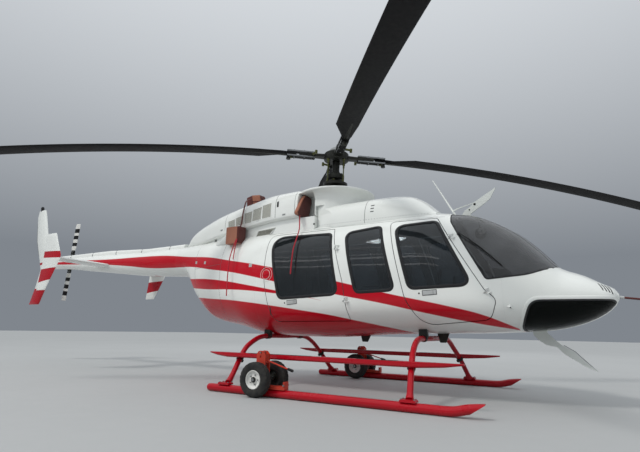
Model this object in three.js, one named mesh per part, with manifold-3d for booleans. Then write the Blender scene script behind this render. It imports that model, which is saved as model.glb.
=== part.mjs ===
// A light single-turbine helicopter parked on high skid gear, in millimetres.
// x runs forward, y to the left and z up from the ground. The tables and outlines below give x
// from the main rotor's mast, and the whole object is moved forward by MAST_X at the end.
import * as THREE from 'three';
import { mergeVertices } from 'three/addons/utils/BufferGeometryUtils.js';
import Module from 'manifold-3d';

const wasm = await Module();
wasm.setup();

// Driving dimensions
const MAST_X = 1600;
const FIT = 0.3;
const WALL = 40;
const DOOR_GAP = 8;
const DOOR_FLANGE = 12;
const DOOR_REBATE = 22;
const HULL_WALL = 25;
const GLASS_INSET = 4;
const GLASS_THICK = 6;
const ROUND_SIDES = 10;
const HUB_Z = 3020;
const MAST_TILT = 2 * Math.PI / 180;
const ROTOR_RADIUS = 5335;
const ROTOR_PARK = 37 * Math.PI / 180;
const BLADE_COUNT = 4;
const BLADE_DROOP = 470;
const TAIL_HUB = { x: -6610, y: 380, z: 2010 };
const TAIL_RADIUS = 825;
const SKID_Y = 1232;
const SKID_RADIUS = 40;
const WHEEL_X = -190;
const TYRE_RADIUS = 172;
const TYRE_WIDTH = 110;
// Each pair of handling wheels stands unevenly about its skid, measured from the skid's middle
const WHEEL_OFFSET = { outer: 112, inner: 205 };

// Colours
const WHITE = 0xe9ece6;
const RED = 0xb0121d;
const DARK = 0x17181a;
const TAN = 0x9a5a44;
const METAL = 0x8d9196;
const GLASS = 0x1c2326;
const ORANGE = 0xd8452a;
const CLOTH = 0x5b5d60;

// Fuselage stations, nose last.
// Columns: x, bottom z, top z, half width, z of the full width, upper power, lower power
const FUSELAGE = [
  [-2750, 1475, 1950, 250, 1715, 2.1, 2.1],
  [-2500, 1440, 1960, 295, 1690, 2.2, 2.0],
  [-2250, 1064, 1972, 360, 1600, 2.4, 2.0],
  [-1900, 809, 1985, 470, 1440, 2.6, 2.0],
  [-1400, 717, 1995, 600, 1270, 2.8, 2.1],
  [-800, 604, 2005, 700, 1120, 2.8, 2.3],
  [0, 594, 2012, 725, 1060, 2.8, 2.4],
  [800, 640, 2015, 725, 1050, 2.8, 2.4],
  [1390, 660, 2010, 700, 1050, 2.8, 2.4],
  [1600, 665, 1984, 680, 1045, 2.7, 2.4],
  [1800, 668, 1954, 650, 1040, 2.6, 2.4],
  [2000, 675, 1870, 610, 1035, 2.5, 2.4],
  [2210, 688, 1737, 560, 1030, 2.4, 2.4],
  [2350, 697, 1615, 520, 1025, 2.3, 2.3],
  [2490, 710, 1462, 475, 1020, 2.2, 2.2],
  [2620, 735, 1316, 425, 1015, 2.1, 2.2],
  [2800, 790, 1243, 340, 1010, 2.0, 2.1],
  [2950, 868, 1156, 245, 1015, 2.0, 2.0],
  [3040, 950, 1108, 130, 1025, 2.0, 2.0],
  [3070, 1005, 1060, 40, 1030, 2.0, 2.0],
];

// Forward transmission fairing on the roof, with the same columns
const FORWARD_FAIRING = [
  [-60, 1700, 2262, 500, 1920, 3.0, 2.0],
  [300, 1700, 2266, 480, 1920, 2.9, 2.0],
  [880, 1700, 2281, 450, 1925, 2.7, 2.0],
  [1110, 1700, 2260, 425, 1930, 2.6, 2.0],
  [1290, 1700, 2170, 395, 1935, 2.4, 2.0],
  [1400, 1700, 2070, 370, 1940, 2.2, 2.0],
  [1450, 1700, 2022, 350, 1945, 2.1, 2.0],
];

// Engine cowling behind the mast, with the same columns
const COWLING = [
  [-2620, 1900, 1985, 105, 1940, 2.2, 2.2],
  [-2560, 1900, 2090, 130, 1980, 2.4, 2.4],
  [-2460, 1905, 2165, 160, 2000, 2.6, 3.0],
  [-2190, 1920, 2262, 240, 2020, 2.8, 5.0],
  [-1740, 1965, 2356, 370, 2050, 3.2, 6.0],
  [-1140, 2015, 2442, 470, 2100, 3.6, 6.0],
  [-700, 2060, 2500, 505, 2140, 3.8, 6.0],
  [-60.3, 2085, 2510, 520, 2160, 3.8, 6.0],
];

// Engine deck that carries the cowling and stands inside its lower edge, with the same columns
const ENGINE_DECK = [
  [-2550, 1700, 1960, 90, 1800, 2.2, 2.0],
  [-2190, 1700, 2080, 190, 1850, 3.0, 2.0],
  [-1740, 1700, 2120, 315, 1900, 6.0, 2.0],
  [-1140, 1700, 2160, 410, 1900, 8.0, 2.0],
  [-700, 1700, 2200, 445, 1900, 8.0, 2.0],
  [-60.3, 1700, 2220, 460, 1900, 8.0, 2.0],
];

// Air scoop on each side of the deck, point first. Columns: x, middle z, half height, middle y, half width
const SCOOP = [
  [-1830, 1830, 6, 345, 6],
  [-1700, 1850, 45, 372, 62],
  [-1550, 1885, 80, 398, 100],
  [-1400, 1915, 100, 412, 128],
];

// Tail boom body. Columns: x, bottom z, top z, half width, z of the full width, upper power, lower power
const BOOM = [
  [-6700, 1795, 1985, 95, 1890, 2.0, 2.0],
  [-6300, 1785, 1990, 102, 1887, 2.0, 2.0],
  [-5050, 1670, 1975, 152, 1822, 2.0, 2.0],
  [-4220, 1585, 1955, 185, 1770, 2.0, 2.0],
  [-3620, 1525, 1945, 210, 1735, 2.0, 2.0],
  [-2750.3, 1477, 1948, 248, 1713, 2.1, 2.1],
];

// Outlines in the side view, as x, z and corner radius
const DOOR_OUTLINES = {
  crew: [
    [1492, 1872, 30], [1950, 1078, 50], [2052, 985, 80], [1985, 800, 120], [1330, 742, 200],
    [1188, 1000, 500], [982, 1872, 40],
  ],
  cabin: [[264, 1862, 30], [470, 1195, 900], [532, 780, 30], [-500, 768, 90], [-620, 1250, 900], [-660, 1862, 90]],
};
const WINDOW_OUTLINES = {
  crew: [[1055, 1808, 90], [1495, 1832, 80], [1840, 1130, 80], [1235, 1104, 80]],
  cabin: [[-598, 1826, 150], [248, 1798, 70], [408, 1068, 80], [-388, 1034, 90]],
  middle: [[455, 1785, 80], [872, 1830, 70], [1071, 1095, 60], [633, 1080, 70]],
};
const WINDSHIELD_OUTLINE = [
  [1590, 2040, 60], [1640, 1815, 110], [1975, 1180, 40], [2330, 1222, 600], [2615, 1320, 20], [2615, 2080, 20],
];
const CHIN_OUTLINE = [[2225, 690, 40], [2345, 975, 120], [3035, 990, 40], [3035, 880, 60], [2700, 690, 300]];

// Doors hang on two hinges each, on a straight line that stands off the skin. Columns: x, z
const HINGES = {
  crew: { upper: [1661, 1630], lower: [1981, 1065] },
  cabin: { upper: [372, 1600], lower: [520, 1000] },
};
const HINGE_STAND_OFF = 32;

const SMOOTH = { ring: 28, step: 400 };
const COARSE = { ring: 18, step: 800 };
const BOOM_DETAIL = { ring: 16, step: 2000 };

const pieces = [];

/** Adds one named piece to the object. */
function addPiece(name, solid, colour, metalness = 0.1, roughness = 0.5) {
  const geometry = solid.isBufferGeometry ? solid : toGeometry(solid);
  const material = new THREE.MeshStandardMaterial({ color: colour, metalness, roughness });
  const mesh = new THREE.Mesh(geometry, material);
  mesh.name = name;
  pieces.push(mesh);
  return mesh;
}

/** A position-only geometry with shared corners, as a solid that can be joined and cut. */
function toSolid(geometry) {
  const plain = geometry.index ? geometry.toNonIndexed() : geometry.clone();
  for (const name of Object.keys(plain.attributes)) {
    if (name !== 'position') plain.deleteAttribute(name);
  }
  const merged = mergeVertices(plain, 1e-3);
  return new wasm.Manifold(new wasm.Mesh({
    numProp: 3,
    vertProperties: new Float32Array(merged.attributes.position.array),
    triVerts: new Uint32Array(merged.index.array),
  }));
}

function toGeometry(solid) {
  const mesh = solid.getMesh();
  const geometry = new THREE.BufferGeometry();
  geometry.setAttribute('position', new THREE.BufferAttribute(new Float32Array(mesh.vertProperties), 3));
  geometry.setIndex(new THREE.BufferAttribute(new Uint32Array(mesh.triVerts), 1));
  return geometry;
}

function joinAll(solids) {
  return solids.reduce((whole, solid) => whole.add(solid));
}

/** The same solid on the other side of the middle plane. */
function mirrored(solid) {
  const geometry = toGeometry(solid);
  geometry.applyMatrix4(new THREE.Matrix4().makeScale(1, -1, 1));
  const index = geometry.index.array;
  for (let i = 0; i < index.length; i += 3) {
    [index[i + 1], index[i + 2]] = [index[i + 2], index[i + 1]];
  }
  return toSolid(geometry);
}

function placed(solid, matrix) {
  const geometry = toGeometry(solid);
  geometry.applyMatrix4(matrix);
  return toSolid(geometry);
}

/** A closed skin over rings with the same number of points, with flat ends. */
function skin(rings) {
  const positions = [];
  const count = rings[0].length;
  const ends = [rings[0], rings[rings.length - 1]].map((ring) => ring
    .reduce((sum, p) => sum.add(p), new THREE.Vector3()).multiplyScalar(1 / count));
  const face = (a, b, c) => positions.push(a.x, a.y, a.z, b.x, b.y, b.z, c.x, c.y, c.z);
  for (let i = 0; i < count; i += 1) {
    const j = (i + 1) % count;
    for (let k = 0; k + 1 < rings.length; k += 1) {
      face(rings[k][i], rings[k][j], rings[k + 1][j]);
      face(rings[k][i], rings[k + 1][j], rings[k + 1][i]);
    }
    face(ends[0], rings[0][j], rings[0][i]);
    face(ends[1], rings[rings.length - 1][i], rings[rings.length - 1][j]);
  }
  const geometry = new THREE.BufferGeometry();
  geometry.setAttribute('position', new THREE.Float32BufferAttribute(positions, 3));
  if (volumeOf(geometry) < 0) {
    for (let i = 0; i < positions.length; i += 9) {
      for (let k = 3; k < 6; k += 1) {
        [positions[i + k], positions[i + k + 3]] = [positions[i + k + 3], positions[i + k]];
      }
    }
    geometry.setAttribute('position', new THREE.Float32BufferAttribute(positions, 3));
  }
  return toSolid(geometry);
}

function volumeOf(geometry) {
  const at = geometry.attributes.position;
  const [a, b, c] = [new THREE.Vector3(), new THREE.Vector3(), new THREE.Vector3()];
  let sum = 0;
  for (let i = 0; i < at.count; i += 3) {
    a.fromBufferAttribute(at, i);
    b.fromBufferAttribute(at, i + 1);
    c.fromBufferAttribute(at, i + 2);
    sum += a.dot(b.cross(c)) / 6;
  }
  return sum;
}

/** Smooth values between a table's rows, which never swing past them. */
function valueAt(table, column, x) {
  const last = table.length - 1;
  let k = 0;
  while (k < last - 1 && x > table[k + 1][0]) k += 1;
  const slope = (i) => (table[i + 1][column] - table[i][column]) / (table[i + 1][0] - table[i][0]);
  const tangent = (i) => {
    if (i === 0) return slope(0);
    if (i === last) return slope(last - 1);
    const [before, after] = [slope(i - 1), slope(i)];
    return before * after <= 0 ? 0 : 2 * before * after / (before + after);
  };
  const width = table[k + 1][0] - table[k][0];
  const t = Math.min(1, Math.max(0, (x - table[k][0]) / width));
  const [t2, t3] = [t * t, t * t * t];
  return (2 * t3 - 3 * t2 + 1) * table[k][column] + (t3 - 2 * t2 + t) * width * tangent(k)
    + (3 * t2 - 2 * t3) * table[k + 1][column] + (t3 - t2) * width * tangent(k + 1);
}

/** One ring of a body, set in from its outer face. */
function ringAt(table, x, inset, count) {
  const [, bottom, top, halfWidth, wideZ, upper, lower] = table[0].map((_, column) => valueAt(table, column, x));
  const ring = [];
  for (let i = 0; i < count; i += 1) {
    const angle = 2 * Math.PI * i / count;
    const [c, s] = [Math.cos(angle), Math.sin(angle)];
    const power = s >= 0 ? upper : lower;
    const height = s >= 0 ? top - inset - wideZ : wideZ - bottom - inset;
    ring.push(new THREE.Vector3(
      x,
      Math.sign(c) * (halfWidth - inset) * Math.abs(c) ** (2 / power),
      wideZ + Math.sign(s) * height * Math.abs(s) ** (2 / power),
    ));
  }
  return ring;
}

/** Half the fuselage's width at a height. */
function skinY(x, z) {
  const [, bottom, top, halfWidth, wideZ, upper, lower] = FUSELAGE[0].map((_, column) => valueAt(FUSELAGE, column, x));
  const [height, power] = z >= wideZ ? [(z - wideZ) / (top - wideZ), upper] : [(wideZ - z) / (wideZ - bottom), lower];
  return height >= 1 ? 0 : halfWidth * (1 - height ** power) ** (1 / power);
}

/** The closed body of a table between two places along x. */
function body(table, from, to, inset = 0, detail = SMOOTH) {
  const places = [from, to];
  table.forEach(([x], i) => {
    places.push(x);
    const width = i > 0 ? x - table[i - 1][0] : 0;
    const parts = Math.max(1, Math.round(width / detail.step));
    for (let k = 1; k < parts; k += 1) places.push(x - width * k / parts);
  });
  const inside = places.filter((x) => x === from || x === to || (x > from + 8 && x < to - 8));
  const stations = [...new Set(inside)].sort((a, b) => a - b);
  return skin(stations.map((x) => ringAt(table, x, inset, detail.ring)));
}

/** Points of an outline with each corner rounded by its own radius. */
function rounded(corners, stepAngle = Math.PI / 5) {
  const points = [];
  corners.forEach(([x, z, radius], i) => {
    const at = new THREE.Vector2(x, z);
    const before = new THREE.Vector2(...corners.at(i - 1)).sub(at);
    const after = new THREE.Vector2(...corners[(i + 1) % corners.length]).sub(at);
    const half = Math.abs(Math.PI - before.angleTo(after)) / 2;
    const reach = Math.min(radius * Math.tan(half), before.length() * 0.48, after.length() * 0.48);
    const from = at.clone().add(before.setLength(reach));
    const to = at.clone().add(after.setLength(reach));
    const steps = Math.max(1, Math.round(2 * half / stepAngle));
    for (let k = 0; k <= steps; k += 1) {
      const t = k / steps;
      const [a, b, c] = [(1 - t) ** 2, 2 * t * (1 - t), t * t];
      points.push(new THREE.Vector2(
        a * from.x + b * at.x + c * to.x,
        a * from.y + b * at.y + c * to.y,
      ));
    }
  });
  return points;
}

/** The outline grown by a distance, or shrunk where it is negative. */
function grown(points, distance) {
  const turn = THREE.ShapeUtils.area(points) > 0 ? 1 : -1;
  return points.map((p, i) => {
    const before = p.clone().sub(points.at(i - 1)).normalize();
    const after = points[(i + 1) % points.length].clone().sub(p).normalize();
    const normal = new THREE.Vector2(before.y + after.y, -before.x - after.x).normalize().multiplyScalar(turn);
    const lean = Math.max(0.5, normal.x * before.y * turn - normal.y * before.x * turn);
    return p.clone().addScaledVector(normal, distance / lean);
  });
}

/** A solid with the outline in the side view, between two values of y. */
function sideways(points, low, high) {
  const geometry = new THREE.ExtrudeGeometry(new THREE.Shape(points), {
    depth: high - low, bevelEnabled: false, steps: 1,
  });
  geometry.rotateX(Math.PI / 2).translate(0, high, 0);
  return toSolid(geometry);
}

function box(x0, x1, y0, y1, z0, z1) {
  const geometry = new THREE.BoxGeometry(x1 - x0, y1 - y0, z1 - z0);
  geometry.translate((x0 + x1) / 2, (y0 + y1) / 2, (z0 + z1) / 2);
  return toSolid(geometry);
}

/** A round bar between two points. */
function bar(from, to, radius, endRadius = radius, sides = ROUND_SIDES) {
  const [a, b] = [new THREE.Vector3(...from), new THREE.Vector3(...to)];
  const geometry = new THREE.CylinderGeometry(endRadius, radius, a.distanceTo(b), sides);
  const turn = new THREE.Quaternion().setFromUnitVectors(
    new THREE.Vector3(0, 1, 0), b.clone().sub(a).normalize(),
  );
  geometry.applyQuaternion(turn).translate((a.x + b.x) / 2, (a.y + b.y) / 2, (a.z + b.z) / 2);
  return toSolid(geometry);
}

/** A round tube with filled ends along a smooth path. */
function tubeAlong(path, radius, steps, sides = 12) {
  const curve = new THREE.CatmullRomCurve3(path.map((p) => new THREE.Vector3(...p)), false, 'centripetal');
  const section = new THREE.Shape();
  section.absarc(0, 0, radius, 0, 2 * Math.PI, false);
  const points = section.getPoints(sides / 2).slice(0, -1);
  return toSolid(new THREE.ExtrudeGeometry(new THREE.Shape(points), { steps, extrudePath: curve, bevelEnabled: false }));
}

/** A turned solid about the y axis through a point. The profile gives radius and y. */
function turnedY(profile, x, z, sides) {
  const geometry = new THREE.LatheGeometry(profile.map((p) => new THREE.Vector2(...p)), sides);
  geometry.translate(x, 0, z);
  return outward(geometry);
}

/** A turned solid about the z axis through a point. The profile gives radius and z. */
function turnedZ(profile, x, y, sides) {
  const geometry = new THREE.LatheGeometry(profile.map((p) => new THREE.Vector2(...p)), sides);
  geometry.rotateX(Math.PI / 2).translate(x, y, 0);
  return outward(geometry);
}

/** A turned geometry as a solid whose faces point out, whichever way its profile runs. */
function outward(geometry) {
  const flat = geometry.toNonIndexed();
  if (volumeOf(flat) < 0) {
    const at = flat.attributes.position;
    for (let i = 0; i < at.count; i += 3) {
      const [b, c] = [1, 2].map((k) => new THREE.Vector3().fromBufferAttribute(at, i + k));
      at.setXYZ(i + 1, c.x, c.y, c.z);
      at.setXYZ(i + 2, b.x, b.y, b.z);
    }
  }
  return toSolid(flat);
}

// Cross tubes of the skid gear, from the middle to the runner. Columns of a path: x, y, z
const FORWARD_TUBE = [
  [1268, 0, 604], [1268, 420, 604], [1270, 560, 596], [1277, 690, 552], [1290, 800, 484], [1312, 912, 400],
  [1337, 1020, 300], [1359, 1113, 200], [1380, 1205, 96],
];
const AFT_TUBE = [
  [-765, 0, 590], [-765, 400, 590], [-763, 560, 572], [-760, 700, 520], [-757, 810, 460], [-745, 885, 398],
  [-721, 985, 300], [-700, 1078, 200], [-676, 1185, 96],
];
const TUBE_RADIUS = 29;
const TUBE_GROOVE = 6;
const TUBE_DETAIL = { steps: 20, sides: 10 };
const crossTube = (path, radius) => tubeAlong(
  [...path.slice(1).reverse().map(([x, y, z]) => [x, -y, z]), ...path], radius, TUBE_DETAIL.steps, TUBE_DETAIL.sides,
);

// Cabin. The walls are one skin WALL thick, cut where the real panels meet.
const FIREWALL_X = -800;
const ROOF_SEAM_Z = 1895;
const BELLY_SEAM_Z = 715;
const NOSE_SEAM_X = 2110;
const FLOOR_Z = 800;
const FAR = 9000;

const outer = body(FUSELAGE, FIREWALL_X, 3070);
const inner = body(FUSELAGE, FIREWALL_X + WALL, 2985, WALL, COARSE);
const wall = outer.subtract(inner);

const rightOf = (outline) => sideways(outline, -FAR, -100);
const leftOf = (outline) => sideways(outline, 100, FAR);
const outlines = {};
for (const [name, corners] of Object.entries(DOOR_OUTLINES)) outlines[`${name}_door`] = rounded(corners);
for (const [name, corners] of Object.entries(WINDOW_OUTLINES)) outlines[`${name}_window`] = rounded(corners);
outlines.windshield = rounded(WINDSHIELD_OUTLINE);
outlines.chin = rounded(CHIN_OUTLINE);

const doorHoles = ['crew', 'cabin'].map((name) => grown(outlines[`${name}_door`], DOOR_GAP));
const POST_HALF = 22;
const windshieldHoles = [
  sideways(outlines.windshield, -FAR, -POST_HALF),
  sideways(outlines.windshield, POST_HALF, FAR),
];
const chinHoles = [sideways(outlines.chin, -FAR, -70), sideways(outlines.chin, 70, FAR)];

let cabin = wall;
for (const hole of doorHoles) cabin = cabin.subtract(rightOf(hole)).subtract(leftOf(hole));
cabin = cabin.subtract(rightOf(outlines.middle_window)).subtract(leftOf(outlines.middle_window));
for (const hole of [...windshieldHoles, ...chinHoles]) cabin = cabin.subtract(hole);

const above = box(-FAR, FAR, -FAR, FAR, ROOF_SEAM_Z, FAR);
const below = box(-FAR, NOSE_SEAM_X - FIT, -FAR, FAR, -FAR, BELLY_SEAM_Z - FIT);
const postZone = box(1700, FAR, -80, 80, 1300, ROOF_SEAM_Z - FIT);
const ahead = box(NOSE_SEAM_X, FAR, -FAR, FAR, -FAR, ROOF_SEAM_Z - FIT).add(postZone);
const bulkheadZone = box(-FAR, FIREWALL_X + WALL - FIT, -FAR, FAR, BELLY_SEAM_Z - 5, ROOF_SEAM_Z - FIT);
const FRAME_START_X = FIREWALL_X + WALL + FIT;
const middleZone = box(FRAME_START_X, NOSE_SEAM_X - FIT, -FAR, FAR, BELLY_SEAM_Z, ROOF_SEAM_Z - FIT)
  .subtract(postZone);

/** Floor on two keel beams, joined to the belly skin. */
function bellyWithFloor() {
  const room = body(FUSELAGE, FIREWALL_X + WALL + 5, 2050, WALL + 9, COARSE);
  const floor = room.intersect(box(-FAR, FAR, -FAR, FAR, FLOOR_Z - 20, FLOOR_Z));
  const beams = [-1, 1].map((side) => outer.intersect(
    box(FIREWALL_X + 60, 1000, side * 280 - 15, side * 280 + 15, -FAR, FLOOR_Z - 10),
  ));
  return joinAll([cabin.intersect(below), cabin.intersect(bulkheadZone), floor, ...beams])
    .subtract(crossTube(AFT_TUBE, TUBE_RADIUS + TUBE_GROOVE));
}

// The gearbox stands on the roof, under the mast
const rotorTurn = new THREE.Matrix4().makeTranslation(0, 0, HUB_Z)
  .multiply(new THREE.Matrix4().makeRotationY(MAST_TILT));
const GEAR_TOP = -700;
const gearCase = placed(bar([0, 0, -1040], [0, 0, GEAR_TOP - FIT], 150, 120, 16), rotorTurn);
const WHIP = { foot: [1600, 60, 1974], tip: [1316, 60, 2495], radius: 18, tipRadius: 8 };
const whip = bar(WHIP.foot, WHIP.tip, WHIP.radius, WHIP.tipRadius, 8);
const PROBE = { foot: [3050, 0, 1030], tip: [3240, 0, 1006], radius: 14, tipRadius: 8 };
const probe = bar(PROBE.foot, PROBE.tip, PROBE.radius, PROBE.tipRadius, 8);
addPiece('cabin_roof', joinAll([cabin.intersect(above), whip, gearCase]), WHITE);
addPiece('cabin_belly', bellyWithFloor(), RED);
addPiece('nose_shell', cabin.intersect(ahead).add(probe), WHITE);

/** The two cheeks and the two arms of a hinge line, for the side frame and for the door. */
function hingeLine({ upper, lower }, role) {
  const [top, bottom] = [upper, lower].map(([x, z]) => (
    new THREE.Vector3(x, -skinY(x, z) - HINGE_STAND_OFF, z)
  ));
  const along = top.clone().sub(bottom).normalize();
  // The point in the middle of the wall that lies square to the hinge line
  const inWall = (at, reach) => {
    const arm = new THREE.Vector3(reach, WALL / 2 - skinY(at.x + reach, at.z) - at.y, 0);
    return at.clone().add(arm.addScaledVector(along, -arm.dot(along))).toArray();
  };
  const knuckle = { half: 16, radius: 9, cheek: 14, doorReach: 60, frameReach: 45 };
  const parts = [];
  for (const at of [top, bottom]) {
    const point = (s) => at.clone().addScaledVector(along, s).toArray();
    if (role === 'door') {
      parts.push(bar(point(-knuckle.half), point(knuckle.half), knuckle.radius));
      parts.push(bar(point(0), inWall(at, -knuckle.doorReach), 7, 7, 6));
    } else {
      for (const side of [-1, 1]) {
        const near = side * (knuckle.half + FIT);
        const far = side * (knuckle.half + knuckle.cheek);
        parts.push(bar(point(Math.min(near, far)), point(Math.max(near, far)), knuckle.radius));
        const middle = at.clone().addScaledVector(along, (near + far) / 2);
        parts.push(bar(middle.toArray(), inWall(middle, knuckle.frameReach), 6, 6, 6));
      }
    }
  }
  return joinAll(parts);
}

const rightHalf = box(-FAR, FAR, -FAR, -FIT, -FAR, FAR);
const rightFrame = cabin.intersect(middleZone).intersect(rightHalf);
const paneSkin = body(FUSELAGE, FIREWALL_X + 50, 3030, GLASS_INSET)
  .subtract(body(FUSELAGE, FIREWALL_X + 40, 3040, GLASS_INSET + GLASS_THICK));
const pane = (outline, side) => paneSkin.intersect(sideways(grown(outline, -FIT), ...side));
const RIGHT = [-FAR, -POST_HALF - FIT];

const frameWithHinges = joinAll([
  rightFrame, hingeLine(HINGES.crew, 'frame'), hingeLine(HINGES.cabin, 'frame'),
]);
addPiece('side_frame_right', frameWithHinges, WHITE);
addPiece('side_frame_left', mirrored(frameWithHinges), WHITE);

// Inside its outer flange a door is set back all round, so that it swings clear of its frame
const flangeRoom = body(FUSELAGE, FIREWALL_X + DOOR_FLANGE, 3060, DOOR_FLANGE, COARSE);
for (const name of ['crew', 'cabin']) {
  const outline = outlines[`${name}_door`];
  const rebate = flangeRoom.subtract(rightOf(grown(outline, -DOOR_REBATE)));
  const panel = wall.intersect(rightOf(outline)).subtract(rebate).subtract(rightOf(outlines[`${name}_window`]));
  const door = panel.add(hingeLine(HINGES[name], 'door'));
  const glass = pane(outlines[`${name}_window`], RIGHT);
  addPiece(`${name}_door_right`, door, WHITE);
  addPiece(`${name}_door_left`, mirrored(door), WHITE);
  addPiece(`${name}_pane_right`, glass, GLASS);
  addPiece(`${name}_pane_left`, mirrored(glass), GLASS);
}
for (const [name, outline] of [['middle_pane', outlines.middle_window], ['windshield', outlines.windshield]]) {
  const glass = pane(outline, RIGHT);
  addPiece(`${name}_right`, glass, GLASS);
  addPiece(`${name}_left`, mirrored(glass), GLASS);
}
const chinGlass = pane(outlines.chin, [-FAR, -70 - FIT]);
addPiece('chin_window_right', chinGlass, GLASS);
addPiece('chin_window_left', mirrored(chinGlass), GLASS);

// Aft body, boom and tail
const AFT_END_X = -2750;
const BOOM_END_X = -6700;
const baggageRoom = body(FUSELAGE, AFT_END_X + HULL_WALL, FIREWALL_X + WALL, HULL_WALL, COARSE);
addPiece('aft_fuselage', body(FUSELAGE, AFT_END_X, FIREWALL_X - FIT).subtract(baggageRoom), WHITE);

const boomBody = body(BOOM, BOOM_END_X, AFT_END_X - FIT, 0, BOOM_DETAIL);
const boomCut = body(BOOM, BOOM_END_X - FIT, -6000, -FIT, BOOM_DETAIL);
const boomRoom = body(BOOM, BOOM_END_X + HULL_WALL, AFT_END_X, HULL_WALL, BOOM_DETAIL);
const shaftCover = skin([[-6500, 2040], [-4700, 2042], [-3660, 2000], [-2760, 2010]].map(([x, top]) => [
  [60, top - 150], [60, top - 30], [35, top - 6], [-35, top - 6], [-60, top - 30], [-60, top - 150],
].map(([y, z]) => new THREE.Vector3(x, y, z))));

/** A flat lifting surface: the outline as root-to-tip sections with front, back and place. */
function surface(sections, thickness, toPoint) {
  return skin(sections.map(([place, front, back]) => {
    const chord = front - back;
    const shape = [[1, 0], [0.88, 0.42], [0.65, 0.5], [0.3, 0.34], [0, 0.04]];
    const upper = shape.map(([t, h]) => [back + chord * t, h * thickness]);
    const lowerSide = shape.slice(1).reverse().map(([t, h]) => [back + chord * t, -h * thickness]);
    return [...upper, ...lowerSide].map(([x, off]) => toPoint(x, off, place));
  }));
}

// Fin sections from its foot to its top. Columns: z, leading x, trailing x
const FIN = [
  [1090, -6890, -7250], [1430, -6720, -7120], [1800, -6560, -7020], [2020, -6640, -7120],
  [2450, -6900, -7330], [2980, -7110, -7460], [3130, -7180, -7440],
];
const upright = (y) => (x, off, z) => new THREE.Vector3(x, y + off, z);
addPiece('vertical_fin', joinAll([
  surface(FIN, 62, upright(0)),
  bar([-7340, 0, 3100], [-7340, 0, 3160], 30, 24),
  bar([-7340, 0, 3158], [-7340, 0, 3225], 34, 22),
]).subtract(boomCut), WHITE);

// Finlet sections. Columns: z, leading x, trailing x
const FINLET = [
  [1230, -4740, -4985], [1290, -4705, -4980], [1720, -4445, -4930], [1790, -4440, -4925], [2165, -4650, -4940],
];
const FINLET_Y = 1085;
const STABILISER_Z = 1748;
// Stabiliser sections. Columns: y, leading x, trailing x
const STABILISER = [[-FINLET_Y, -4510, -4905], [0, -4510, -4905], [FINLET_Y, -4510, -4905]];
const stabiliser = surface(STABILISER, 64, (x, off, y) => new THREE.Vector3(x, y, STABILISER_Z + off));
const finlet = surface(FINLET, 30, upright(-FINLET_Y));
const stabiliserSlot = surface(
  [[-400, -4510 + FIT, -4905 - FIT], [400, -4510 + FIT, -4905 - FIT]], 66,
  (x, off, y) => new THREE.Vector3(x, y, STABILISER_Z + off),
);
addPiece('tail_boom', boomBody.add(shaftCover).subtract(boomRoom).subtract(stabiliserSlot), WHITE);
addPiece('stabiliser', joinAll([stabiliser, finlet, mirrored(finlet)]), WHITE);

// Tail rotor on its gearbox, on the left of the boom's end
const gearbox = joinAll([
  turnedY([[0, 0], [70, 0], [85, 40], [80, 120], [45, 160], [0, 160]], TAIL_HUB.x, TAIL_HUB.z, 20),
  bar([TAIL_HUB.x, 150, TAIL_HUB.z], [TAIL_HUB.x, TAIL_HUB.y - 45 - FIT, TAIL_HUB.z], 28),
  bar([TAIL_HUB.x, 40, TAIL_HUB.z - 20], [TAIL_HUB.x, 40, TAIL_HUB.z + 90], 60, 40),
]);
addPiece('tail_gearbox', gearbox.intersect(box(-FAR, FAR, 31.6, FAR, -FAR, FAR)).subtract(boomCut)
  .subtract(placed(shaftCover, new THREE.Matrix4().makeScale(1, 1.01, 1))), METAL, 0.8, 0.4);

const TAIL_TILT = 5 * Math.PI / 180;
const tailTurn = new THREE.Matrix4().makeTranslation(TAIL_HUB.x, TAIL_HUB.y, TAIL_HUB.z)
  .multiply(new THREE.Matrix4().makeRotationY(TAIL_TILT));
const tailHub = joinAll([
  turnedY([[0, -45], [42, -45], [46, 30], [30, 60], [0, 60]], 0, 0, 20),
  box(-48, 48, -16, 16, -230, 230),
]);
const tailBlades = [1, -1].map((side) => {
  const sections = [[200, 50], [290, 80], [TAIL_RADIUS - 30, 80], [TAIL_RADIUS, 66]];
  return surface(
    sections.map(([r, half]) => [side * r, side * half, -side * half]),
    22, (x, off, z) => new THREE.Vector3(x, off, z),
  );
});
addPiece('tail_rotor', placed(joinAll([tailHub, ...tailBlades]), tailTurn), WHITE);

// Fairings on the roof. Each is cut by the skin below it.
const roofCut = body(FUSELAGE, -2760, 3070, -FIT);
const FAIRING_RADIUS = 520;
const RIM_Z = 2440;
const MAST_HOLE = 190;
const DRUM_FOOT_Z = 2100;
const drumProfile = [
  [MAST_HOLE, DRUM_FOOT_Z], [430, DRUM_FOOT_Z], [430, 2300], [455, 2370], [FAIRING_RADIUS, RIM_Z - 28],
  [FAIRING_RADIUS + 8, RIM_Z - 12], [FAIRING_RADIUS, RIM_Z], [330, 2492], [MAST_HOLE, 2520],
  [MAST_HOLE, DRUM_FOOT_Z],
];
const drum = turnedZ(drumProfile, 0, 0, 32);
const drumRoom = turnedZ(
  [[0, 1800], [MAST_HOLE, 1800], [MAST_HOLE, DRUM_FOOT_Z - FIT], [430 + FIT, DRUM_FOOT_Z - FIT], [430 + FIT, 2300],
    [455 + FIT, 2370], [FAIRING_RADIUS + 9, RIM_Z - 28], [FAIRING_RADIUS + 9, 2700], [0, 2700]], 0, 0, 32,
);
// Intake mouth on each side behind the mast, open forward, that a cover plugs
const INTAKE = { back: -290, front: -80, bottom: 2080, top: 2405, inner: 215, outer: 700 };
const mouth = (side, from, to) => box(
  from, to, Math.min(side * INTAKE.inner, side * INTAKE.outer),
  Math.max(side * INTAKE.inner, side * INTAKE.outer), INTAKE.bottom, INTAKE.top,
);
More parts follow.
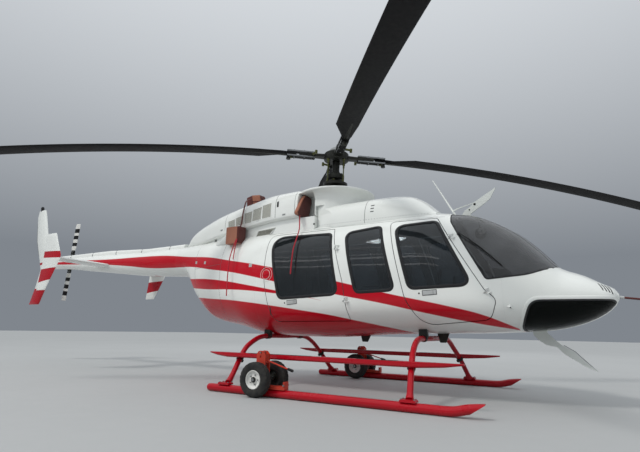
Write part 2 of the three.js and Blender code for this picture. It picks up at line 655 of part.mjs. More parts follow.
// A shallow ramp in each side of the fairing leads back into the air intake
const RAMP = { ahead: 195, behind: -60, bottom: 1890, depth: 95 };
const ramp = (side) => {
  const shape = new THREE.Shape([
    [RAMP.ahead, side * 600], [RAMP.ahead, side * 470], [RAMP.behind - 10, side * (470 - RAMP.depth)],
    [RAMP.behind - 10, side * 600],
  ].map((p) => new THREE.Vector2(...p)));
  const wedge = new THREE.ExtrudeGeometry(shape, { depth: 330, bevelEnabled: false });
  wedge.translate(0, 0, RAMP.bottom);
  return outward(wedge);
};
addPiece('mast_fairing', [-1, 1].reduce(
  (solid, side) => solid.subtract(mouth(side, -700, INTAKE.front)).subtract(ramp(side)), drum,
), WHITE);
const FAIRING_DETAIL = { ring: 22, step: 800 };
const forwardFairing = body(FORWARD_FAIRING, -60, 1450, 0, FAIRING_DETAIL).subtract(ramp(-1)).subtract(ramp(1));
addPiece('forward_fairing', forwardFairing.subtract(roofCut).subtract(drumRoom), WHITE);

const COWL_FRONT_X = -60.3;
const scoop = (side) => skin(SCOOP.map(([x, z, high, y, wide]) => Array.from({ length: 10 }, (_, i) => {
  const angle = 2 * Math.PI * i / 10;
  return new THREE.Vector3(x, side * (y + wide * Math.cos(angle)), z + high * Math.sin(angle));
})));
const upperCowl = body(COWLING, -2620, COWL_FRONT_X, 0, FAIRING_DETAIL);
const deck = body(ENGINE_DECK, -2550, COWL_FRONT_X, 0, FAIRING_DETAIL);
const cowlingRoom = body(COWLING, -2400, -560, HULL_WALL, { ring: 16, step: 900 })
  .add(box(-1900, -560, -290, 290, 1800, 2100));
const EXHAUST = { from: [-1290, 0, 2100], to: [-1400, 0, 2700], radius: 112, wall: 8, top: 2560 };
const exhaustHole = bar(EXHAUST.from, EXHAUST.to, EXHAUST.radius + FIT, EXHAUST.radius + FIT, 20);
addPiece('engine_cowling', joinAll([upperCowl, deck, scoop(-1), scoop(1)]).subtract(roofCut).subtract(drumRoom)
  .subtract(cowlingRoom).subtract(mouth(-1, INTAKE.back, 0)).subtract(mouth(1, INTAKE.back, 0))
  .subtract(exhaustHole), WHITE);
const bore = EXHAUST.radius - EXHAUST.wall;
const exhaust = bar(EXHAUST.from, EXHAUST.to, EXHAUST.radius, EXHAUST.radius, 20)
  .subtract(bar(EXHAUST.from, EXHAUST.to, bore, bore, 20).subtract(box(-FAR, FAR, -FAR, FAR, -FAR, 2200)))
  .subtract(box(-FAR, FAR, -FAR, FAR, EXHAUST.top, FAR));
const engineBlock = box(-1850, -860, -280, 280, 1960, 2150).subtract(roofCut);
addPiece('engine', engineBlock.add(exhaust.subtract(box(-FAR, FAR, -FAR, FAR, -FAR, 2140))), METAL, 0.8, 0.5);

// Padded covers for the parked machine: one in each intake, one over the exhaust with a strap to the
// one on the right scoop
const COVER_THICK = 50;
const COVER_BOTTOM = 2095;
for (const [side, word] of [[-1, 'right'], [1, 'left']]) {
  const outline = [[300, COVER_BOTTOM], [225, 2330], [238, 2392], [395, 2398], [450, 2340], [585, 2125], [570, COVER_BOTTOM]]
    .map(([y, z]) => new THREE.Vector2(side * y, z));
  const cushion = new THREE.ExtrudeGeometry(new THREE.Shape(outline), { depth: COVER_THICK, bevelEnabled: false });
  cushion.applyMatrix4(new THREE.Matrix4().set(0, 0, 1, INTAKE.back + FIT, 1, 0, 0, 0, 0, 1, 0, 0, 0, 0, 0, 1));
  addPiece(`intake_cover_${word}`, outward(cushion), TAN);
}

/** A flat strap through points, as wide along x as it is told. */
function strap(points, wide, thick) {
  const knots = points.map(([x, y, z]) => box(
    x - wide / 2, x + wide / 2, y - thick / 2, y + thick / 2, z - thick / 2, z + thick / 2,
  ));
  return joinAll(knots.slice(1).map((knot, i) => wasm.Manifold.hull([knots[i], knot])));
}

const EXHAUST_COVER = { bottom: 2475, top: 2622, radius: 152 };
const stackAt = (z) => {
  const t = (z - EXHAUST.from[2]) / (EXHAUST.to[2] - EXHAUST.from[2]);
  return EXHAUST.from.map((value, i) => value + (EXHAUST.to[i] - value) * t);
};
const stackCup = bar(stackAt(EXHAUST_COVER.bottom), stackAt(EXHAUST_COVER.top), EXHAUST_COVER.radius,
  EXHAUST_COVER.radius - 8, 18).subtract(exhaustHole.intersect(box(-FAR, FAR, -FAR, FAR, 0, EXHAUST.top + FIT)));
const SCOOP_COVER = { back: -1400 + FIT, front: -1160, inner: -440, outer: -605, bottom: 1800, top: 2030 };
const scoopCover = box(SCOOP_COVER.back, SCOOP_COVER.front, SCOOP_COVER.outer, SCOOP_COVER.inner,
  SCOOP_COVER.bottom, SCOOP_COVER.top);
const coverStrap = strap([
  [-1372, -135, 2570], [-1232, -402, 2420], [-1205, -478, 2240], [-1195, -512, 2080], [-1190, -545, 1990],
], 32, 8);
addPiece('engine_covers', joinAll([stackCup, scoopCover, coverStrap]).subtract(roofCut)
  .subtract(body(ENGINE_DECK, -2550, COWL_FRONT_X, -FIT, FAIRING_DETAIL))
  .subtract(body(COWLING, -2620, COWL_FRONT_X, -FIT, FAIRING_DETAIL)), TAN);

// Streamers that hang from the covers
const STREAMER_RADIUS = 7;
const STREAMERS = {
  intake: [
    [-250, -512, 2110], [-249, -514, 2050], [-220, -556, 1915], [-211, -618, 1788], [-205, -700, 1629],
    [-198, -738, 1482], [-196, -760, 1313],
  ],
  side: [
    [-1190, -612, 1850], [-1215, -655, 1690], [-1218, -690, 1564], [-1219, -702, 1412], [-1211, -715, 1246],
    [-1201, -722, 1083],
  ],
};
for (const [name, path] of Object.entries(STREAMERS)) {
  const tape = tubeAlong(path, STREAMER_RADIUS, 14, 8).intersect(box(-FAR, FAR, -FAR, FAR, 0, COVER_BOTTOM - FIT));
  addPiece(`${name}_streamer`, tape, RED);
}

// Main rotor, built about its own axis at the hub and then tilted forward with the mast
const mast = joinAll([
  bar([0, 0, GEAR_TOP], [0, 0, -60 - FIT], 50, 50, 16),
  turnedZ([[0, -330], [120, -330], [120, -250], [70, -235], [0, -235]], 0, 0, 20),
]);

const LINK_RADIUS = 150;
const SWASH_Z = -400;
const arms = Array.from({ length: BLADE_COUNT }, (_, i) => ROTOR_PARK + i * 2 * Math.PI / BLADE_COUNT);
const aboutAxis = (solid, angle) => placed(solid, new THREE.Matrix4().makeRotationZ(angle));
const swashplate = turnedZ(
  [[45, SWASH_Z - 25], [150, SWASH_Z - 25], [168, SWASH_Z], [150, SWASH_Z + 25], [45, SWASH_Z + 25],
    [45, SWASH_Z - 25]], 0, 0, 24,
);
const LINK_TURN = 0.62;
const links = arms.map((angle) => {
  const at = (r, z) => [r * Math.cos(angle + LINK_TURN), r * Math.sin(angle + LINK_TURN), z];
  return bar(at(LINK_RADIUS, SWASH_Z), at(LINK_RADIUS, -70), 13, 13, 8);
});
addPiece('rotor_mast', placed(joinAll([mast, swashplate, ...links]), rotorTurn), METAL, 0.8, 0.4);

const GRIP_END = 690;
const BLADE_ROOT = 560;
const hubParts = [
  turnedZ([[0, -60], [150, -60], [170, -30], [170, 30], [120, 60], [0, 60]], 0, 0, 24),
  turnedZ([[0, 50], [118, 50], [112, 95], [80, 135], [35, 152], [0, 156]], 0, 0, 20),
];
for (const angle of arms) {
  const yoke = box(100, 520, -55, 55, -20, 20);
  const upperPlate = box(300, GRIP_END, -48, 48, 24, 44);
  const lowerPlate = box(300, GRIP_END, -48, 48, -44, -24);
  const block = box(300, 420, -60, 60, -52, 52);
  const horn = joinAll([
    box(250, 330, -20, 150, -62, -40),
    bar([LINK_RADIUS * Math.cos(LINK_TURN), LINK_RADIUS * Math.sin(LINK_TURN), -70 + FIT],
      [LINK_RADIUS * Math.cos(LINK_TURN), LINK_RADIUS * Math.sin(LINK_TURN), -20], 16, 16, 8),
    box(120, 330, 60, 130, -62, -40),
  ]);
  hubParts.push(aboutAxis(joinAll([yoke, upperPlate, lowerPlate, block, horn]), angle));
}
addPiece('rotor_hub', placed(joinAll(hubParts), rotorTurn), METAL, 0.8, 0.4);

/** One rotor blade along x, drooping with the square of its radius. */
function mainBlade() {
  const sections = [
    [BLADE_ROOT, 55, 40], [720, 62, 46], [760, 70, 60], [1080, 90, 180], [1500, 90, 180],
    [2600, 90, 180], [3800, 90, 180], [4900, 90, 180], [ROTOR_RADIUS - 60, 88, 178], [ROTOR_RADIUS, 60, 165],
  ];
  return skin(sections.map(([r, lead, trail]) => {
    const thick = r < 750 ? 46.8 : 34;
    const drop = -BLADE_DROOP * ((r - 400) / (ROTOR_RADIUS - 400)) ** 2 * (r > 750 ? 1 : 0);
    const shape = [[1, 0], [0.9, 0.4], [0.7, 0.5], [0.35, 0.32], [0, 0.05]];
    const ring = [...shape, ...shape.slice(1).reverse().map(([t, h]) => [t, -h])];
    return ring.map(([t, h]) => new THREE.Vector3(r, -trail + (lead + trail) * t, drop + h * thick));
  }));
}
const blade = mainBlade().subtract(box(0, 520.3, -200, 200, -100, 100));
arms.forEach((angle, i) => {
  addPiece(`main_blade_${i + 1}`, placed(aboutAxis(blade, angle), rotorTurn), DARK, 0.1, 0.6);
});

// Skid gear
const SHOE = { from: -600, to: 1500, half: 15, top: 14 };
const SKID_Z = SKID_RADIUS + 2;
const skidTop = SKID_Z + SKID_RADIUS;
const skidPath = [
  [-907, SKID_Z], [-300, SKID_Z], [600, SKID_Z], [1500, SKID_Z], [1760, SKID_Z + 4], [1880, SKID_Z + 30],
  [2012, SKID_Z + 44],
];
const SADDLE = { halfLength: 80, halfWidth: 42, top: 106 };
const CLAMP = { y: 370, halfLength: 60, halfWidth: 35, bottom: 575, top: 760 };
for (const [name, path] of Object.entries({ forward: FORWARD_TUBE, aft: AFT_TUBE })) {
  const [[top], [foot]] = [path[0], path.at(-1)];
  const saddles = [-1, 1].map((side) => box(
    foot - SADDLE.halfLength, foot + SADDLE.halfLength, side * SKID_Y - SADDLE.halfWidth,
    side * SKID_Y + SADDLE.halfWidth, skidTop + FIT, SADDLE.top,
  ));
  const tube = crossTube(path, TUBE_RADIUS).intersect(box(-FAR, FAR, -FAR, FAR, skidTop + FIT, FAR));
  const clamps = [-1, 1].map((side) => box(
    top - CLAMP.halfLength, top + CLAMP.halfLength, side * CLAMP.y - CLAMP.halfWidth,
    side * CLAMP.y + CLAMP.halfWidth, CLAMP.bottom, CLAMP.top,
  ).subtract(roofCut));
  addPiece(`${name}_cross_tube`, joinAll([tube, ...saddles, ...clamps]), RED);
}
// The underside of each runner's front end is cut up to a point
const TIP_CUT = [[1880, -50], [1880, 30], [2020, 122], [2100, 122], [2100, -50]];
for (const [side, word] of [[-1, 'right'], [1, 'left']]) {
  const tube = tubeAlong(skidPath.map(([x, z]) => [x, side * SKID_Y, z]), SKID_RADIUS, 12, 10)
    .intersect(box(-FAR, FAR, -FAR, FAR, 1, FAR));
  const shoe = box(SHOE.from, SHOE.to, side * SKID_Y - SHOE.half, side * SKID_Y + SHOE.half, 0, SHOE.top);
  const cut = sideways(TIP_CUT.map((p) => new THREE.Vector2(...p)), side * SKID_Y - 60, side * SKID_Y + 60);
  addPiece(`skid_${word}`, tube.subtract(cut).add(shoe), RED);
}

// A step is a shallow boat: its plan, cut by its side view. Columns: x, y and x, z
const STEP_Y = 1000;
const STEP_PLAN = [[-1135, 12], [-1020, 40], [-850, 52], [1400, 52], [1640, 42], [1812, 12]];
const STEP_SIDE = [[-1140, 404], [-1140, 392], [-1010, 370], [-850, 354], [1400, 352], [1640, 366], [1815, 390],
  [1815, 404]];
for (const [side, word] of [[-1, 'right'], [1, 'left']]) {
  const plan = new THREE.Shape([...STEP_PLAN.map(([x, y]) => [x, -y]), ...STEP_PLAN.slice().reverse()]
    .map((p) => new THREE.Vector2(...p)));
  const board = new THREE.ExtrudeGeometry(plan, { depth: 200, bevelEnabled: false });
  board.translate(0, side * STEP_Y, 300);
  const sideView = sideways(STEP_SIDE.map((p) => new THREE.Vector2(...p)), side * STEP_Y - 100, side * STEP_Y + 100);
  let step = toSolid(board).intersect(sideView);
  for (const path of [FORWARD_TUBE, AFT_TUBE]) step = step.subtract(crossTube(path, TUBE_RADIUS + FIT));
  addPiece(`step_${word}`, step, RED);
}

// Ground handling wheels: a bracket on each skid, a fixed axle and a pair of wheels on it
const AXLE_Z = TYRE_RADIUS + 1;
const AXLE_RADIUS = 12;
const AXLE_OVERHANG = 45;
// The flats of the hole clear the corners of the axle as it turns
const AXLE_HOLE = (AXLE_RADIUS + FIT) / Math.cos(Math.PI / ROUND_SIDES);
const WHEEL_SIDES = 18;
for (const [side, word] of [[-1, 'right'], [1, 'left']]) {
  const y = side * SKID_Y;
  const plate = [[-255, skidTop + FIT], [-125, skidTop + FIT], [-125, 250], [-128, 420], [-160, 452], [-215, 452],
    [-240, 420], [-240, 330], [-255, 250]].map((p) => new THREE.Vector2(...p));
  const bracket = joinAll([
    sideways(plate, y - 42, y - 34), sideways(plate, y + 34, y + 42),
    box(-240, -130, y - 40, y + 40, 330, 420),
    box(-255, 120, y - 40, y + 40, skidTop + FIT, 116),
    box(96, 120, y - 40, y + 40, 90, 160),
    bar([-150, y, 360], [70, y, 300], 11, 11, 8),
    bar([60, y, 303], [190, y, 268], 15, 15, 8),
  ]).subtract(bar([WHEEL_X, y - 300, AXLE_Z], [WHEEL_X, y + 300, AXLE_Z], AXLE_HOLE));
  addPiece(`wheel_bracket_${word}`, bracket, ORANGE);
  const axle = bar([WHEEL_X, y - side * (WHEEL_OFFSET.inner + AXLE_OVERHANG), AXLE_Z],
    [WHEEL_X, y + side * (WHEEL_OFFSET.outer + AXLE_OVERHANG), AXLE_Z], AXLE_RADIUS);
  const rims = [['outer', 1], ['inner', -1]].map(([rimWord, end]) => {
    const centre = y + side * end * WHEEL_OFFSET[rimWord];
    const half = TYRE_WIDTH / 2;
    const rim = turnedY([
      [8, centre - 30], [24, centre - 30], [24, centre - 8], [70, centre - 8], [76, centre - 34], [92, centre - 38],
      [92, centre + 38], [76, centre + 34], [70, centre + 8], [24, centre + 8], [24, centre + 30], [8, centre + 30],
      [8, centre - 30],
    ], WHEEL_X, AXLE_Z, WHEEL_SIDES);
    const tyre = turnedY([
      [92.3, centre - 36], [102, centre - half + 4], [130, centre - half], [158, centre - half + 6],
      [TYRE_RADIUS, centre - half + 24], [TYRE_RADIUS, centre + half - 24], [158, centre + half - 6],
      [130, centre + half], [102, centre + half - 4], [92.3, centre + 36], [92.3, centre - 36],
    ], WHEEL_X, AXLE_Z, WHEEL_SIDES);
    addPiece(`tyre_${word}_${rimWord}`, tyre, DARK, 0, 0.9);
    return rim;
  });
  addPiece(`wheel_pair_${word}`, joinAll([axle, ...rims]), WHITE);
}

// Cabin furniture, seen through the glass
const bench = joinAll([
  box(-640, -180, -500, 500, FLOOR_Z + FIT, 1120),
  box(-660, -520, -500, 500, 1100, 1600),
]);
addPiece('passenger_bench', bench, CLOTH, 0, 0.9);
for (const [side, word] of [[-1, 'right'], [1, 'left']]) {
  const seat = joinAll([
    box(880, 1340, side * 320 - 200, side * 320 + 200, 1000, 1120),
    box(920, 1300, side * 320 - 150, side * 320 + 150, FLOOR_Z + FIT, 1010),
    sideways([[860, 1080], [980, 1080], [900, 1640], [800, 1640]].map((p) => new THREE.Vector2(...p)),
      side * 320 - 190, side * 320 + 190),
  ]);
  addPiece(`crew_seat_${word}`, seat, CLOTH, 0, 0.9);
}
const panel = joinAll([
  box(1700, 2090, -110, 110, FLOOR_Z + FIT, 1080),
  sideways([[1980, 1060], [2090, 1060], [2160, 1300], [1990, 1330]].map((p) => new THREE.Vector2(...p)), -330, 330),
]);
addPiece('instrument_panel', panel, DARK, 0, 0.9);

// Wire cutters, antenna and nose probe
const UPPER_CUTTER = [[2050, 2285], [1926, 2210], [1811, 2142], [1752, 2085], [1694, 2051], [1660, 2000], [1660, 1900],
  [1770, 1900], [1752, 2000], [1817, 2043], [1891, 2093], [1976, 2155]];
const UPPER_STRUT = [[1815, 2130], [1811, 2138], [1600, 2086], [1556, 2066], [1556, 1950], [1570, 1950], [1570, 2056],
  [1604, 2074]];
const LOWER_CUTTER = [[2290, 770], [2440, 770], [2423, 690], [2488, 620], [2540, 573], [2644, 510], [2730, 418],
  [2832, 330], [2727, 377], [2637, 436], [2557, 487], [2501, 550], [2413, 566], [2352, 606], [2300, 660]];
const plateOf = (outline, half) => sideways(outline.map((p) => new THREE.Vector2(...p)), -half, half);
addPiece('upper_wire_cutter', plateOf(UPPER_CUTTER, 8).add(plateOf(UPPER_STRUT, 5)).subtract(roofCut), METAL);
const lowerCutter = plateOf(LOWER_CUTTER, 8).subtract(roofCut);
addPiece('lower_wire_cutter', lowerCutter, METAL);

const helicopter = new THREE.Group();
helicopter.position.x = MAST_X;
helicopter.add(...pieces);

export default helicopter;
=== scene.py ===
"""A parked light turbine helicopter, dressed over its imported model.

Sizes are in millimetres from the main rotor's mast, as x forward, y left and z up, and every mesh is
written in metres in the model's own frame, where the mast stands at MAST metres along x.
"""

from __future__ import annotations

import logging
import math
from collections.abc import Callable, Iterable, Sequence
from dataclasses import dataclass, field
from enum import Enum

import bpy
import numpy as np
from mathutils import Matrix, Vector

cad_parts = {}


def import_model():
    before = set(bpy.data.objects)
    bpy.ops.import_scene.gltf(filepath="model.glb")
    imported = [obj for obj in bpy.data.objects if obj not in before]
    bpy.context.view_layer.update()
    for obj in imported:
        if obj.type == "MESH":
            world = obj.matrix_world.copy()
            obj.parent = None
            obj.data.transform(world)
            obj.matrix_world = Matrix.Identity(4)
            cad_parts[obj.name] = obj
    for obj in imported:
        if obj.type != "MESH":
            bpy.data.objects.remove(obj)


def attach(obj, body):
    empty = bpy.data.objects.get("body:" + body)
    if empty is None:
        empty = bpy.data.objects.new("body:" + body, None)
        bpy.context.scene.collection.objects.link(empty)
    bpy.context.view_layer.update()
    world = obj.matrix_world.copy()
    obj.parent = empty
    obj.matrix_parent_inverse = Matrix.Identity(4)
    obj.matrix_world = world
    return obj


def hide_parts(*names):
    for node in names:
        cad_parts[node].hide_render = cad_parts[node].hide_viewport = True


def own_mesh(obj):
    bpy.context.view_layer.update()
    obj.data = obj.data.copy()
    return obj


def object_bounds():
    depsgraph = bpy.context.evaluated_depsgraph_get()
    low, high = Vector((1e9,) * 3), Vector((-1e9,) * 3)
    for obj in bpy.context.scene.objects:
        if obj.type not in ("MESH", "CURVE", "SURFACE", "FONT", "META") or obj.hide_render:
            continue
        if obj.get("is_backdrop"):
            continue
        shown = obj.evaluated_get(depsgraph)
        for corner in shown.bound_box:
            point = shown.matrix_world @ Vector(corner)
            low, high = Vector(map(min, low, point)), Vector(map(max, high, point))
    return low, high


LOG = logging.getLogger("helicopter")

MAST = 1.6
FIT = 0.3
FAR = 9000.0

Point = Sequence[float]
Profile = Sequence[Point]
Array = np.ndarray


class Side(Enum):
    """The two sides of the machine, with the sign of y on each."""

    RIGHT = -1
    LEFT = 1

    @property
    def word(self) -> str:
        """The side's name as the nodes spell it."""
        return self.name.lower()


class Cut(Enum):
    """What a Boolean step does with its second solid."""

    AWAY = "DIFFERENCE"
    KEEP = "INTERSECT"
    JOIN = "UNION"


class Form:
    """A closed or open surface in millimetres, as corners and faces."""

    def __init__(self, verts: Array | Sequence[Point], faces: Iterable[Sequence[int]]) -> None:
        """Keep the corners as an array and the faces as tuples."""
        self.verts = np.asarray(verts, dtype=float).reshape(-1, 3)
        self.faces = [tuple(int(i) for i in face) for face in faces]

    def __add__(self, other: Form) -> Form:
        """Both forms in one, without joining their solids.

        Args:
            other: the form that is added.

        Returns:
            The two forms as one.
        """
        shift = len(self.verts)
        moved = [tuple(i + shift for i in face) for face in other.faces]
        return Form(np.vstack([self.verts, other.verts]), self.faces + moved)

    def turned(self, matrix: Matrix) -> Form:
        """The form moved by a matrix that keeps its handedness."""
        m = np.array(matrix)
        return Form(self.verts @ m[:3, :3].T + m[:3, 3], self.faces)

    def mirrored(self) -> Form:
        """The same form on the other side of the middle plane."""
        return Form(self.verts * (1, -1, 1), [face[::-1] for face in self.faces])

    def outward(self) -> Form:
        """The form with its faces pointing out.

        Returns:
            The form, turned inside out where it has to be.
        """
        volume = 0.0
        for face in self.faces:
            a = self.verts[face[0]]
            for i, j in zip(face[1:], face[2:]):
                volume += float(np.dot(a, np.cross(self.verts[i], self.verts[j])))
        return self if volume >= 0 else Form(self.verts, [face[::-1] for face in self.faces])

    def mesh(self, name: str) -> bpy.types.Mesh:
        """A Blender mesh of the form, in metres in the model's frame.

        Args:
            name: the mesh's name.

        Returns:
            The mesh.
        """
        data = bpy.data.meshes.new(name)
        data.from_pydata((self.verts / 1000 + (MAST, 0, 0)).tolist(), [], self.faces)
        data.update()
        return data


def placed(name: str, data: bpy.types.ID) -> bpy.types.Object:
    """A new object in the scene.

    Args:
        name: the object's name.
        data: its mesh, light or camera.

    Returns:
        The object.
    """
    thing = bpy.data.objects.new(name, data)
    bpy.context.scene.collection.objects.link(thing)
    return thing


def read_mesh(data: bpy.types.Mesh) -> Form:
    """The form of a Blender mesh in metres.

    Args:
        data: the mesh to read.

    Returns:
        Its form in millimetres from the mast.
    """
    verts = np.empty(len(data.vertices) * 3)
    data.vertices.foreach_get("co", verts)
    totals = np.empty(len(data.polygons), int)
    data.polygons.foreach_get("loop_total", totals)
    corners = np.empty(len(data.loops), int)
    data.loops.foreach_get("vertex_index", corners)
    faces = np.split(corners, np.cumsum(totals)[:-1])
    return Form((verts.reshape(-1, 3) - (MAST, 0, 0)) * 1000, faces)


def combine(first: Form, second: Form, cut: Cut) -> Form:
    """Two solids through one Boolean step.

    Args:
        first: the solid that is changed.
        second: the solid that changes it.
        cut: what the step does.

    Returns:
        The new solid.
    """
    things = [placed(role, form.mesh(role)) for role, form in (("body", first), ("tool", second))]
    step = things[0].modifiers.new("step", "BOOLEAN")
    step.operation, step.object, step.solver = cut.value, things[1], "MANIFOLD"
    seen = things[0].evaluated_get(bpy.context.evaluated_depsgraph_get())
    data = bpy.data.meshes.new_from_object(seen)
    made = read_mesh(data)
    meshes = [data] + [thing.data for thing in things]
    for thing in things:
        bpy.data.objects.remove(thing)
    for mesh in meshes:
        bpy.data.meshes.remove(mesh)
    return made


def less(solid: Form, *tools: Form) -> Form:
    """The solid with each tool cut away from it.

    Args:
        solid: the solid that is cut.
        tools: the solids that cut it.

    Returns:
        What is left.
    """
    for tool in tools:
        solid = combine(solid, tool, Cut.AWAY)
    return solid


def within(solid: Form, tool: Form) -> Form:
    """What two solids share."""
    return combine(solid, tool, Cut.KEEP)


def joined(*solids: Form) -> Form:
    """One solid of several that meet.

    Args:
        solids: the solids.

    Returns:
        The joined solid.
    """
    whole = solids[0]
    for solid in solids[1:]:
        whole = combine(whole, solid, Cut.JOIN)
    return whole


def gathered(forms: Iterable[Form]) -> Form:
    """Several forms as one, each kept as it is.

    Args:
        forms: the forms.

    Returns:
        The one form.
    """
    verts, faces, shift = [], [], 0
    for form in forms:
        verts.append(form.verts)
        faces += [tuple(i + shift for i in face) for face in form.faces]
        shift += len(form.verts)
    return Form(np.vstack(verts), faces)


def turns(count: int) -> Array:
    """Equal angles round a full circle."""
    return np.arange(count) * math.tau / count


def ringed(rings: Array, closed: bool = False, round_section: bool = True) -> Form:
    """A surface through rings of points.

    Args:
        rings: one ring of points for each place along the form.
        closed: the last ring joins the first, so there are no ends.
        round_section: the last point of a ring joins its first, and the ends are filled.

    Returns:
        The form, with its faces pointing out where it is closed.
    """
    places, count = rings.shape[:2]
    faces = []
    for k in range(places if closed else places - 1):
        near, far = k * count, (k + 1) % places * count
        for i in range(count if round_section else count - 1):
            j = (i + 1) % count
            faces.append((near + i, near + j, far + j, far + i))
    if round_section and not closed:
        faces.append(tuple(range(count))[::-1])
        faces.append(tuple(range((places - 1) * count, places * count)))
    form = Form(rings.reshape(-1, 3), faces)
    return form.outward() if round_section else form


def slab(x0: float, x1: float, y0: float, y1: float, z0: float, z1: float, round_by: float = 0.0) -> Form:
    """A box between two corners, with its upright edges rounded where it is asked.

    Args:
        x0: lowest x.
        x1: highest x.
        y0: lowest y.
        y1: highest y.
        z0: lowest z.
        z1: highest z.
        round_by: radius of the four upright edges.

    Returns:
        The solid.
    """
    corners = [(x0, y0, round_by), (x1, y0, round_by), (x1, y1, round_by), (x0, y1, round_by)]
    flat = rounded(corners, 4) if round_by else np.array([c[:2] for c in corners])
    rings = np.array([[(x, y, z) for x, y in flat] for z in (z0, z1)])
    return ringed(rings)


def rounded(corners: Sequence[Point], steps: int = 8) -> Array:
    """Points of an outline with each corner rounded by its own radius.

    Args:
        corners: x, z and radius of each corner.
        steps: pieces that each rounding is made of.

    Returns:
        The points, in order.
    """
    points = []
    count = len(corners)
    for i, (x, z, radius) in enumerate(corners):
        at = np.array([x, z], float)
        before = np.array(corners[i - 1][:2], float) - at
        after = np.array(corners[(i + 1) % count][:2], float) - at
        lengths = [float(np.hypot(*v)) for v in (before, after)]
        cosine = float(before @ after) / (lengths[0] * lengths[1])
        half = abs(math.pi - math.acos(max(-1.0, min(1.0, cosine)))) / 2
        reach = min(radius * math.tan(half), lengths[0] * 0.48, lengths[1] * 0.48)
        start, end = at + before * reach / lengths[0], at + after * reach / lengths[1]
        for k in range(steps + 1):
            t = k / steps
            points.append((1 - t) ** 2 * start + 2 * t * (1 - t) * at + t * t * end)
    return np.array(points)


def spread(points: Array, gap: float) -> Array:
    """A closed outline with extra points, so that none lie further apart than a gap.

    Args:
        points: corners of the outline.
        gap: most that two points stand apart.

    Returns:
        The outline.
    """
    out = []
    for a, b in zip(points, np.roll(points, -1, axis=0)):
        parts = max(1, int(np.ceil(np.linalg.norm(b - a) / gap)))
        out += [a + (b - a) * k / parts for k in range(parts)]
    return np.array(out)


def grown(points: Array, distance: float) -> Array:
    """An outline grown by a distance, or shrunk where it is negative.

    Args:
        points: corners of the outline.
        distance: how far it grows.

    Returns:
        The new outline.
    """
    area = float(np.sum(points[:, 0] * np.roll(points[:, 1], -1) - np.roll(points[:, 0], -1) * points[:, 1]))
    turn = 1 if area > 0 else -1
    before = points - np.roll(points, 1, axis=0)
    after = np.roll(points, -1, axis=0) - points
    before /= np.maximum(np.linalg.norm(before, axis=1, keepdims=True), 1e-9)
    after /= np.maximum(np.linalg.norm(after, axis=1, keepdims=True), 1e-9)
    normal = np.stack([before[:, 1] + after[:, 1], -before[:, 0] - after[:, 0]], axis=1)
    normal *= turn / np.linalg.norm(normal, axis=1, keepdims=True)
    lean = np.maximum(0.5, np.abs(normal[:, 0] * before[:, 1] - normal[:, 1] * before[:, 0]))
    return points + normal * (distance / lean)[:, None]


def sideways(points: Array | Sequence[Point], low: float, high: float) -> Form:
    """A solid with the outline in the side view, between two values of y."""
    flat = np.asarray(points, float)
    return ringed(np.array([[(x, y, z) for x, z in flat] for y in (low, high)]))


def across(points: Array | Sequence[Point], low: float, high: float) -> Form:
    """A solid with the outline in the front view, given as y and z, between two values of x."""
    flat = np.asarray(points, float)
    return ringed(np.array([[(x, y, z) for y, z in flat] for x in (low, high)]))


def smooth_path(points: Sequence[Point], steps: int) -> Array:
    """A centripetal spline through points, as three.js draws it.

    Args:
        points: the points that it passes.
        steps: how many pieces of equal length come out.

    Returns:
        The points of the spline.
    """
    given = np.asarray(points, float)
    ends = [2 * given[0] - given[1], 2 * given[-1] - given[-2]]
    p = np.vstack([ends[0], given, ends[1]])
    fine = []
    for i in range(1, len(p) - 2):
        knots = [np.linalg.norm(b - a) ** 0.5 for a, b in zip(p[i - 1:i + 3], p[i:i + 3])]
        d0, d1, d2 = (max(k, 1e-6) for k in knots)
        t1 = ((p[i] - p[i - 1]) / d0 - (p[i + 1] - p[i - 1]) / (d0 + d1) + (p[i + 1] - p[i]) / d1) * d1
        t2 = ((p[i + 1] - p[i]) / d1 - (p[i + 2] - p[i]) / (d1 + d2) + (p[i + 2] - p[i + 1]) / d2) * d1
        a, b = p[i], p[i + 1]
        for t in np.linspace(0, 1, 40, endpoint=i == len(p) - 3):
            fine.append(a + t1 * t + (-3 * a + 3 * b - 2 * t1 - t2) * t * t
                        + (2 * a - 2 * b + t1 + t2) * t ** 3)
    line = np.array(fine)
    length = np.concatenate([[0], np.cumsum(np.linalg.norm(np.diff(line, axis=0), axis=1))])
    places = np.linspace(0, length[-1], steps + 1)
    return np.stack([np.interp(places, length, line[:, k]) for k in range(3)], axis=1)


def thinned(line: Array, gap: float) -> Array:
    """The points of a line that lie at least a gap apart.

    Args:
        line: points of the line.
        gap: least that two points stand apart.

    Returns:
        The points that stay.
    """
    kept = [line[0]]
    for point in line[1:]:
        if np.linalg.norm(point - kept[-1]) >= gap:
            kept.append(point)
    return np.array(kept)


def opened(points: list[Point]) -> list[Point]:
    """The points of an outline that lost a stretch, from one end of the rest to the other."""
    cut = max(range(len(points)), key=lambda i: math.dist(points[i - 1], points[i]))
    return points[cut:] + points[:cut]


def handed(profile: Profile, side: Side) -> list[Point]:
    """A strip's section that is drawn for the right side, turned over for the left."""
    return [(-side.value * place, height) for place, height in profile]


def flat_strip(half: float, high: float, low: float = -1) -> list[Point]:
    """A flat strip's section, from its half width and the heights of its two faces."""
    return [(-half, low), (-half, high), (half, high), (half, low)]


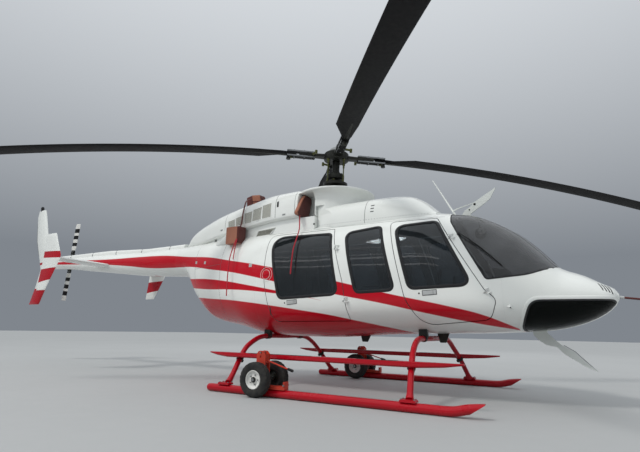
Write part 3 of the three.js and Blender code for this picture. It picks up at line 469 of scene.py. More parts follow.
def tube(path: Array | Sequence[Point], radius: float | Sequence[float], sides: int = 20) -> Form:
    """A round tube with filled ends along a line of points.

    Args:
        path: the points of its middle.
        radius: its radius, or one for each point.
        sides: corners of its section.

    Returns:
        The solid.
    """
    line = np.asarray(path, float)
    sizes = np.broadcast_to(np.asarray(radius, float), (len(line),))
    ahead = np.gradient(line, axis=0)
    ahead /= np.linalg.norm(ahead, axis=1, keepdims=True)
    start = np.array([0, 0, 1.0]) if abs(ahead[0][2]) < 0.9 else np.array([1.0, 0, 0])
    first = np.cross(ahead[0], start)
    rings = []
    for at, way, size in zip(line, ahead, sizes):
        first = first - way * (first @ way)
        first /= np.linalg.norm(first)
        second = np.cross(way, first)
        angle = turns(sides)
        rings.append(at + size * (np.cos(angle)[:, None] * first + np.sin(angle)[:, None] * second))
    return ringed(np.array(rings))


def rod(start: Point, end: Point, radius: float, end_radius: float | None = None, sides: int = 20) -> Form:
    """A round bar between two points."""
    last = radius if end_radius is None else end_radius
    return tube([start, end], [radius, last], sides)


def turned(profile: Sequence[Point], sides: int = 48) -> Form:
    """A turned solid about the z axis, from radius and z.

    Args:
        profile: radius and z of each corner, in order.
        sides: corners of its section.

    Returns:
        The solid.
    """
    angle = turns(sides)
    flat = np.array(profile, float)
    rings = np.stack([
        np.cos(angle)[:, None] * flat[:, 0], np.sin(angle)[:, None] * flat[:, 0],
        np.broadcast_to(flat[:, 1], (sides, len(flat))),
    ], axis=2)
    return ringed(rings, closed=True)


def capped(profile: Sequence[Point], sides: int = 48) -> Form:
    """A turned solid about the z axis whose profile starts and ends on the axis.

    Args:
        profile: radius and z of each corner, in order.
        sides: corners of its section.

    Returns:
        The solid.
    """
    inner = [p for p in profile if p[0] > 1e-6]
    angle = turns(sides)
    rings = np.array([[(r * math.cos(a), r * math.sin(a), z) for a in angle] for r, z in inner])
    return ringed(rings)


def bent(points: Sequence[Point], steps: int = 3) -> list[tuple[float, float]]:
    """A profile with each of its corners softened.

    Args:
        points: corners of the profile.
        steps: pieces that each corner is made of.

    Returns:
        The softened profile.
    """
    soft = [tuple(points[0])]
    for before, at, after in zip(points, points[1:], points[2:]):
        a, b, c = (np.array(p, float) for p in (before, at, after))
        cut = 0.28 * min(np.linalg.norm(a - b), np.linalg.norm(c - b))
        start = b + (a - b) / max(np.linalg.norm(a - b), 1e-9) * cut
        end = b + (c - b) / max(np.linalg.norm(c - b), 1e-9) * cut
        for t in np.linspace(0, 1, steps + 1):
            soft.append(tuple((1 - t) ** 2 * start + 2 * t * (1 - t) * b + t * t * end))
    soft.append(tuple(points[-1]))
    return soft


def aimed(form: Form, at: Point, up: Point) -> Form:
    """A form made about the z axis, stood at a point with its z axis along a direction."""
    turn = Vector((0, 0, 1)).rotation_difference(Vector(up).normalized()).to_matrix().to_4x4()
    return form.turned(Matrix.Translation(Vector(at)) @ turn)


@dataclass(frozen=True)
class Loft:
    """A body given by sections, each a rounded box whose corners follow two powers.

    The rows give x, bottom z, top z, half width, z of the full width, upper power and lower power.
    """

    rows: tuple[tuple[float, ...], ...]

    def at(self, x: Array | float) -> Array:
        """Every column's value at places along x, which never swings past the rows.

        Args:
            x: one place or an array of them.

        Returns:
            An array of the columns, one row for each place.
        """
        table = np.array(self.rows, float)
        places = np.atleast_1d(np.asarray(x, float))
        xs = table[:, 0]
        slopes = np.diff(table, axis=0) / np.diff(xs)[:, None]
        tangents = np.vstack([slopes[:1], np.zeros((len(xs) - 2, table.shape[1])), slopes[-1:]])
        before, after = slopes[:-1], slopes[1:]
        same = before * after > 0
        total = np.where(same, before + after, 1.0)
        tangents[1:-1] = np.where(same, 2 * before * after / total, 0.0)
        k = np.clip(np.searchsorted(xs, places, side="left") - 1, 0, len(xs) - 2)
        width = (xs[k + 1] - xs[k])[:, None]
        t = np.clip((places[:, None] - xs[k][:, None]) / width, 0, 1)
        return (
            (2 * t ** 3 - 3 * t ** 2 + 1) * table[k] + (t ** 3 - 2 * t ** 2 + t) * width * tangents[k]
            + (3 * t ** 2 - 2 * t ** 3) * table[k + 1] + (t ** 3 - t ** 2) * width * tangents[k + 1]
        )

    def solid(self, start: float, end: float, inset: float = 0.0, gap: float = 70.0, ring: int = 112) -> Form:
        """The closed body between two places along x, set in from its outer face.

        Args:
            start: lowest x.
            end: highest x.
            inset: how far inside the outer face it lies.
            gap: most that two sections stand apart.
            ring: points round a section.

        Returns:
            The solid.
        """
        places = {start, end}
        marks = [start] + [row[0] for row in self.rows if start < row[0] < end] + [end]
        for a, b in zip(marks, marks[1:]):
            parts = max(1, math.ceil((b - a) / gap))
            places.update(a + (b - a) * k / parts for k in range(parts))
        inner = sorted(x for x in places if x in (start, end) or start + 4 < x < end - 4)
        angle = turns(ring)
        cosine, sine = np.cos(angle), np.sin(angle)
        rings = []
        for _, bottom, top, half, wide, upper, lower in self.at(np.array(inner)):
            power = np.where(sine >= 0, upper, lower)
            height = np.where(sine >= 0, top - inset - wide, wide - bottom - inset)
            y = np.sign(cosine) * (half - inset) * np.abs(cosine) ** (2 / power)
            z = wide + np.sign(sine) * height * np.abs(sine) ** (2 / power)
            rings.append(np.stack([y, z], axis=1))
        stack = np.array(rings)
        xs = np.broadcast_to(np.array(inner)[:, None, None], stack.shape[:2] + (1,))
        return ringed(np.concatenate([xs, stack], axis=2))

    def half_width(self, x: Array | float, z: Array | float) -> Array:
        """Half the body's width at heights.

        Args:
            x: places along the body.
            z: heights.

        Returns:
            Half the width at each.
        """
        _, bottom, top, half, wide, upper, lower = self.at(x).T
        up = np.asarray(z) >= wide
        height = np.where(up, (z - wide) / (top - wide), (wide - z) / (wide - bottom))
        power = np.where(up, upper, lower)
        return half * np.maximum(0, 1 - np.clip(height, 0, 1) ** power) ** (1 / power)

    def crown(self, x: Array | float, y: Array | float) -> Array:
        """The height of the upper face at places across the body."""
        _, _, top, half, wide, upper, _ = self.at(x).T
        return wide + (top - wide) * np.maximum(0, 1 - (np.abs(y) / half) ** upper) ** (1 / upper)

    def on_side(self, points: Array | Sequence[Point], side: Side) -> Array:
        """Points of the side view laid on the skin.

        Args:
            points: x and z of each point.
            side: the side of the machine.

        Returns:
            The points on the skin.
        """
        flat = np.asarray(points, float)
        y = self.half_width(flat[:, 0], flat[:, 1]) * side.value
        return np.stack([flat[:, 0], y, flat[:, 1]], axis=1)

    def _level(self, points: Array) -> Array:
        """A value that is one on the skin, less inside it and more outside.

        Args:
            points: the points.

        Returns:
            The value at each point.
        """
        _, bottom, top, half, wide, upper, lower = self.at(points[:, 0]).T
        z = points[:, 2]
        up = z >= wide
        height = np.abs(np.where(up, (z - wide) / (top - wide), (wide - z) / (wide - bottom)))
        power = np.where(up, upper, lower)
        return ((np.abs(points[:, 1]) / half) ** power + height ** power) ** (1 / power)

    def normal(self, points: Array) -> Array:
        """The skin's outward direction at points near it.

        Args:
            points: the points.

        Returns:
            A direction of length one for each point.
        """
        step = 2.0
        slopes = []
        for axis in range(3):
            shift = np.zeros(3)
            shift[axis] = step
            slopes.append(self._level(points + shift) - self._level(points - shift))
        way = np.stack(slopes, axis=1)
        return way / np.maximum(np.linalg.norm(way, axis=1, keepdims=True), 1e-12)


def welt(path: Array, loft: Loft, profile: Sequence[Point], closed: bool = True) -> Form:
    """A strip that follows a line on the skin.

    Args:
        path: points of the line, on the skin.
        loft: the body that it lies on.
        profile: its section, as places across the line and heights over the skin.
        closed: the line ends where it starts.

    Returns:
        The strip as one closed form.
    """
    normal = loft.normal(path)
    if closed:
        ahead = np.roll(path, -1, axis=0) - np.roll(path, 1, axis=0)
    else:
        ahead = np.gradient(path, axis=0)
    ahead /= np.maximum(np.linalg.norm(ahead, axis=1, keepdims=True), 1e-9)
    aside = np.cross(ahead, normal)
    aside /= np.maximum(np.linalg.norm(aside, axis=1, keepdims=True), 1e-9)
    flat = np.array(profile, float)
    rings = path[:, None, :] + aside[:, None, :] * flat[None, :, :1] + normal[:, None, :] * flat[None, :, 1:]
    return ringed(rings, closed=closed).outward()


def patch(corners: Sequence[Point], loft: Loft, side: Side, lift: float, thick: float,
          count: int = 10) -> Form:
    """A thin four-cornered plate laid on the side of a body.

    Args:
        corners: its corners in the side view, in order.
        loft: the body that it lies on.
        side: the side of the machine.
        lift: height of its outer face over the skin.
        thick: its thickness.
        count: pieces along each edge.

    Returns:
        The plate as one closed form.
    """
    a, b, c, d = (np.array(corner, float) for corner in corners)
    u, v = np.meshgrid(np.linspace(0, 1, count + 1), np.linspace(0, 1, count + 1))
    u, v = u.reshape(-1, 1), v.reshape(-1, 1)
    flat = (1 - v) * ((1 - u) * a + u * b) + v * ((1 - u) * d + u * c)
    skin = loft.on_side(flat, side)
    normal = loft.normal(skin)
    upper, under = skin + normal * lift, skin + normal * (lift - thick)
    n = count + 1
    faces = []
    for j in range(count):
        for i in range(count):
            quad = (j * n + i, j * n + i + 1, (j + 1) * n + i + 1, (j + 1) * n + i)
            faces += [quad, tuple(q + n * n for q in quad[::-1])]
    rim = [i for i in range(n)] + [j * n + n - 1 for j in range(1, n)]
    rim += [(n - 1) * n + i for i in range(n - 2, -1, -1)] + [j * n for j in range(n - 2, 0, -1)]
    for i, j in zip(rim, rim[1:] + rim[:1]):
        faces.append((j, i, i + n * n, j + n * n))
    return Form(np.vstack([upper, under]), faces).outward()


def studs(points: Array, ways: Array, radius: float, height: float, sides: int = 6) -> Form:
    """Small round heads at points, each standing along its own direction.

    Args:
        points: where they stand.
        ways: their directions.
        radius: their radius.
        height: how far they stand out.
        sides: corners of its section.

    Returns:
        The heads as one form.
    """
    head = [(radius, -0.4), (radius * 0.8, height * 0.7), (radius * 0.3, height)]
    one = capped(head, sides)
    return gathered(aimed(one, at, way) for at, way in zip(points, ways))


class Nodes:
    """A short way to write the nodes of one material or group."""

    def __init__(self, tree: bpy.types.NodeTree) -> None:
        """Work in a node tree."""
        self.tree = tree

    def add(self, kind: str, **values: object) -> bpy.types.Node:
        """A new node with its options set.

        Args:
            kind: the node's type.
            values: its options.

        Returns:
            The node.
        """
        node = self.tree.nodes.new(kind)
        for name, value in values.items():
            setattr(node, name, value)
        return node

    @staticmethod
    def fill(node: bpy.types.Node, **values: float) -> bpy.types.Node:
        """A node with plain values on its inputs, an underscore standing for a space.

        Args:
            node: the node.
            values: the inputs' names and values.

        Returns:
            The node.
        """
        for name, value in values.items():
            node.inputs[name.replace("_", " ")].default_value = value
        return node

    def group(self, tree: bpy.types.NodeTree, **values: float) -> bpy.types.Node:
        """A shared group placed here with its own values."""
        return self.fill(self.add("ShaderNodeGroup", node_tree=tree), **values)

    def bump(self, height: object, strength: float, distance: float, shader: bpy.types.Node) -> None:
        """Give a shader the fine relief of a height.

        Args:
            height: the height's socket.
            strength: how strong it is.
            distance: the height's size in metres.
            shader: the shader that takes it.
        """
        node = self.fill(self.add("ShaderNodeBump"), Strength=strength, Distance=distance)
        self.link(height, node.inputs["Height"])
        self.link(node.outputs["Normal"], shader.inputs["Normal"])

    def link(self, source: object, target: object) -> None:
        """Join a value, colour or socket to an input socket.

        Args:
            source: the value, colour or socket.
            target: the input socket.
        """
        if isinstance(source, bpy.types.NodeSocket):
            self.tree.links.new(source, target)
        else:
            target.default_value = source

    def math(self, kind: str, *values: object, clamp: bool = False) -> bpy.types.NodeSocket:
        """One Math node's result.

        Args:
            kind: the operation.
            values: its inputs.
            clamp: the result stays between nought and one.

        Returns:
            The result's socket.
        """
        node = self.add("ShaderNodeMath", operation=kind, use_clamp=clamp)
        for value, socket in zip(values, node.inputs):
            self.link(value, socket)
        return node.outputs[0]

    def mix(self, amount: object, first: object, second: object) -> bpy.types.NodeSocket:
        """A colour between two.

        Args:
            amount: the share of the second.
            first: the first colour.
            second: the second colour.

        Returns:
            The result's socket.
        """
        node = self.add("ShaderNodeMix", data_type="RGBA")
        self.link(amount, node.inputs["Factor"])
        self.link(first, node.inputs["A"])
        self.link(second, node.inputs["B"])
        return next(out for out in node.outputs if out.type == "RGBA")

    def noise(self, vector: object, scale: object, detail: float) -> bpy.types.NodeSocket:
        """A noise value.

        Args:
            vector: the place.
            scale: the noise's scale.
            detail: its octaves.

        Returns:
            The result's socket.
        """
        node = self.fill(self.add("ShaderNodeTexNoise"), Detail=detail)
        self.link(vector, node.inputs["Vector"])
        self.link(scale, node.inputs["Scale"])
        return node.outputs["Fac"]

    def ramp(self, value: object, low: float, high: float) -> bpy.types.NodeSocket:
        """A value spread from nought to one between two limits.

        Args:
            value: the value.
            low: the limit that gives nought.
            high: the limit that gives one.

        Returns:
            The result's socket.
        """
        node = self.fill(self.add("ShaderNodeMapRange"), From_Min=low, From_Max=high)
        self.link(value, node.inputs["Value"])
        return node.outputs["Result"]

    def place(self) -> bpy.types.NodeSocket:
        """The place on the object, in metres."""
        return self.add("ShaderNodeTexCoord").outputs["Object"]

    def split(self, vector: object) -> list[bpy.types.NodeSocket]:
        """The three parts of a vector.

        Args:
            vector: the vector.

        Returns:
            The sockets of x, y and z.
        """
        node = self.add("ShaderNodeSeparateXYZ")
        self.link(vector, node.inputs[0])
        return list(node.outputs)


def node_group(name: str, inputs: dict[str, float], outputs: Sequence[str]) -> tuple[Nodes, dict, dict]:
    """A new shader node group with value inputs and outputs.

    Args:
        name: the group's name.
        inputs: its inputs with their usual values.
        outputs: its outputs.

    Returns:
        Its nodes, the inner sockets of its inputs, and those of its outputs.
    """
    tree = bpy.data.node_groups.new(name, "ShaderNodeTree")
    for label, value in inputs.items():
        tree.interface.new_socket(label, in_out="INPUT", socket_type="NodeSocketFloat").default_value = value
    for label in outputs:
        tree.interface.new_socket(label, in_out="OUTPUT", socket_type="NodeSocketFloat")
    nodes = Nodes(tree)
    given = nodes.add("NodeGroupInput").outputs
    taken = nodes.add("NodeGroupOutput").inputs
    return nodes, {label: given[label] for label in inputs}, {label: taken[label] for label in outputs}


# Lines of the paint scheme, as x from the mast and z, in metres
MAIN_TOP = [(-6.6, 1.92), (-5.3, 1.88), (-4.36, 1.846), (-3.66, 1.833), (-3.0, 1.804), (-2.334, 1.724),
            (-1.774, 1.657), (-1.292, 1.566), (-0.890, 1.493), (-0.518, 1.417), (0.382, 1.212),
            (1.032, 1.052), (1.629, 0.920), (1.892, 0.851), (2.169, 0.735), (2.26, 0.69)]
MAIN_LOW = [(-6.6, 1.88), (-5.44, 1.814), (-4.94, 1.782), (-4.47, 1.744), (-3.9, 1.686), (-3.4, 1.627),
            (-2.301, 1.567), (-1.719, 1.477), (-1.251, 1.405), (-0.858, 1.327), (-0.464, 1.240),
            (0.398, 1.061), (0.917, 0.961), (1.421, 0.849), (1.867, 0.759), (2.197, 0.704), (2.26, 0.69)]
SECOND_TOP = [(-3.4, 1.52), (-2.343, 1.394), (-1.702, 1.338), (-1.297, 1.284), (-0.934, 1.222),
              (-0.441, 1.132), (-0.007, 1.048), (0.206, 0.999)]
SECOND_LOW = [(-3.4, 1.40), (-2.343, 1.262), (-1.722, 1.200), (-1.292, 1.176), (-0.928, 1.149),
              (-0.439, 1.095), (-0.007, 1.04), (0.206, 0.999)]
BELLY_TOP = [(-6.6, 1.1), (-3.2, 1.15), (-2.3, 1.12), (-1.637, 1.068), (-1.249, 1.039), (-0.842, 0.995),
             (-0.551, 0.959), (-0.087, 0.896), (0.295, 0.840), (0.513, 0.798), (0.835, 0.733), (1.089, 0.675),
             (1.3, 0.60)]


class Paint:
    """The red bands of the paint scheme, as a shader group that gives one mask."""

    LOW_X, HIGH_X = -5.2, 4.8
    LOW_Z, HIGH_Z = 0.4, 3.4

    def __init__(self) -> None:
        """Build the group."""
        nodes, given, taken = node_group("red_bands", {"Softness": 0.004}, ["Red"])
        x, _, z = nodes.split(nodes.place())
        self.nodes, self.x, self.z, self.soft = nodes, x, z, given["Softness"]
        main = self.between(MAIN_LOW, MAIN_TOP)
        second = self.between(SECOND_LOW, SECOND_TOP)
        belly = nodes.math("SUBTRACT", 1.0, self.over(BELLY_TOP), clamp=True)
        both = nodes.math("MAXIMUM", main, second)
        nodes.link(nodes.math("MAXIMUM", both, belly, clamp=True), taken["Red"])
        self.tree = nodes.tree

    def over(self, line: Sequence[Point]) -> bpy.types.NodeSocket:
        """A mask of what lies over a line of the side view.

        Args:
            line: x and z of its points, in metres.

        Returns:
            The result's socket.
        """
        curve = self.nodes.add("ShaderNodeFloatCurve")
        spots = [((x + MAST - self.LOW_X) / (self.HIGH_X - self.LOW_X),
                  (z - self.LOW_Z) / (self.HIGH_Z - self.LOW_Z))
                 for x, z in line]
        points = curve.mapping.curves[0].points
        while len(points) < len(spots):
            points.new(0.5, 0.5)
        for point, (u, v) in zip(points, spots):
            point.location = (u, v)
            point.handle_type = "AUTO_CLAMPED"
        curve.mapping.update()
        self.nodes.link(self.nodes.ramp(self.x, self.LOW_X, self.HIGH_X), curve.inputs["Value"])
        level = self.nodes.math("MULTIPLY_ADD", curve.outputs[0], self.HIGH_Z - self.LOW_Z, self.LOW_Z)
        rise = self.nodes.math("SUBTRACT", self.z, level)
        return self.nodes.math("MULTIPLY_ADD", self.nodes.math("DIVIDE", rise, self.soft), 0.5, 0.5,
                               clamp=True)

    def between(self, low: Sequence[Point], top: Sequence[Point]) -> bpy.types.NodeSocket:
        """A mask of the band between two lines, no longer than they are.

        Args:
            low: the lower line.
            top: the upper line.

        Returns:
            The result's socket.
        """
        nodes = self.nodes
        band = nodes.math("MULTIPLY", self.over(low), nodes.math("SUBTRACT", 1.0, self.over(top), clamp=True))
        ends = nodes.math("MULTIPLY", nodes.math("GREATER_THAN", self.x, low[0][0] + MAST),
                          nodes.math("LESS_THAN", self.x, low[-1][0] + MAST))
        return nodes.math("MULTIPLY", band, ends)


class Effects:
    """The shader groups that more than one finish uses."""

    def __init__(self) -> None:
        """Build every group once."""
        self.bands = Paint().tree
        self.grime = self.make_grime()
        self.weave = self.make_weave()
        self.wire = self.make_wire()

    @staticmethod
    def make_grime() -> bpy.types.NodeTree:
        """Uneven dirt and handling marks, as a tint mask, a gloss mask and a fine height.

        Returns:
            The group's node tree.
        """
        nodes, given, taken = node_group("grime", {"Scale": 3.0, "Fine": 60.0}, ["Tint", "Gloss", "Height"])
        at = nodes.place()
        wide, fine = (nodes.noise(at, given[scale], 5) for scale in ("Scale", "Fine"))
        nodes.link(nodes.ramp(wide, 0.38, 0.72), taken["Tint"])
        blend = nodes.math("MULTIPLY_ADD", fine, 0.5, nodes.math("MULTIPLY", wide, 0.5))
        nodes.link(nodes.ramp(blend, 0.3, 0.7), taken["Gloss"])
        nodes.link(fine, taken["Height"])
        return nodes.tree

    @staticmethod
    def make_weave() -> bpy.types.NodeTree:
        """A plain weave, as a shade and a height.

        Returns:
            The group's node tree.
        """
        nodes, given, taken = node_group("weave", {"Threads": 900.0}, ["Shade", "Height"])
        x, y, z = nodes.split(nodes.place())
        first = nodes.math("SINE", nodes.math("MULTIPLY", nodes.math("ADD", x, z), given["Threads"]))
        second = nodes.math("SINE", nodes.math("MULTIPLY", nodes.math("SUBTRACT", y, z), given["Threads"]))
        both = nodes.math("MULTIPLY", first, second)
        nodes.link(nodes.ramp(both, -1, 1), taken["Shade"])
        nodes.link(nodes.ramp(both, -0.6, 0.9), taken["Height"])
        return nodes.tree

    @staticmethod
    def make_wire() -> bpy.types.NodeTree:
        """Wire mesh seen from the side, as a mask of its open squares.

        Returns:
            The group's node tree.
        """
        nodes, given, taken = node_group("wire_mesh", {"Wires": 700.0}, ["Open"])
        x, _, z = nodes.split(nodes.place())
        waves = [nodes.math("ABSOLUTE", nodes.math("SINE", nodes.math("MULTIPLY", part, given["Wires"])))
                 for part in (x, z)]
        nodes.link(nodes.ramp(nodes.math("MULTIPLY", *waves), 0.25, 0.5), taken["Open"])
        return nodes.tree


def started(name: str) -> tuple[bpy.types.Material, Nodes, bpy.types.Node]:
    """A new material with its nodes and its shader.

    Args:
        name: the material's name.

    Returns:
        The material, its nodes and its shader.
    """
    material = bpy.data.materials.new(name)
    material.use_nodes = True
    return material, Nodes(material.node_tree), material.node_tree.nodes["Principled BSDF"]


class Look(Enum):
    """Which extra effect a finish carries."""

    PLAIN = "plain"
    BANDS = "bands"
    WEAVE = "weave"
    WIRE = "wire"


@dataclass(frozen=True)
class Finish:
    """One finish: its colours, its gloss and the effects that break it up."""

    name: str
    slot: str
    colour: tuple[float, float, float]
    worn: tuple[float, float, float]
    rough: float = 0.4
    rough_spread: float = 0.15
    metal: float = 0.0
    coat: float = 0.0
    sheen: float = 0.0
    shine: float = 0.5
    look: Look = Look.PLAIN
    second: tuple[float, float, float] = (0.5, 0.01, 0.02)
    scale: float = 3.0
    fine: float = 60.0
    dirt: float = 0.35
    bump: float = 0.02
    bump_height: float = 0.001
    threads: float = 900.0

    def build(self, effects: Effects) -> bpy.types.Material:
        """The finish as a Blender material.

        Args:
            effects: the shared shader groups.

        Returns:
            The material.
        """
        material, nodes, shader = started(self.name)
        nodes.fill(shader, Metallic=self.metal, Specular_IOR_Level=self.shine, Coat_Weight=self.coat,
                   Coat_Roughness=0.06, Sheen_Weight=self.sheen, Sheen_Roughness=0.5)
        grime = nodes.group(effects.grime, Scale=self.scale, Fine=self.fine)
        tint = nodes.math("MULTIPLY", grime.outputs["Tint"], self.dirt)
        base: object = nodes.mix(tint, (*self.colour, 1), (*self.worn, 1))
        height = grime.outputs["Height"]
        if self.look is Look.BANDS:
            bands = nodes.group(effects.bands)
            red = nodes.mix(tint, (*self.second, 1), (*(0.8 * c for c in self.second), 1))
            base = nodes.mix(bands.outputs["Red"], base, red)
            coat = nodes.math("MULTIPLY_ADD", bands.outputs["Red"], -0.8 * self.coat, self.coat)
            nodes.link(coat, shader.inputs["Coat Weight"])
        if self.look is Look.WEAVE:
            weave = nodes.group(effects.weave, Threads=self.threads)
            shade = nodes.math("MULTIPLY_ADD", weave.outputs["Shade"], 0.5, 0.2)
            base = nodes.mix(shade, base, (*self.second, 1))
            height = weave.outputs["Height"]
        # Wire mesh: the open squares take the second colour, painted shade seen through the holes.
        if self.look is Look.WIRE:
            wire = nodes.group(effects.wire, Wires=self.threads)
            base = nodes.mix(wire.outputs["Open"], base, (*self.second, 1))
        nodes.link(base, shader.inputs["Base Color"])
        rough = nodes.math("MULTIPLY_ADD", grime.outputs["Gloss"], self.rough_spread, self.rough)
        nodes.link(rough, shader.inputs["Roughness"])
        nodes.bump(height, self.bump, self.bump_height, shader)
        return material


@dataclass(frozen=True)
class Glazing:
    """Tinted clear acrylic."""

    name: str
    slot: str
    tint: tuple[float, float, float]
    clear: float = 0.92
    index: float = 1.49
    waves: float = 3.2
    wave_height: float = 0.004

    def build(self, effects: Effects) -> bpy.types.Material:
        """The glazing as a Blender material, with the smears and faint waves of a blown pane.

        Args:
            effects: the shared shader groups.

        Returns:
            The material.
        """
        material, nodes, shader = started(self.name)
        nodes.fill(shader, Transmission_Weight=self.clear, IOR=self.index)
        grime = nodes.group(effects.grime, Scale=5, Fine=40)
        darker = (*(0.75 * c for c in self.tint), 1)
        nodes.link(nodes.mix(grime.outputs["Tint"], (*self.tint, 1), darker), shader.inputs["Base Color"])
        nodes.link(nodes.math("MULTIPLY_ADD", grime.outputs["Gloss"], 0.03, 0.01), shader.inputs["Roughness"])
        nodes.bump(nodes.noise(nodes.place(), self.waves, 1.0), 0.5, self.wave_height, shader)
        return material


RED = (0.50, 0.003, 0.014)
FINISHES: dict[str, Finish | Glazing] = {item.name: item for item in (
    Finish("hull_paint", "white_paint", (0.80, 0.82, 0.79), (0.70, 0.72, 0.68), 0.16, 0.12, coat=0.5,
           shine=0.3, look=Look.BANDS, second=RED, scale=1.6, fine=9, bump=0.15, bump_height=0.0006),
    Finish("white_gloss", "white_paint", (0.80, 0.82, 0.79), (0.70, 0.72, 0.68), 0.16, 0.12, coat=0.5,
           scale=1.6, fine=9, bump=0.15, bump_height=0.0006),
    # A darker copy of the body's red: painted shade for the gear low under the body, also worn by the tail's
    # red bands.
    Finish("red_gloss_shaded", "red_paint", (0.42, 0.003, 0.012), (0.26, 0.003, 0.010), 0.22, 0.15, coat=0.25,
           scale=2, fine=12, bump=0.1, shine=0.25),
    Finish("orange_enamel", "orange_paint", (0.52, 0.04, 0.018), (0.3, 0.03, 0.015), 0.35, 0.2, scale=9,
           fine=70, dirt=0.6, bump=0.2),
    Finish("cabin_lining", "white_paint", (0.30, 0.31, 0.31), (0.24, 0.25, 0.25), 0.6, 0.2, scale=6, fine=300,
           bump=0.4, bump_height=0.0004),
    # Black rubber, and the painted shade of slots, vents, drains and keyholes.
    Finish("rubber_and_hole_shade", "tyre_rubber", (0.008, 0.008, 0.009), (0.02, 0.02, 0.021), 0.32, 0.2, scale=8,
           fine=120),
    Finish("blade_coat", "blade_black", (0.006, 0.006, 0.007), (0.014, 0.014, 0.015), 0.5, 0.2, scale=2,
           fine=30, dirt=0.6, bump=0.2, shine=0.2),
    Finish("cutter_paint", "white_paint", (0.66, 0.69, 0.66), (0.50, 0.52, 0.50), 0.35, 0.2, scale=5, fine=40,
           bump=0.1),
    Finish("oily_metal", "rotor_metal", (0.030, 0.031, 0.026), (0.012, 0.012, 0.010), 0.3, 0.3, metal=0.6,
           scale=14, fine=90, dirt=0.9, bump=0.25),
    Finish("dark_fitting", "rotor_metal", (0.014, 0.014, 0.013), (0.032, 0.032, 0.022), 0.3, 0.3, metal=0.4,
           scale=16, fine=90, dirt=0.8, bump=0.25),
    Finish("bright_metal", "rotor_metal", (0.34, 0.35, 0.35), (0.18, 0.18, 0.18), 0.25, 0.2, metal=0.9,
           scale=14, fine=120, bump=0.1),
    Finish("primer_green", "rotor_metal", (0.085, 0.09, 0.022), (0.04, 0.043, 0.016), 0.4, 0.2, metal=0.2,
           scale=18, fine=90, dirt=0.7, bump=0.2),
    Finish("tyre", "tyre_rubber", (0.016, 0.016, 0.016), (0.07, 0.065, 0.055), 0.7, 0.2, scale=18, fine=200,
           dirt=0.5, bump=0.5),
    Finish("rim_enamel", "wheel_white", (0.74, 0.74, 0.71), (0.42, 0.41, 0.37), 0.3, 0.25, scale=14, fine=60,
           dirt=0.5, bump=0.15),
    Finish("seat_weave", "seat_cloth", (0.16, 0.18, 0.17), (0.10, 0.115, 0.11), 0.85, 0.1, sheen=0.3,
           look=Look.WEAVE, second=(0.08, 0.09, 0.085), bump=0.7, bump_height=0.0006),
    Finish("panel_moulding", "panel_plastic", (0.02, 0.02, 0.021), (0.035, 0.035, 0.036), 0.55, 0.2, scale=10,
           fine=500, bump=0.5, bump_height=0.0003),
    Finish("dial_face", "panel_plastic", (0.01, 0.012, 0.014), (0.02, 0.022, 0.025), 0.12, 0.1, coat=0.6,
           scale=10, fine=300),
    Finish("silver_trim", "rotor_metal", (0.60, 0.61, 0.60), (0.42, 0.43, 0.42), 0.35, 0.2, metal=0.5,
           scale=14, fine=150),
    Finish("grey_trim", "rotor_metal", (0.28, 0.29, 0.29), (0.2, 0.2, 0.2), 0.4, 0.2, metal=0.3, scale=14,
           fine=150),
    Finish("line_shadow", "tyre_rubber", (0.10, 0.105, 0.105), (0.05, 0.05, 0.05), 0.6, 0.2, scale=10,
           fine=60),
    # Mesh screens: the second colour is the painted shade in the open squares.
    Finish("mesh_screen", "rotor_metal", (0.56, 0.56, 0.50), (0.44, 0.44, 0.39), 0.5, 0.2, metal=0.1,
           look=Look.WIRE, second=(0.22, 0.22, 0.195), threads=520.0),
    Finish("cover_cloth", "cover_vinyl", (0.115, 0.018, 0.013), (0.06, 0.011, 0.009), 0.5, 0.2, sheen=0.1,
           look=Look.WEAVE, second=(0.07, 0.012, 0.009), scale=9, bump=0.5, bump_height=0.0006,
           threads=1400.0),
    # A lit copy of the cover cloth: tan painted sunlight on the covers' faces that face the light.
    Finish("cover_cloth_lit", "cover_vinyl", (0.44, 0.17, 0.10), (0.30, 0.10, 0.06), 0.6, 0.2, sheen=0.1,
           look=Look.WEAVE, second=(0.28, 0.12, 0.08), scale=9, bump=0.5, bump_height=0.0006, threads=1400.0),
    Finish("streamer_tape", "streamer_red", (0.52, 0.008, 0.025), (0.36, 0.01, 0.02), 0.6, 0.2, sheen=0.2,
           look=Look.WEAVE, second=(0.38, 0.006, 0.02), bump=0.5, threads=2200.0),
    Finish("floor_cast", "white_paint", (0.42, 0.43, 0.43), (0.38, 0.39, 0.39), 0.7, 0.2, scale=0.5, fine=6),
    Glazing("cabin_glass", "glazing", (0.16, 0.19, 0.21)),
    Glazing("screen_glass", "glazing", (0.36, 0.365, 0.37)),
    Glazing("chin_glass", "glazing", (0.05, 0.06, 0.055), index=1.14),
)}


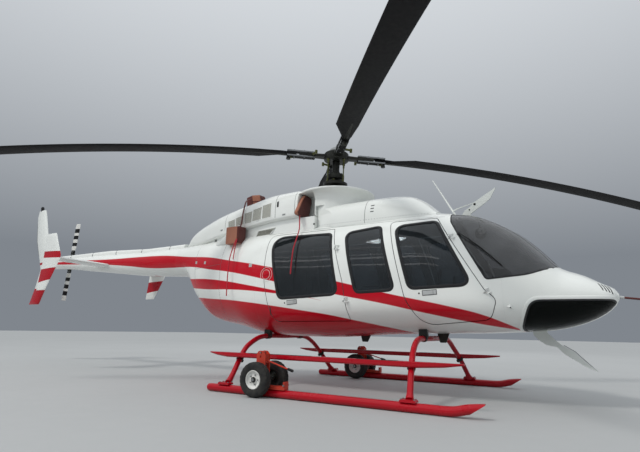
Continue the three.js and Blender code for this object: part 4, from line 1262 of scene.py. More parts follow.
class Dresser:
    """Makes the pieces of the scene and hangs each on its body."""

    def __init__(self) -> None:
        """Build the finishes and bring in the model."""
        self.effects = Effects()
        self.materials = {name: item.build(self.effects) for name, item in FINISHES.items()}
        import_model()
        self.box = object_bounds()
        self.count = 0

    def piece(self, name: str, form: Form, finish: str, body: str = "airframe", replaces: Sequence[str] = (),
              smooth: float = 35.0, loft: Loft | None = None, lining: str | None = None,
              cuff: Callable[[Array], Array] | None = None,
              cuff_finish: str | None = None) -> bpy.types.Object:
        """Add one piece.

        Args:
            name: the piece's name.
            form: its shape.
            finish: the finish of its outer faces.
            body: the body that it rides on.
            replaces: the nodes that it stands for.
            smooth: edges flatter than this many degrees are shaded smooth.
            loft: the body whose skin its faces follow, for their shading.
            lining: the finish of faces that look into the machine.
            cuff: picks faces by their middles, for a second finish.
            cuff_finish: that second finish.

        Returns:
            The new object.
        """
        data = form.mesh(name)
        data.polygons.foreach_set("use_smooth", [True] * len(data.polygons))
        for used in (finish, lining, cuff_finish):
            if used:
                data.materials.append(self.materials[used])
        if loft:
            self.follow(data, form, loft, lining is not None)
        else:
            data.set_sharp_from_angle(angle=math.radians(smooth))
        if cuff:
            middles = np.array([form.verts[list(face)].mean(axis=0) for face in form.faces])
            chosen = cuff(middles)
            for polygon, picked in zip(data.polygons, chosen):
                if picked:
                    polygon.material_index = len(data.materials) - 1
        thing = placed(name, data)
        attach(thing, body)
        if replaces:
            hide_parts(*replaces)
        self.count += 1
        LOG.info("%s: %d faces on %s", name, len(data.polygons), body)
        return thing

    def skin(self, name: str, form: Form, node: str, finish: str = "hull_paint", body: str = "airframe",
             loft: Loft | None = None) -> None:
        """Add a piece of the hollow hull, painted outside and lined inside."""
        self.piece(name, form, finish, body, [node], loft=loft or FUSELAGE, lining="cabin_lining")

    @staticmethod
    def follow(data: bpy.types.Mesh, form: Form, loft: Loft, lined: bool) -> None:
        """Shade the faces that lie along a skin with the skin's own directions.

        Args:
            data: the mesh to shade.
            form: the form that the mesh was made from.
            loft: the body whose skin is followed.
            lined: faces that look inwards take the lining.
        """
        totals = np.array([len(face) for face in form.faces])
        corners = np.concatenate([np.array(face) for face in form.faces])
        flat = np.empty(len(data.polygons) * 3)
        data.polygons.foreach_get("normal", flat)
        face_way = np.repeat(flat.reshape(-1, 3), totals, axis=0)
        skin_way = loft.normal(form.verts)[corners]
        facing = np.einsum("ij,ij->i", face_way, skin_way)
        along = np.abs(facing) > 0.86
        ways = np.where(along[:, None], skin_way * np.sign(facing)[:, None], face_way)
        data.normals_split_custom_set(ways.tolist())
        if lined:
            starts = np.concatenate([[0], np.cumsum(totals)[:-1]])
            data.polygons.foreach_set("material_index", (facing[starts] < 0.25).astype(int).tolist())


FUSELAGE = Loft((
    (-2750, 1475, 1950, 250, 1715, 2.1, 2.1),
    (-2500, 1440, 1960, 295, 1690, 2.2, 2.0),
    (-2250, 1064, 1972, 360, 1600, 2.4, 2.0),
    (-1900, 809, 1985, 470, 1440, 2.6, 2.0),
    (-1400, 717, 1995, 600, 1270, 2.8, 2.1),
    (-800, 604, 2005, 700, 1120, 2.8, 2.3),
    (0, 594, 2012, 725, 1060, 2.8, 2.4),
    (800, 640, 2015, 725, 1050, 2.8, 2.4),
    (1390, 660, 2010, 700, 1050, 2.8, 2.4),
    (1600, 665, 1984, 680, 1045, 2.7, 2.4),
    (1800, 668, 1954, 650, 1040, 2.6, 2.4),
    (2000, 675, 1870, 610, 1035, 2.5, 2.4),
    (2210, 688, 1737, 560, 1030, 2.4, 2.4),
    (2350, 697, 1615, 520, 1025, 2.3, 2.3),
    (2490, 710, 1462, 475, 1020, 2.2, 2.2),
    (2620, 735, 1316, 425, 1015, 2.1, 2.2),
    (2800, 790, 1243, 340, 1010, 2.0, 2.1),
    (2950, 868, 1156, 245, 1015, 2.0, 2.0),
    (3040, 950, 1108, 130, 1025, 2.0, 2.0),
    (3070, 1005, 1060, 40, 1030, 2.0, 2.0),
))
FORWARD_FAIRING = Loft((
    (-60, 1700, 2262, 500, 1920, 3.0, 2.0),
    (300, 1700, 2266, 480, 1920, 2.9, 2.0),
    (880, 1700, 2281, 450, 1925, 2.7, 2.0),
    (1110, 1700, 2260, 425, 1930, 2.6, 2.0),
    (1290, 1700, 2170, 395, 1935, 2.4, 2.0),
    (1400, 1700, 2070, 370, 1940, 2.2, 2.0),
    (1450, 1700, 2022, 350, 1945, 2.1, 2.0),
))
COWLING = Loft((
    (-2620, 1900, 1985, 105, 1940, 2.2, 2.2),
    (-2560, 1900, 2090, 130, 1980, 2.4, 2.4),
    (-2460, 1905, 2165, 160, 2000, 2.6, 3.0),
    (-2190, 1920, 2262, 240, 2020, 2.8, 5.0),
    (-1740, 1965, 2356, 370, 2050, 3.2, 6.0),
    (-1140, 2015, 2442, 470, 2100, 3.6, 6.0),
    (-700, 2060, 2500, 505, 2140, 3.8, 6.0),
    (-60.3, 2085, 2510, 520, 2160, 3.8, 6.0),
))
ENGINE_DECK = Loft((
    (-2550, 1700, 1960, 90, 1800, 2.2, 2.0),
    (-2190, 1700, 2080, 190, 1850, 3.0, 2.0),
    (-1740, 1700, 2120, 315, 1900, 6.0, 2.0),
    (-1140, 1700, 2160, 410, 1900, 8.0, 2.0),
    (-700, 1700, 2200, 445, 1900, 8.0, 2.0),
    (-60.3, 1700, 2220, 460, 1900, 8.0, 2.0),
))
BOOM = Loft((
    (-6700, 1795, 1985, 95, 1890, 2.0, 2.0),
    (-6300, 1785, 1990, 102, 1887, 2.0, 2.0),
    (-5050, 1670, 1975, 152, 1822, 2.0, 2.0),
    (-4220, 1585, 1955, 185, 1770, 2.0, 2.0),
    (-3620, 1525, 1945, 210, 1735, 2.0, 2.0),
    (-2750.3, 1477, 1948, 248, 1713, 2.1, 2.1),
))
SCOOP = ((-1830, 1830, 6, 345, 6), (-1700, 1850, 45, 372, 62), (-1550, 1885, 80, 398, 100),
         (-1400, 1915, 100, 412, 128))



def hull_room() -> Form:
    """What the fuselage takes out of the pieces that sit on it."""
    return FUSELAGE.solid(-2760, 3070, -FIT, 120, 96)


DOORS = {
    "crew": ((1492, 1872, 30), (1950, 1078, 50), (2052, 985, 80), (1985, 800, 120), (1330, 742, 200),
             (1188, 1000, 500), (982, 1872, 40)),
    "cabin": ((264, 1862, 30), (470, 1195, 900), (532, 780, 30), (-500, 768, 90), (-620, 1250, 900),
              (-660, 1862, 90)),
}
WINDOWS = {
    "crew": ((1055, 1808, 90), (1495, 1832, 80), (1840, 1130, 80), (1235, 1104, 80)),
    "cabin": ((-598, 1826, 150), (248, 1798, 70), (408, 1068, 80), (-388, 1034, 90)),
    "middle": ((455, 1785, 80), (872, 1830, 70), (1071, 1095, 60), (633, 1080, 70)),
}
HINGES = {"crew": ((1661, 1630), (1981, 1065)), "cabin": ((372, 1600), (520, 1000))}
HANDLES = {"crew": ((1368, 1054), (1514, 1063)), "cabin": ((-264, 982), (-121, 993))}
WINDSHIELD = ((1590, 2040, 60), (1640, 1815, 110), (1975, 1180, 40), (2330, 1222, 600), (2615, 1320, 20),
              (2615, 2080, 20))
CHIN = ((2225, 690, 40), (2345, 975, 120), (3035, 990, 40), (3035, 880, 60), (2700, 690, 300))
CROSS_TUBES = {
    "forward": ((1268, 0, 604), (1268, 420, 604), (1270, 560, 596), (1277, 690, 552), (1290, 800, 484),
                (1312, 912, 400), (1337, 1020, 300), (1359, 1113, 200), (1380, 1205, 96)),
    "aft": ((-765, 0, 590), (-765, 400, 590), (-763, 560, 572), (-760, 700, 520), (-757, 810, 460),
            (-745, 885, 398), (-721, 985, 300), (-700, 1078, 200), (-676, 1185, 96)),
}
TUBE_RADIUS = 29


def cross_path(name: str, steps: int = 60) -> Array:
    """The middle line of a cross tube, from its left end to its right end."""
    half = CROSS_TUBES[name]
    return smooth_path([(x, -y, z) for x, y, z in half[:0:-1]] + list(half), steps)


@dataclass
class Cabin:
    """The cabin's shell, doors, glass and seals."""

    firewall: float = -800
    wall: float = 40
    roof_seam: float = 1895
    belly_seam: float = 715
    nose_seam: float = 2110
    floor_z: float = 800
    door_gap: float = 7
    door_flange: float = 12
    door_rebate: float = 22
    post: float = 22
    glass_inset: float = 4
    glass_thick: float = 6
    hinge_off: float = 32
    hinge_half: float = 16
    cheek_end: float = 30
    chin_post: float = 70
    chin_frame: float = 24
    chin_gap: float = 24
    keel_y: float = 280
    door_smooth: int = 10
    whip_at: Point = (1590, 60, 1980)
    whip_tip: Point = (1317, 60, 2494)
    whip_foot: Profile = ((0, -2), (44, -2), (40, 8), (20, 22), (13, 34), (0, 36))
    gearbox: Profile = ((0, -1040), (150, -1040), (152, -900), (138, -830), (122, -702), (0, -702))
    probe: Profile = ((3046, 0, 1031), (3110, 0, 1023))
    probe_cover: Profile = ((3100, 0, 1024), (3225, 0, 1008), (3236, 0, 1006))
    vents: Point = (2905, 2932, 2957, 2980)
    vent_along: float = 33
    vent_across: float = 62
    lock: Profile = ((0, -1), (9, -1), (9, 1.5), (6, 2.5), (0, 2.5))
    rubber: Profile = ((-20, -5), (-19, 0.5), (-13, 4.6), (-1, 6), (9, 4.6), (15, 1.6), (16, -2))
    screen_trim: Profile = ((-9, -5), (-8, 1.2), (-2, 2.6), (7, 1.6), (8, -2))
    chin_lip: Profile = ((-11, -5), (-10, 2), (8, 2), (9, -5))
    chin_edging: Profile = ((-17, -3), (-15, 3), (-11, 5), (11, 5), (15, 3), (17, -3))
    sliding_pane: Profile = ((72, 1292, 30), (345, 1292, 30), (372, 1095, 30), (98, 1085, 30))
    outlines: dict[str, Array] = field(default_factory=dict)

    def __post_init__(self) -> None:
        """Round every outline once."""
        for name, corners in DOORS.items():
            self.outlines[f"{name}_door"] = spread(rounded(corners, self.door_smooth), 60)
        for name, corners in WINDOWS.items():
            self.outlines[name] = spread(rounded(corners, self.door_smooth), 50)
        self.outlines["windshield"] = spread(rounded(WINDSHIELD, 8), 60)
        self.outlines["chin"] = spread(rounded(CHIN, 10), 60)

    def hole(self, points: Array, side: Side, inner: float = 100) -> Form:
        """A cutter through one side's wall."""
        low, high = sorted((side.value * inner, side.value * FAR))
        return sideways(points, low, high)

    def build(self, make: Dresser) -> None:
        """Make every piece of the cabin.

        Args:
            make: what takes the finished pieces.
        """
        outer = FUSELAGE.solid(self.firewall, 3070)
        inner = FUSELAGE.solid(self.firewall + self.wall, 2985, self.wall, ring=72)
        wall = less(outer, inner)
        shell = wall
        for side in Side:
            for name in DOORS:
                shell = less(shell, self.hole(grown(self.outlines[f"{name}_door"], self.door_gap), side))
            shell = less(shell, self.hole(self.outlines["middle"], side))
            shell = less(shell, self.hole(self.outlines["windshield"], side, self.post))
            shell = less(shell, self.hole(self.outlines["chin"], side, self.chin_post))
        self.roof(make, shell)
        self.belly(make, shell, outer)
        self.nose(make, shell)
        self.sides(make, shell, wall)
        self.glass(make)
        self.seals(make)

    def post_zone(self) -> Form:
        """The room of the post between the windshields."""
        return slab(1700, FAR, -80, 80, 1300, self.roof_seam - FIT)

    def roof(self, make: Dresser, shell: Form) -> None:
        """The roof panel and its whip antenna.

        Args:
            make: what takes the finished pieces.
            shell: the hollow hull with its openings.
        """
        roof = within(shell, slab(-FAR, FAR, -FAR, FAR, self.roof_seam, FAR))
        make.skin("cabin_roof_skin", roof, "cabin_roof", "white_gloss")
        foot = aimed(capped(bent(self.whip_foot)), self.whip_at, (0.05, 0, 1))
        x, y, z = self.whip_at
        make.piece("whip_antenna", foot + rod((x, y, z + 8), self.whip_tip, 12, 5, 14), "white_gloss")
        make.piece("gearbox_case", capped(bent(self.gearbox)).turned(MainRotor().place), "oily_metal")

    def belly(self, make: Dresser, shell: Form, outer: Form) -> None:
        """The belly skin with the floor, the keel beams and the bulkhead behind the cabin.

        Args:
            make: what takes the finished pieces.
            shell: the hollow hull with its openings.
            outer: the hull as a full solid.
        """
        below = slab(-FAR, self.nose_seam - FIT, -FAR, FAR, -FAR, self.belly_seam - FIT)
        bulkhead = slab(-FAR, self.firewall + self.wall - FIT, -FAR, FAR, self.belly_seam - 5,
                        self.roof_seam - FIT)
        room = FUSELAGE.solid(self.firewall + self.wall + 5, 2050, self.wall + 9, 200, 48)
        floor = within(room, slab(-FAR, FAR, -FAR, FAR, self.floor_z - 20, self.floor_z))
        skin = joined(within(shell, below), within(shell, bulkhead), floor)
        for side in Side:
            middle = side.value * self.keel_y
            beam = slab(self.firewall + 60, 1000, middle - 15, middle + 15, -FAR, self.floor_z - 10)
            skin = joined(skin, within(outer, beam))
        skin = less(skin, tube(cross_path("aft"), TUBE_RADIUS + 6, 20))
        make.skin("cabin_belly_skin", skin, "cabin_belly")

    def nose(self, make: Dresser, shell: Form) -> None:
        """The nose with its centre post, probe and vents.

        Args:
            make: what takes the finished pieces.
            shell: the hollow hull with its openings.
        """
        ahead = joined(slab(self.nose_seam, FAR, -FAR, FAR, -FAR, self.roof_seam - FIT), self.post_zone())
        make.skin("nose_skin", within(shell, ahead), "nose_shell")
        make.piece("pitot_probe", rod(*self.probe, 17, 12), "silver_trim")
        make.piece("pitot_cover", tube(self.probe_cover, [10, 10, 7], 16), "cover_cloth")
        for index, x in enumerate(self.vents):
            reach = FUSELAGE.at(x + 16)[0][3] * 0.86
            for side in Side:
                ys = side.value * np.linspace(reach - self.vent_across, reach, 7)
                xs = np.linspace(x, x + self.vent_along, 7)
                path = np.stack([xs, ys, FUSELAGE.crown(xs, ys)], axis=1)
                # Each vent slot is a black strip: painted shade in the opening.
                slot = welt(path, FUSELAGE, flat_strip(6, 1.2), closed=False)
                make.piece(f"nose_vent_{side.word}_{index + 1}", slot, "rubber_and_hole_shade")

    def sides(self, make: Dresser, shell: Form, wall: Form) -> None:
        """The side frames and the doors, with hinges and handles.

        Args:
            make: what takes the finished pieces.
            shell: the hollow hull with its openings.
            wall: the hollow hull without openings.
        """
        middle = slab(self.firewall + self.wall + FIT, self.nose_seam - FIT, -FAR, FAR, self.belly_seam,
                      self.roof_seam - FIT)
        zone = less(middle, self.post_zone())
        right = within(within(shell, zone), slab(-FAR, FAR, -FAR, -FIT, -FAR, FAR))
        flange = FUSELAGE.solid(self.firewall + self.door_flange, 3060, self.door_flange, 140, 64)
        for side in Side:
            def flip(form: Form, at: Side = side) -> Form:
                """The right side's form on this side."""
                return form if at is Side.RIGHT else form.mirrored()
            make.skin(f"side_frame_{side.word}_skin", flip(right), f"side_frame_{side.word}")
            for name in DOORS:
                outline = self.outlines[f"{name}_door"]
                rebate = less(flange, self.hole(grown(outline, -self.door_rebate), Side.RIGHT))
                panel = less(within(wall, self.hole(outline, Side.RIGHT)), rebate,
                             self.hole(self.outlines[name], Side.RIGHT))
                body = f"{name}_door_{side.word}"
                make.skin(f"{body}_skin", flip(panel), body, body=body)
                arms, cheeks = self.hinges(name)
                make.piece(f"{body}_hinge_arms", flip(arms), "silver_trim", body)
                make.piece(f"{body}_hinge_cheeks", flip(cheeks), "white_gloss")
                self.handle(make, name, side)

    def hinges(self, name: str) -> tuple[Form, Form]:
        """The moving and the fixed parts of one right door's hinges.

        Args:
            name: the door.

        Returns:
            The moving and the fixed parts.
        """
        top, bottom = (np.array((x, -FUSELAGE.half_width(x, z)[0] - self.hinge_off, z))
                       for x, z in HINGES[name])
        along = (top - bottom) / np.linalg.norm(top - bottom)

        def in_wall(at: Array, reach: float) -> Array:
            """The point in the middle of the wall that lies square to the hinge line."""
            arm = np.array((reach, self.wall / 2 - FUSELAGE.half_width(at[0] + reach, at[2])[0] - at[1], 0))
            return at + arm - along * float(arm @ along)

        arms, cheeks = [], []
        for at in (top, bottom):
            half = along * self.hinge_half
            arms += [rod(at - half, at + half, 9), rod(at, in_wall(at, -60), 7, 7, 12)]
            for way in (-1, 1):
                near, far = way * (self.hinge_half + FIT), way * self.cheek_end
                cheeks.append(rod(at + along * min(near, far), at + along * max(near, far), 9))
                middle = at + along * (near + far) / 2
                cheeks.append(rod(middle, in_wall(middle, 45), 6, 6, 12))
                cheeks.append(rod(at + along * far, at + along * way * (self.cheek_end + 5), 5, 4, 12))
        return gathered(arms), gathered(cheeks)

    def handle(self, make: Dresser, name: str, side: Side) -> None:
        """A door's recessed paddle handle and its lock.

        Args:
            make: what takes the finished pieces.
            name: the door.
            side: the side of the machine.
        """
        start, end = np.array(HANDLES[name])
        body = f"{name}_door_{side.word}"
        length = math.hypot(*(end - start))
        way = (end - start) / length
        up = np.array((-way[1], way[0]))

        def frame(a: float, b: float, low: float, high: float) -> list[Array]:
            """Corners of a box along the handle."""
            return [start + way * u + up * v for u, v in ((a, low), (b, low), (b, high), (a, high))]

        well = patch(frame(0, length, -27, 27), FUSELAGE, side, 1.0, 3, 6)
        make.piece(f"{body}_handle_well", well, "line_shadow", body)
        paddle = patch(frame(8, length * 0.74, -20, 20), FUSELAGE, side, 7.0, 6, 6)
        grip = patch(frame(length * 0.76, length - 7, -20, 20), FUSELAGE, side, 4.0, 3, 4)
        make.piece(f"{body}_handle", paddle + grip, "silver_trim", body)
        # The lock is a black disc: painted shade in the keyhole.
        spot = FUSELAGE.on_side([start - way * 32], side)
        lock = aimed(capped(bent(self.lock), 24), spot[0], FUSELAGE.normal(spot)[0])
        make.piece(f"{body}_lock", lock, "rubber_and_hole_shade", body)

    def glass(self, make: Dresser) -> None:
        """Every pane, a little inside the skin.

        Args:
            make: what takes the finished pieces.
        """
        skin = less(FUSELAGE.solid(self.firewall + 50, 3030, self.glass_inset),
                    FUSELAGE.solid(self.firewall + 40, 3040, self.glass_inset + self.glass_thick))
        for name, node, finish, inner in (
            ("crew", "crew_pane", "cabin_glass", 100),
            ("cabin", "cabin_pane", "cabin_glass", 100),
            ("middle", "middle_pane", "cabin_glass", 100),
            ("windshield", "windshield", "screen_glass", self.post + FIT),
            ("chin", "chin_window", "chin_glass", self.chin_post + FIT),
        ):
            for side in Side:
                pane = within(skin, self.hole(grown(self.outlines[name], -FIT), side, inner))
                body = f"{name}_door_{side.word}" if name in DOORS else "airframe"
                make.piece(f"{node}_{side.word}_glass", pane, finish, body, [f"{node}_{side.word}"],
                           smooth=40)

    def seals(self, make: Dresser) -> None:
        """The rubber round each window and the frames round the glass of the nose.

        Args:
            make: what takes the finished pieces.
        """
        pane = spread(rounded(self.sliding_pane, 4), 40)
        for side in Side:
            for name in WINDOWS:
                path = FUSELAGE.on_side(self.outlines[name], side)
                body = f"{name}_door_{side.word}" if name in DOORS else "airframe"
                seal = welt(path, FUSELAGE, handed(self.rubber, side))
                make.piece(f"{name}_window_seal_{side.word}", seal, "rubber_and_hole_shade", body)
            seal = welt(self.screen_line(side), FUSELAGE, handed(self.screen_trim, side))
            make.piece(f"windshield_seal_{side.word}", seal, "rubber_and_hole_shade")
            rim = [(x, z) for x, z in self.outlines["chin"]
                   if FUSELAGE.half_width(x, z)[0] > self.chin_post + 1]
            lip = welt(self.chin_line(rim, side, 130), FUSELAGE, self.chin_lip, closed=False)
            make.piece(f"chin_seal_{side.word}", lip, "rubber_and_hole_shade")
            rim = [(x, z) for x, z in grown(self.outlines["chin"], self.chin_frame)
                   if FUSELAGE.half_width(x, z)[0] > self.chin_post + 2 and FUSELAGE.at(x)[0][1] + 5 < z]
            edging = welt(self.chin_line(rim, side, 120), FUSELAGE, self.chin_edging, closed=False)
            make.piece(f"chin_frame_{side.word}", edging, "white_gloss")
            form = welt(FUSELAGE.on_side(pane, side), FUSELAGE, flat_strip(6, -10.6, -15))
            make.piece(f"sliding_pane_frame_{side.word}", form, "grey_trim", f"cabin_door_{side.word}")

    def chin_line(self, rim: list[Point], side: Side, steps: int) -> Array:
        """A smooth open line on the skin round a chin window."""
        return smooth_path(thinned(FUSELAGE.on_side(opened(rim), side), self.chin_gap), steps)

    def screen_line(self, side: Side) -> Array:
        """The closed line round one windshield, along its outline and up the centre post.

        Args:
            side: the side of the machine.

        Returns:
            The points.
        """
        y = side.value * (self.post + 1)
        low = [(x, z) for x, z in self.outlines["windshield"]
               if x <= 2610 and z < FUSELAGE.crown(x, y)[0] - 4]
        lower = FUSELAGE.on_side(opened(low), side)
        first, last = sorted((float(lower[0][0]), float(lower[-1][0])))
        xs = np.arange(first + 30, last - 10, 60)
        ys = np.full(len(xs), y)
        post = np.stack([xs, ys, FUSELAGE.crown(xs, ys)], axis=1)
        return np.vstack([lower, post if lower[-1][0] < lower[0][0] else post[::-1]])


def both_sides(half: Profile) -> list[Point]:
    """An even outline from its left half, which may end on the middle line."""
    return list(half) + [(-y, z) for y, z in half[::-1] if y]


def blade_section(chord_points: int = 9) -> Array:
    """A wing section from its nose round to its tail and back, as share of the chord and of the thickness.

    Args:
        chord_points: points from nose to tail.

    Returns:
        The section's points.
    """
    t = (1 + np.cos(np.linspace(0, math.pi, chord_points))) / 2
    high = 0.5 * (2.6 * np.sqrt(np.clip(1 - t, 0, 1)) * np.clip(t, 0, 1) ** 0.9 + 0.04 * (t < 0.05))
    high = np.minimum(high / max(high.max(), 1e-9) * 0.5, 0.5)
    high[-1] = 0.03
    upper = np.stack([t, high], axis=1)
    return np.vstack([upper, upper[1:][::-1] * (1, -1)])


def foil(sections: Sequence[Point], thick: float, to_point: Callable[[Array, Array, float], Array],
         steps: int = 12) -> Form:
    """A flat lifting surface through sections.

    Args:
        sections: place, front and back of each.
        thick: its greatest thickness.
        to_point: puts the chord place, the height and the section's place in space.
        steps: pieces between two sections.

    Returns:
        The solid.
    """
    table = np.array(sections, float)
    places = np.concatenate([np.linspace(a, b, steps, endpoint=False)
                             for a, b in zip(table[:-1, 0], table[1:, 0])])
    places = np.append(places, table[-1, 0])
    shape = blade_section()
    rings = []
    for place in places:
        front = float(np.interp(place, table[:, 0], table[:, 1]))
        back = float(np.interp(place, table[:, 0], table[:, 2]))
        edge = min(place - table[0, 0], table[-1, 0] - place)
        full = thick * min(1.0, 0.55 + 0.45 * math.sqrt(max(edge, 0) / 25))
        rings.append(to_point(back + (front - back) * shape[:, 0], shape[:, 1] * full, float(place)))
    return ringed(np.array(rings))


def upright(y: float) -> Callable[[Array, Array, float], Array]:
    """Sections of a surface that stands in the side view."""
    return lambda x, off, z: np.stack([x, y + off, np.full(len(x), z)], axis=1)


@dataclass
class Tail:
    """The aft body, the boom, its surfaces and the tail rotor."""

    aft_end: float = -2750
    hull_wall: float = 25
    boom_end: float = -6700
    fin: Profile = ((1090, -6890, -7250), (1430, -6720, -7120), (1800, -6560, -7020), (2020, -6640, -7120),
                              (2450, -6900, -7330), (2980, -7110, -7460), (3130, -7180, -7440))
    finlet: Profile = ((1230, -4740, -4985), (1290, -4705, -4980), (1720, -4445, -4930), (1790, -4440, -4925),
                                 (2165, -4650, -4940))
    finlet_y: float = 1085
    trim_tab: Profile = ((2120, -7166, -7192), (2450, -7326, -7352), (2850, -7424, -7449))
    plane: Point = (-4510, -4905)
    slot: Point = (-4509.7, -4905.3)
    beacon: Profile = ((0, 3100), (28, 3104), (26, 3150), (22, 3158), (34, 3162), (33, 3190), (26, 3214),
                       (12, 3223), (0, 3225))
    beacon_x: float = -7340
    shaft_top: Profile = ((-6500, 2040), (-4700, 2042), (-3660, 2000), (-2760, 2010))
    shaft_side: Profile = ((60, -120), (60, -45), (57, -28), (48, -13), (34, -4), (12, 0))
    strap_side: Profile = ((62.5, -118), (62.5, -45), (50, -11), (34, -2), (0, 1.5))
    straps: Profile = ((-5900, 2040.7), (-5200, 2041.4), (-4500, 2034), (-3800, 2005.4), (-3100, 2006.2))
    joints: Point = (-3420, -4120, -5300, -6050)
    case: Profile = ((0, 31.6), (70, 31.6), (85, 45), (84, 70), (80, 120), (62, 148), (45, 160), (0, 160))
    case_ribs: Point = (52, 68, 84, 100)
    filler: Profile = ((0, 0), (22, 0), (22, 14), (12, 24), (0, 24))
    rotor_hub: Profile = ((0, -45), (42, -45), (46, 0), (44, 30), (30, 56), (0, 60))
    rotor_bolts: Point = (-212, -150, 150, 212)
    rotor_turn: float = 5
    black_root: float = 0.3
    fin_bands: tuple[Profile, ...] = (((-7400, 1425), (-6600, 1398), (-6600, 1000), (-7400, 1000)),
                                                ((-7300, 1950), (-6885, 1961), (-6868, 1912), (-7300, 1893)))
    finlet_bands: tuple[Profile, ...] = (((-5100, 1879), (-4300, 1844), (-4300, 1735), (-5100, 1773)),
                                                   ((-5100, 1566), (-4300, 1598), (-4300, 1440),
                                                    (-5100, 1336)))
    stabiliser_z: float = 1748
    hub: Point = (-6610, 380, 2010)
    rotor_radius: float = 825
    black_bands: Profile = ((0.41, 0.50), (0.59, 0.69), (0.76, 0.87))

    def build(self, make: Dresser) -> None:
        """Make every piece of the tail.

        Args:
            make: what takes the finished pieces.
        """
        room = FUSELAGE.solid(self.aft_end + self.hull_wall, -760, self.hull_wall, 150, 48)
        aft = less(FUSELAGE.solid(self.aft_end, -800 - FIT, gap=50), room)
        make.skin("aft_body_skin", aft, "aft_fuselage")
        self.boom(make)
        self.surfaces(make)
        self.gearbox(make)
        self.rotor(make)

    def boom(self, make: Dresser) -> None:
        """The boom and the cover of its drive shaft.

        Args:
            make: what takes the finished pieces.
        """
        boom = less(BOOM.solid(self.boom_end, self.aft_end - FIT, gap=120, ring=64),
                    BOOM.solid(self.boom_end + self.hull_wall, self.aft_end, self.hull_wall, 300, 32))
        slot = foil(((-400, *self.slot), (400, *self.slot)), 68, self.level, 2)
        make.skin("tail_boom_skin", less(boom, slot), "tail_boom", loft=BOOM)
        rings = []
        for x in np.linspace(-6500, -2760, 60):
            top = float(np.interp(x, *zip(*self.shaft_top)))
            rings.append([(x, y, top + z) for y, z in both_sides(self.shaft_side)])
        make.piece("drive_shaft_cover", ringed(np.array(rings)), "white_gloss")
        bands = gathered(across([(y, top + z) for y, z in both_sides(self.strap_side)], x - 9, x + 9)
                         for x, top in self.straps)
        make.piece("shaft_cover_straps", bands, "grey_trim")
        for index, x in enumerate(self.joints):
            path = np.array([(x, y, z) for y, z in self.hoop(x)])
            ring = welt(path, BOOM, flat_strip(9, 0.9))
            make.piece(f"boom_joint_{index + 1}", ring, "hull_paint")
        spots = [(x, side.value, z) for x in np.arange(-6600, -2800, 62) for side in Side
                 for z in (1.0, -1.0)]
        rows = []
        for x, way, level in spots:
            values = BOOM.at(x)[0]
            z = values[4] + level * (values[2] - values[4]) * 0.82
            rows.append((x, way * BOOM.half_width(x, z)[0], z))
        points = np.array(rows)
        make.piece("boom_rivets", studs(points, BOOM.normal(points), 4.5, 1.1), "hull_paint")

    @staticmethod
    def hoop(x: float) -> list[tuple[float, float]]:
        """Points right round the boom at one place, as y and z.

        Args:
            x: the place along the boom.

        Returns:
            The points.
        """
        _, bottom, top, half, wide, upper, lower = BOOM.at(x)[0]
        points = []
        for angle in turns(72):
            c, s = math.cos(angle), math.sin(angle)
            power = upper if s >= 0 else lower
            height = top - wide if s >= 0 else wide - bottom
            points.append((math.copysign(half * abs(c) ** (2 / power), c),
                           wide + math.copysign(height * abs(s) ** (2 / power), s)))
        return points

    def surfaces(self, make: Dresser) -> None:
        """The fin, the stabiliser and its finlets, with their bands of red.

        Args:
            make: what takes the finished pieces.
        """
        fin = foil(self.fin, 62, upright(0))
        fin = less(fin, BOOM.solid(self.boom_end - FIT, -6000, -FIT, 120, 48))
        bands = gathered(sideways(line, -60, 60) for line in self.fin_bands)
        make.piece("fin_skin", less(fin, bands), "white_gloss", replaces=["vertical_fin"], smooth=50)
        make.piece("fin_bands", within(fin, bands), "red_gloss_shaded", smooth=50)
        make.piece("fin_trim_tab", foil(self.trim_tab, 7, upright(0), 4), "grey_trim")
        lamp = capped(bent(self.beacon)).turned(Matrix.Translation((self.beacon_x, 0, 0)))
        make.piece("tail_beacon", lamp, "rubber_and_hole_shade")
        plane = foil(((-self.finlet_y, *self.plane), (self.finlet_y, *self.plane)), 64, self.level, 24)
        make.piece("stabiliser_skin", plane, "white_gloss", replaces=["stabiliser"], smooth=50)
        for side in Side:
            finlet = foil(self.finlet, 30, upright(side.value * self.finlet_y))
            bands = gathered(self.hole(line, side) for line in self.finlet_bands)
            make.piece(f"finlet_{side.word}", less(finlet, bands), "white_gloss", smooth=50)
            make.piece(f"finlet_bands_{side.word}", within(finlet, bands), "red_gloss_shaded", smooth=50)
            y = side.value * (self.finlet_y - 19)
            foot = slab(-4890, -4540, y - 6, y + 6, self.stabiliser_z - 42, self.stabiliser_z + 42, 5)
            make.piece(f"finlet_root_{side.word}", foot, "grey_trim")

    def level(self, x: Array, off: Array, y: float) -> Array:
        """A section of the stabiliser, which lies level."""
        return np.stack([x, np.full(len(x), y), self.stabiliser_z + off], axis=1)

    @staticmethod
    def hole(line: Sequence[Point], side: Side) -> Form:
        """A cutter through one finlet."""
        return sideways(line, *sorted((side.value * 1000, side.value * 1160)))

    def gearbox(self, make: Dresser) -> None:
        """The tail gearbox with its fins and filler.

        Args:
            make: what takes the finished pieces.
        """
        x, y, z = self.hub
        case = capped(bent(self.case))
        ribs = gathered(turned([(79, v), (90, v + 1), (90, v + 4), (79, v + 5)]) for v in self.case_ribs)
        stand = capped([(0, 150), (30, 150), (28, y - 45 - FIT), (0, y - 45 - FIT)])
        turn = Matrix.Translation((x, 0, z)) @ Matrix.Rotation(math.radians(-90), 4, "X")
        shaft = (case + ribs + stand).turned(turn)
        cap = aimed(capped(bent(self.filler)), (x, 60, z + 78), (0, 0, 1))
        make.piece("tail_gearbox_case", less(shaft,
                                             BOOM.solid(self.boom_end - FIT, -6000, -FIT, 120, 48)) + cap,
                   "oily_metal", replaces=["tail_gearbox"])

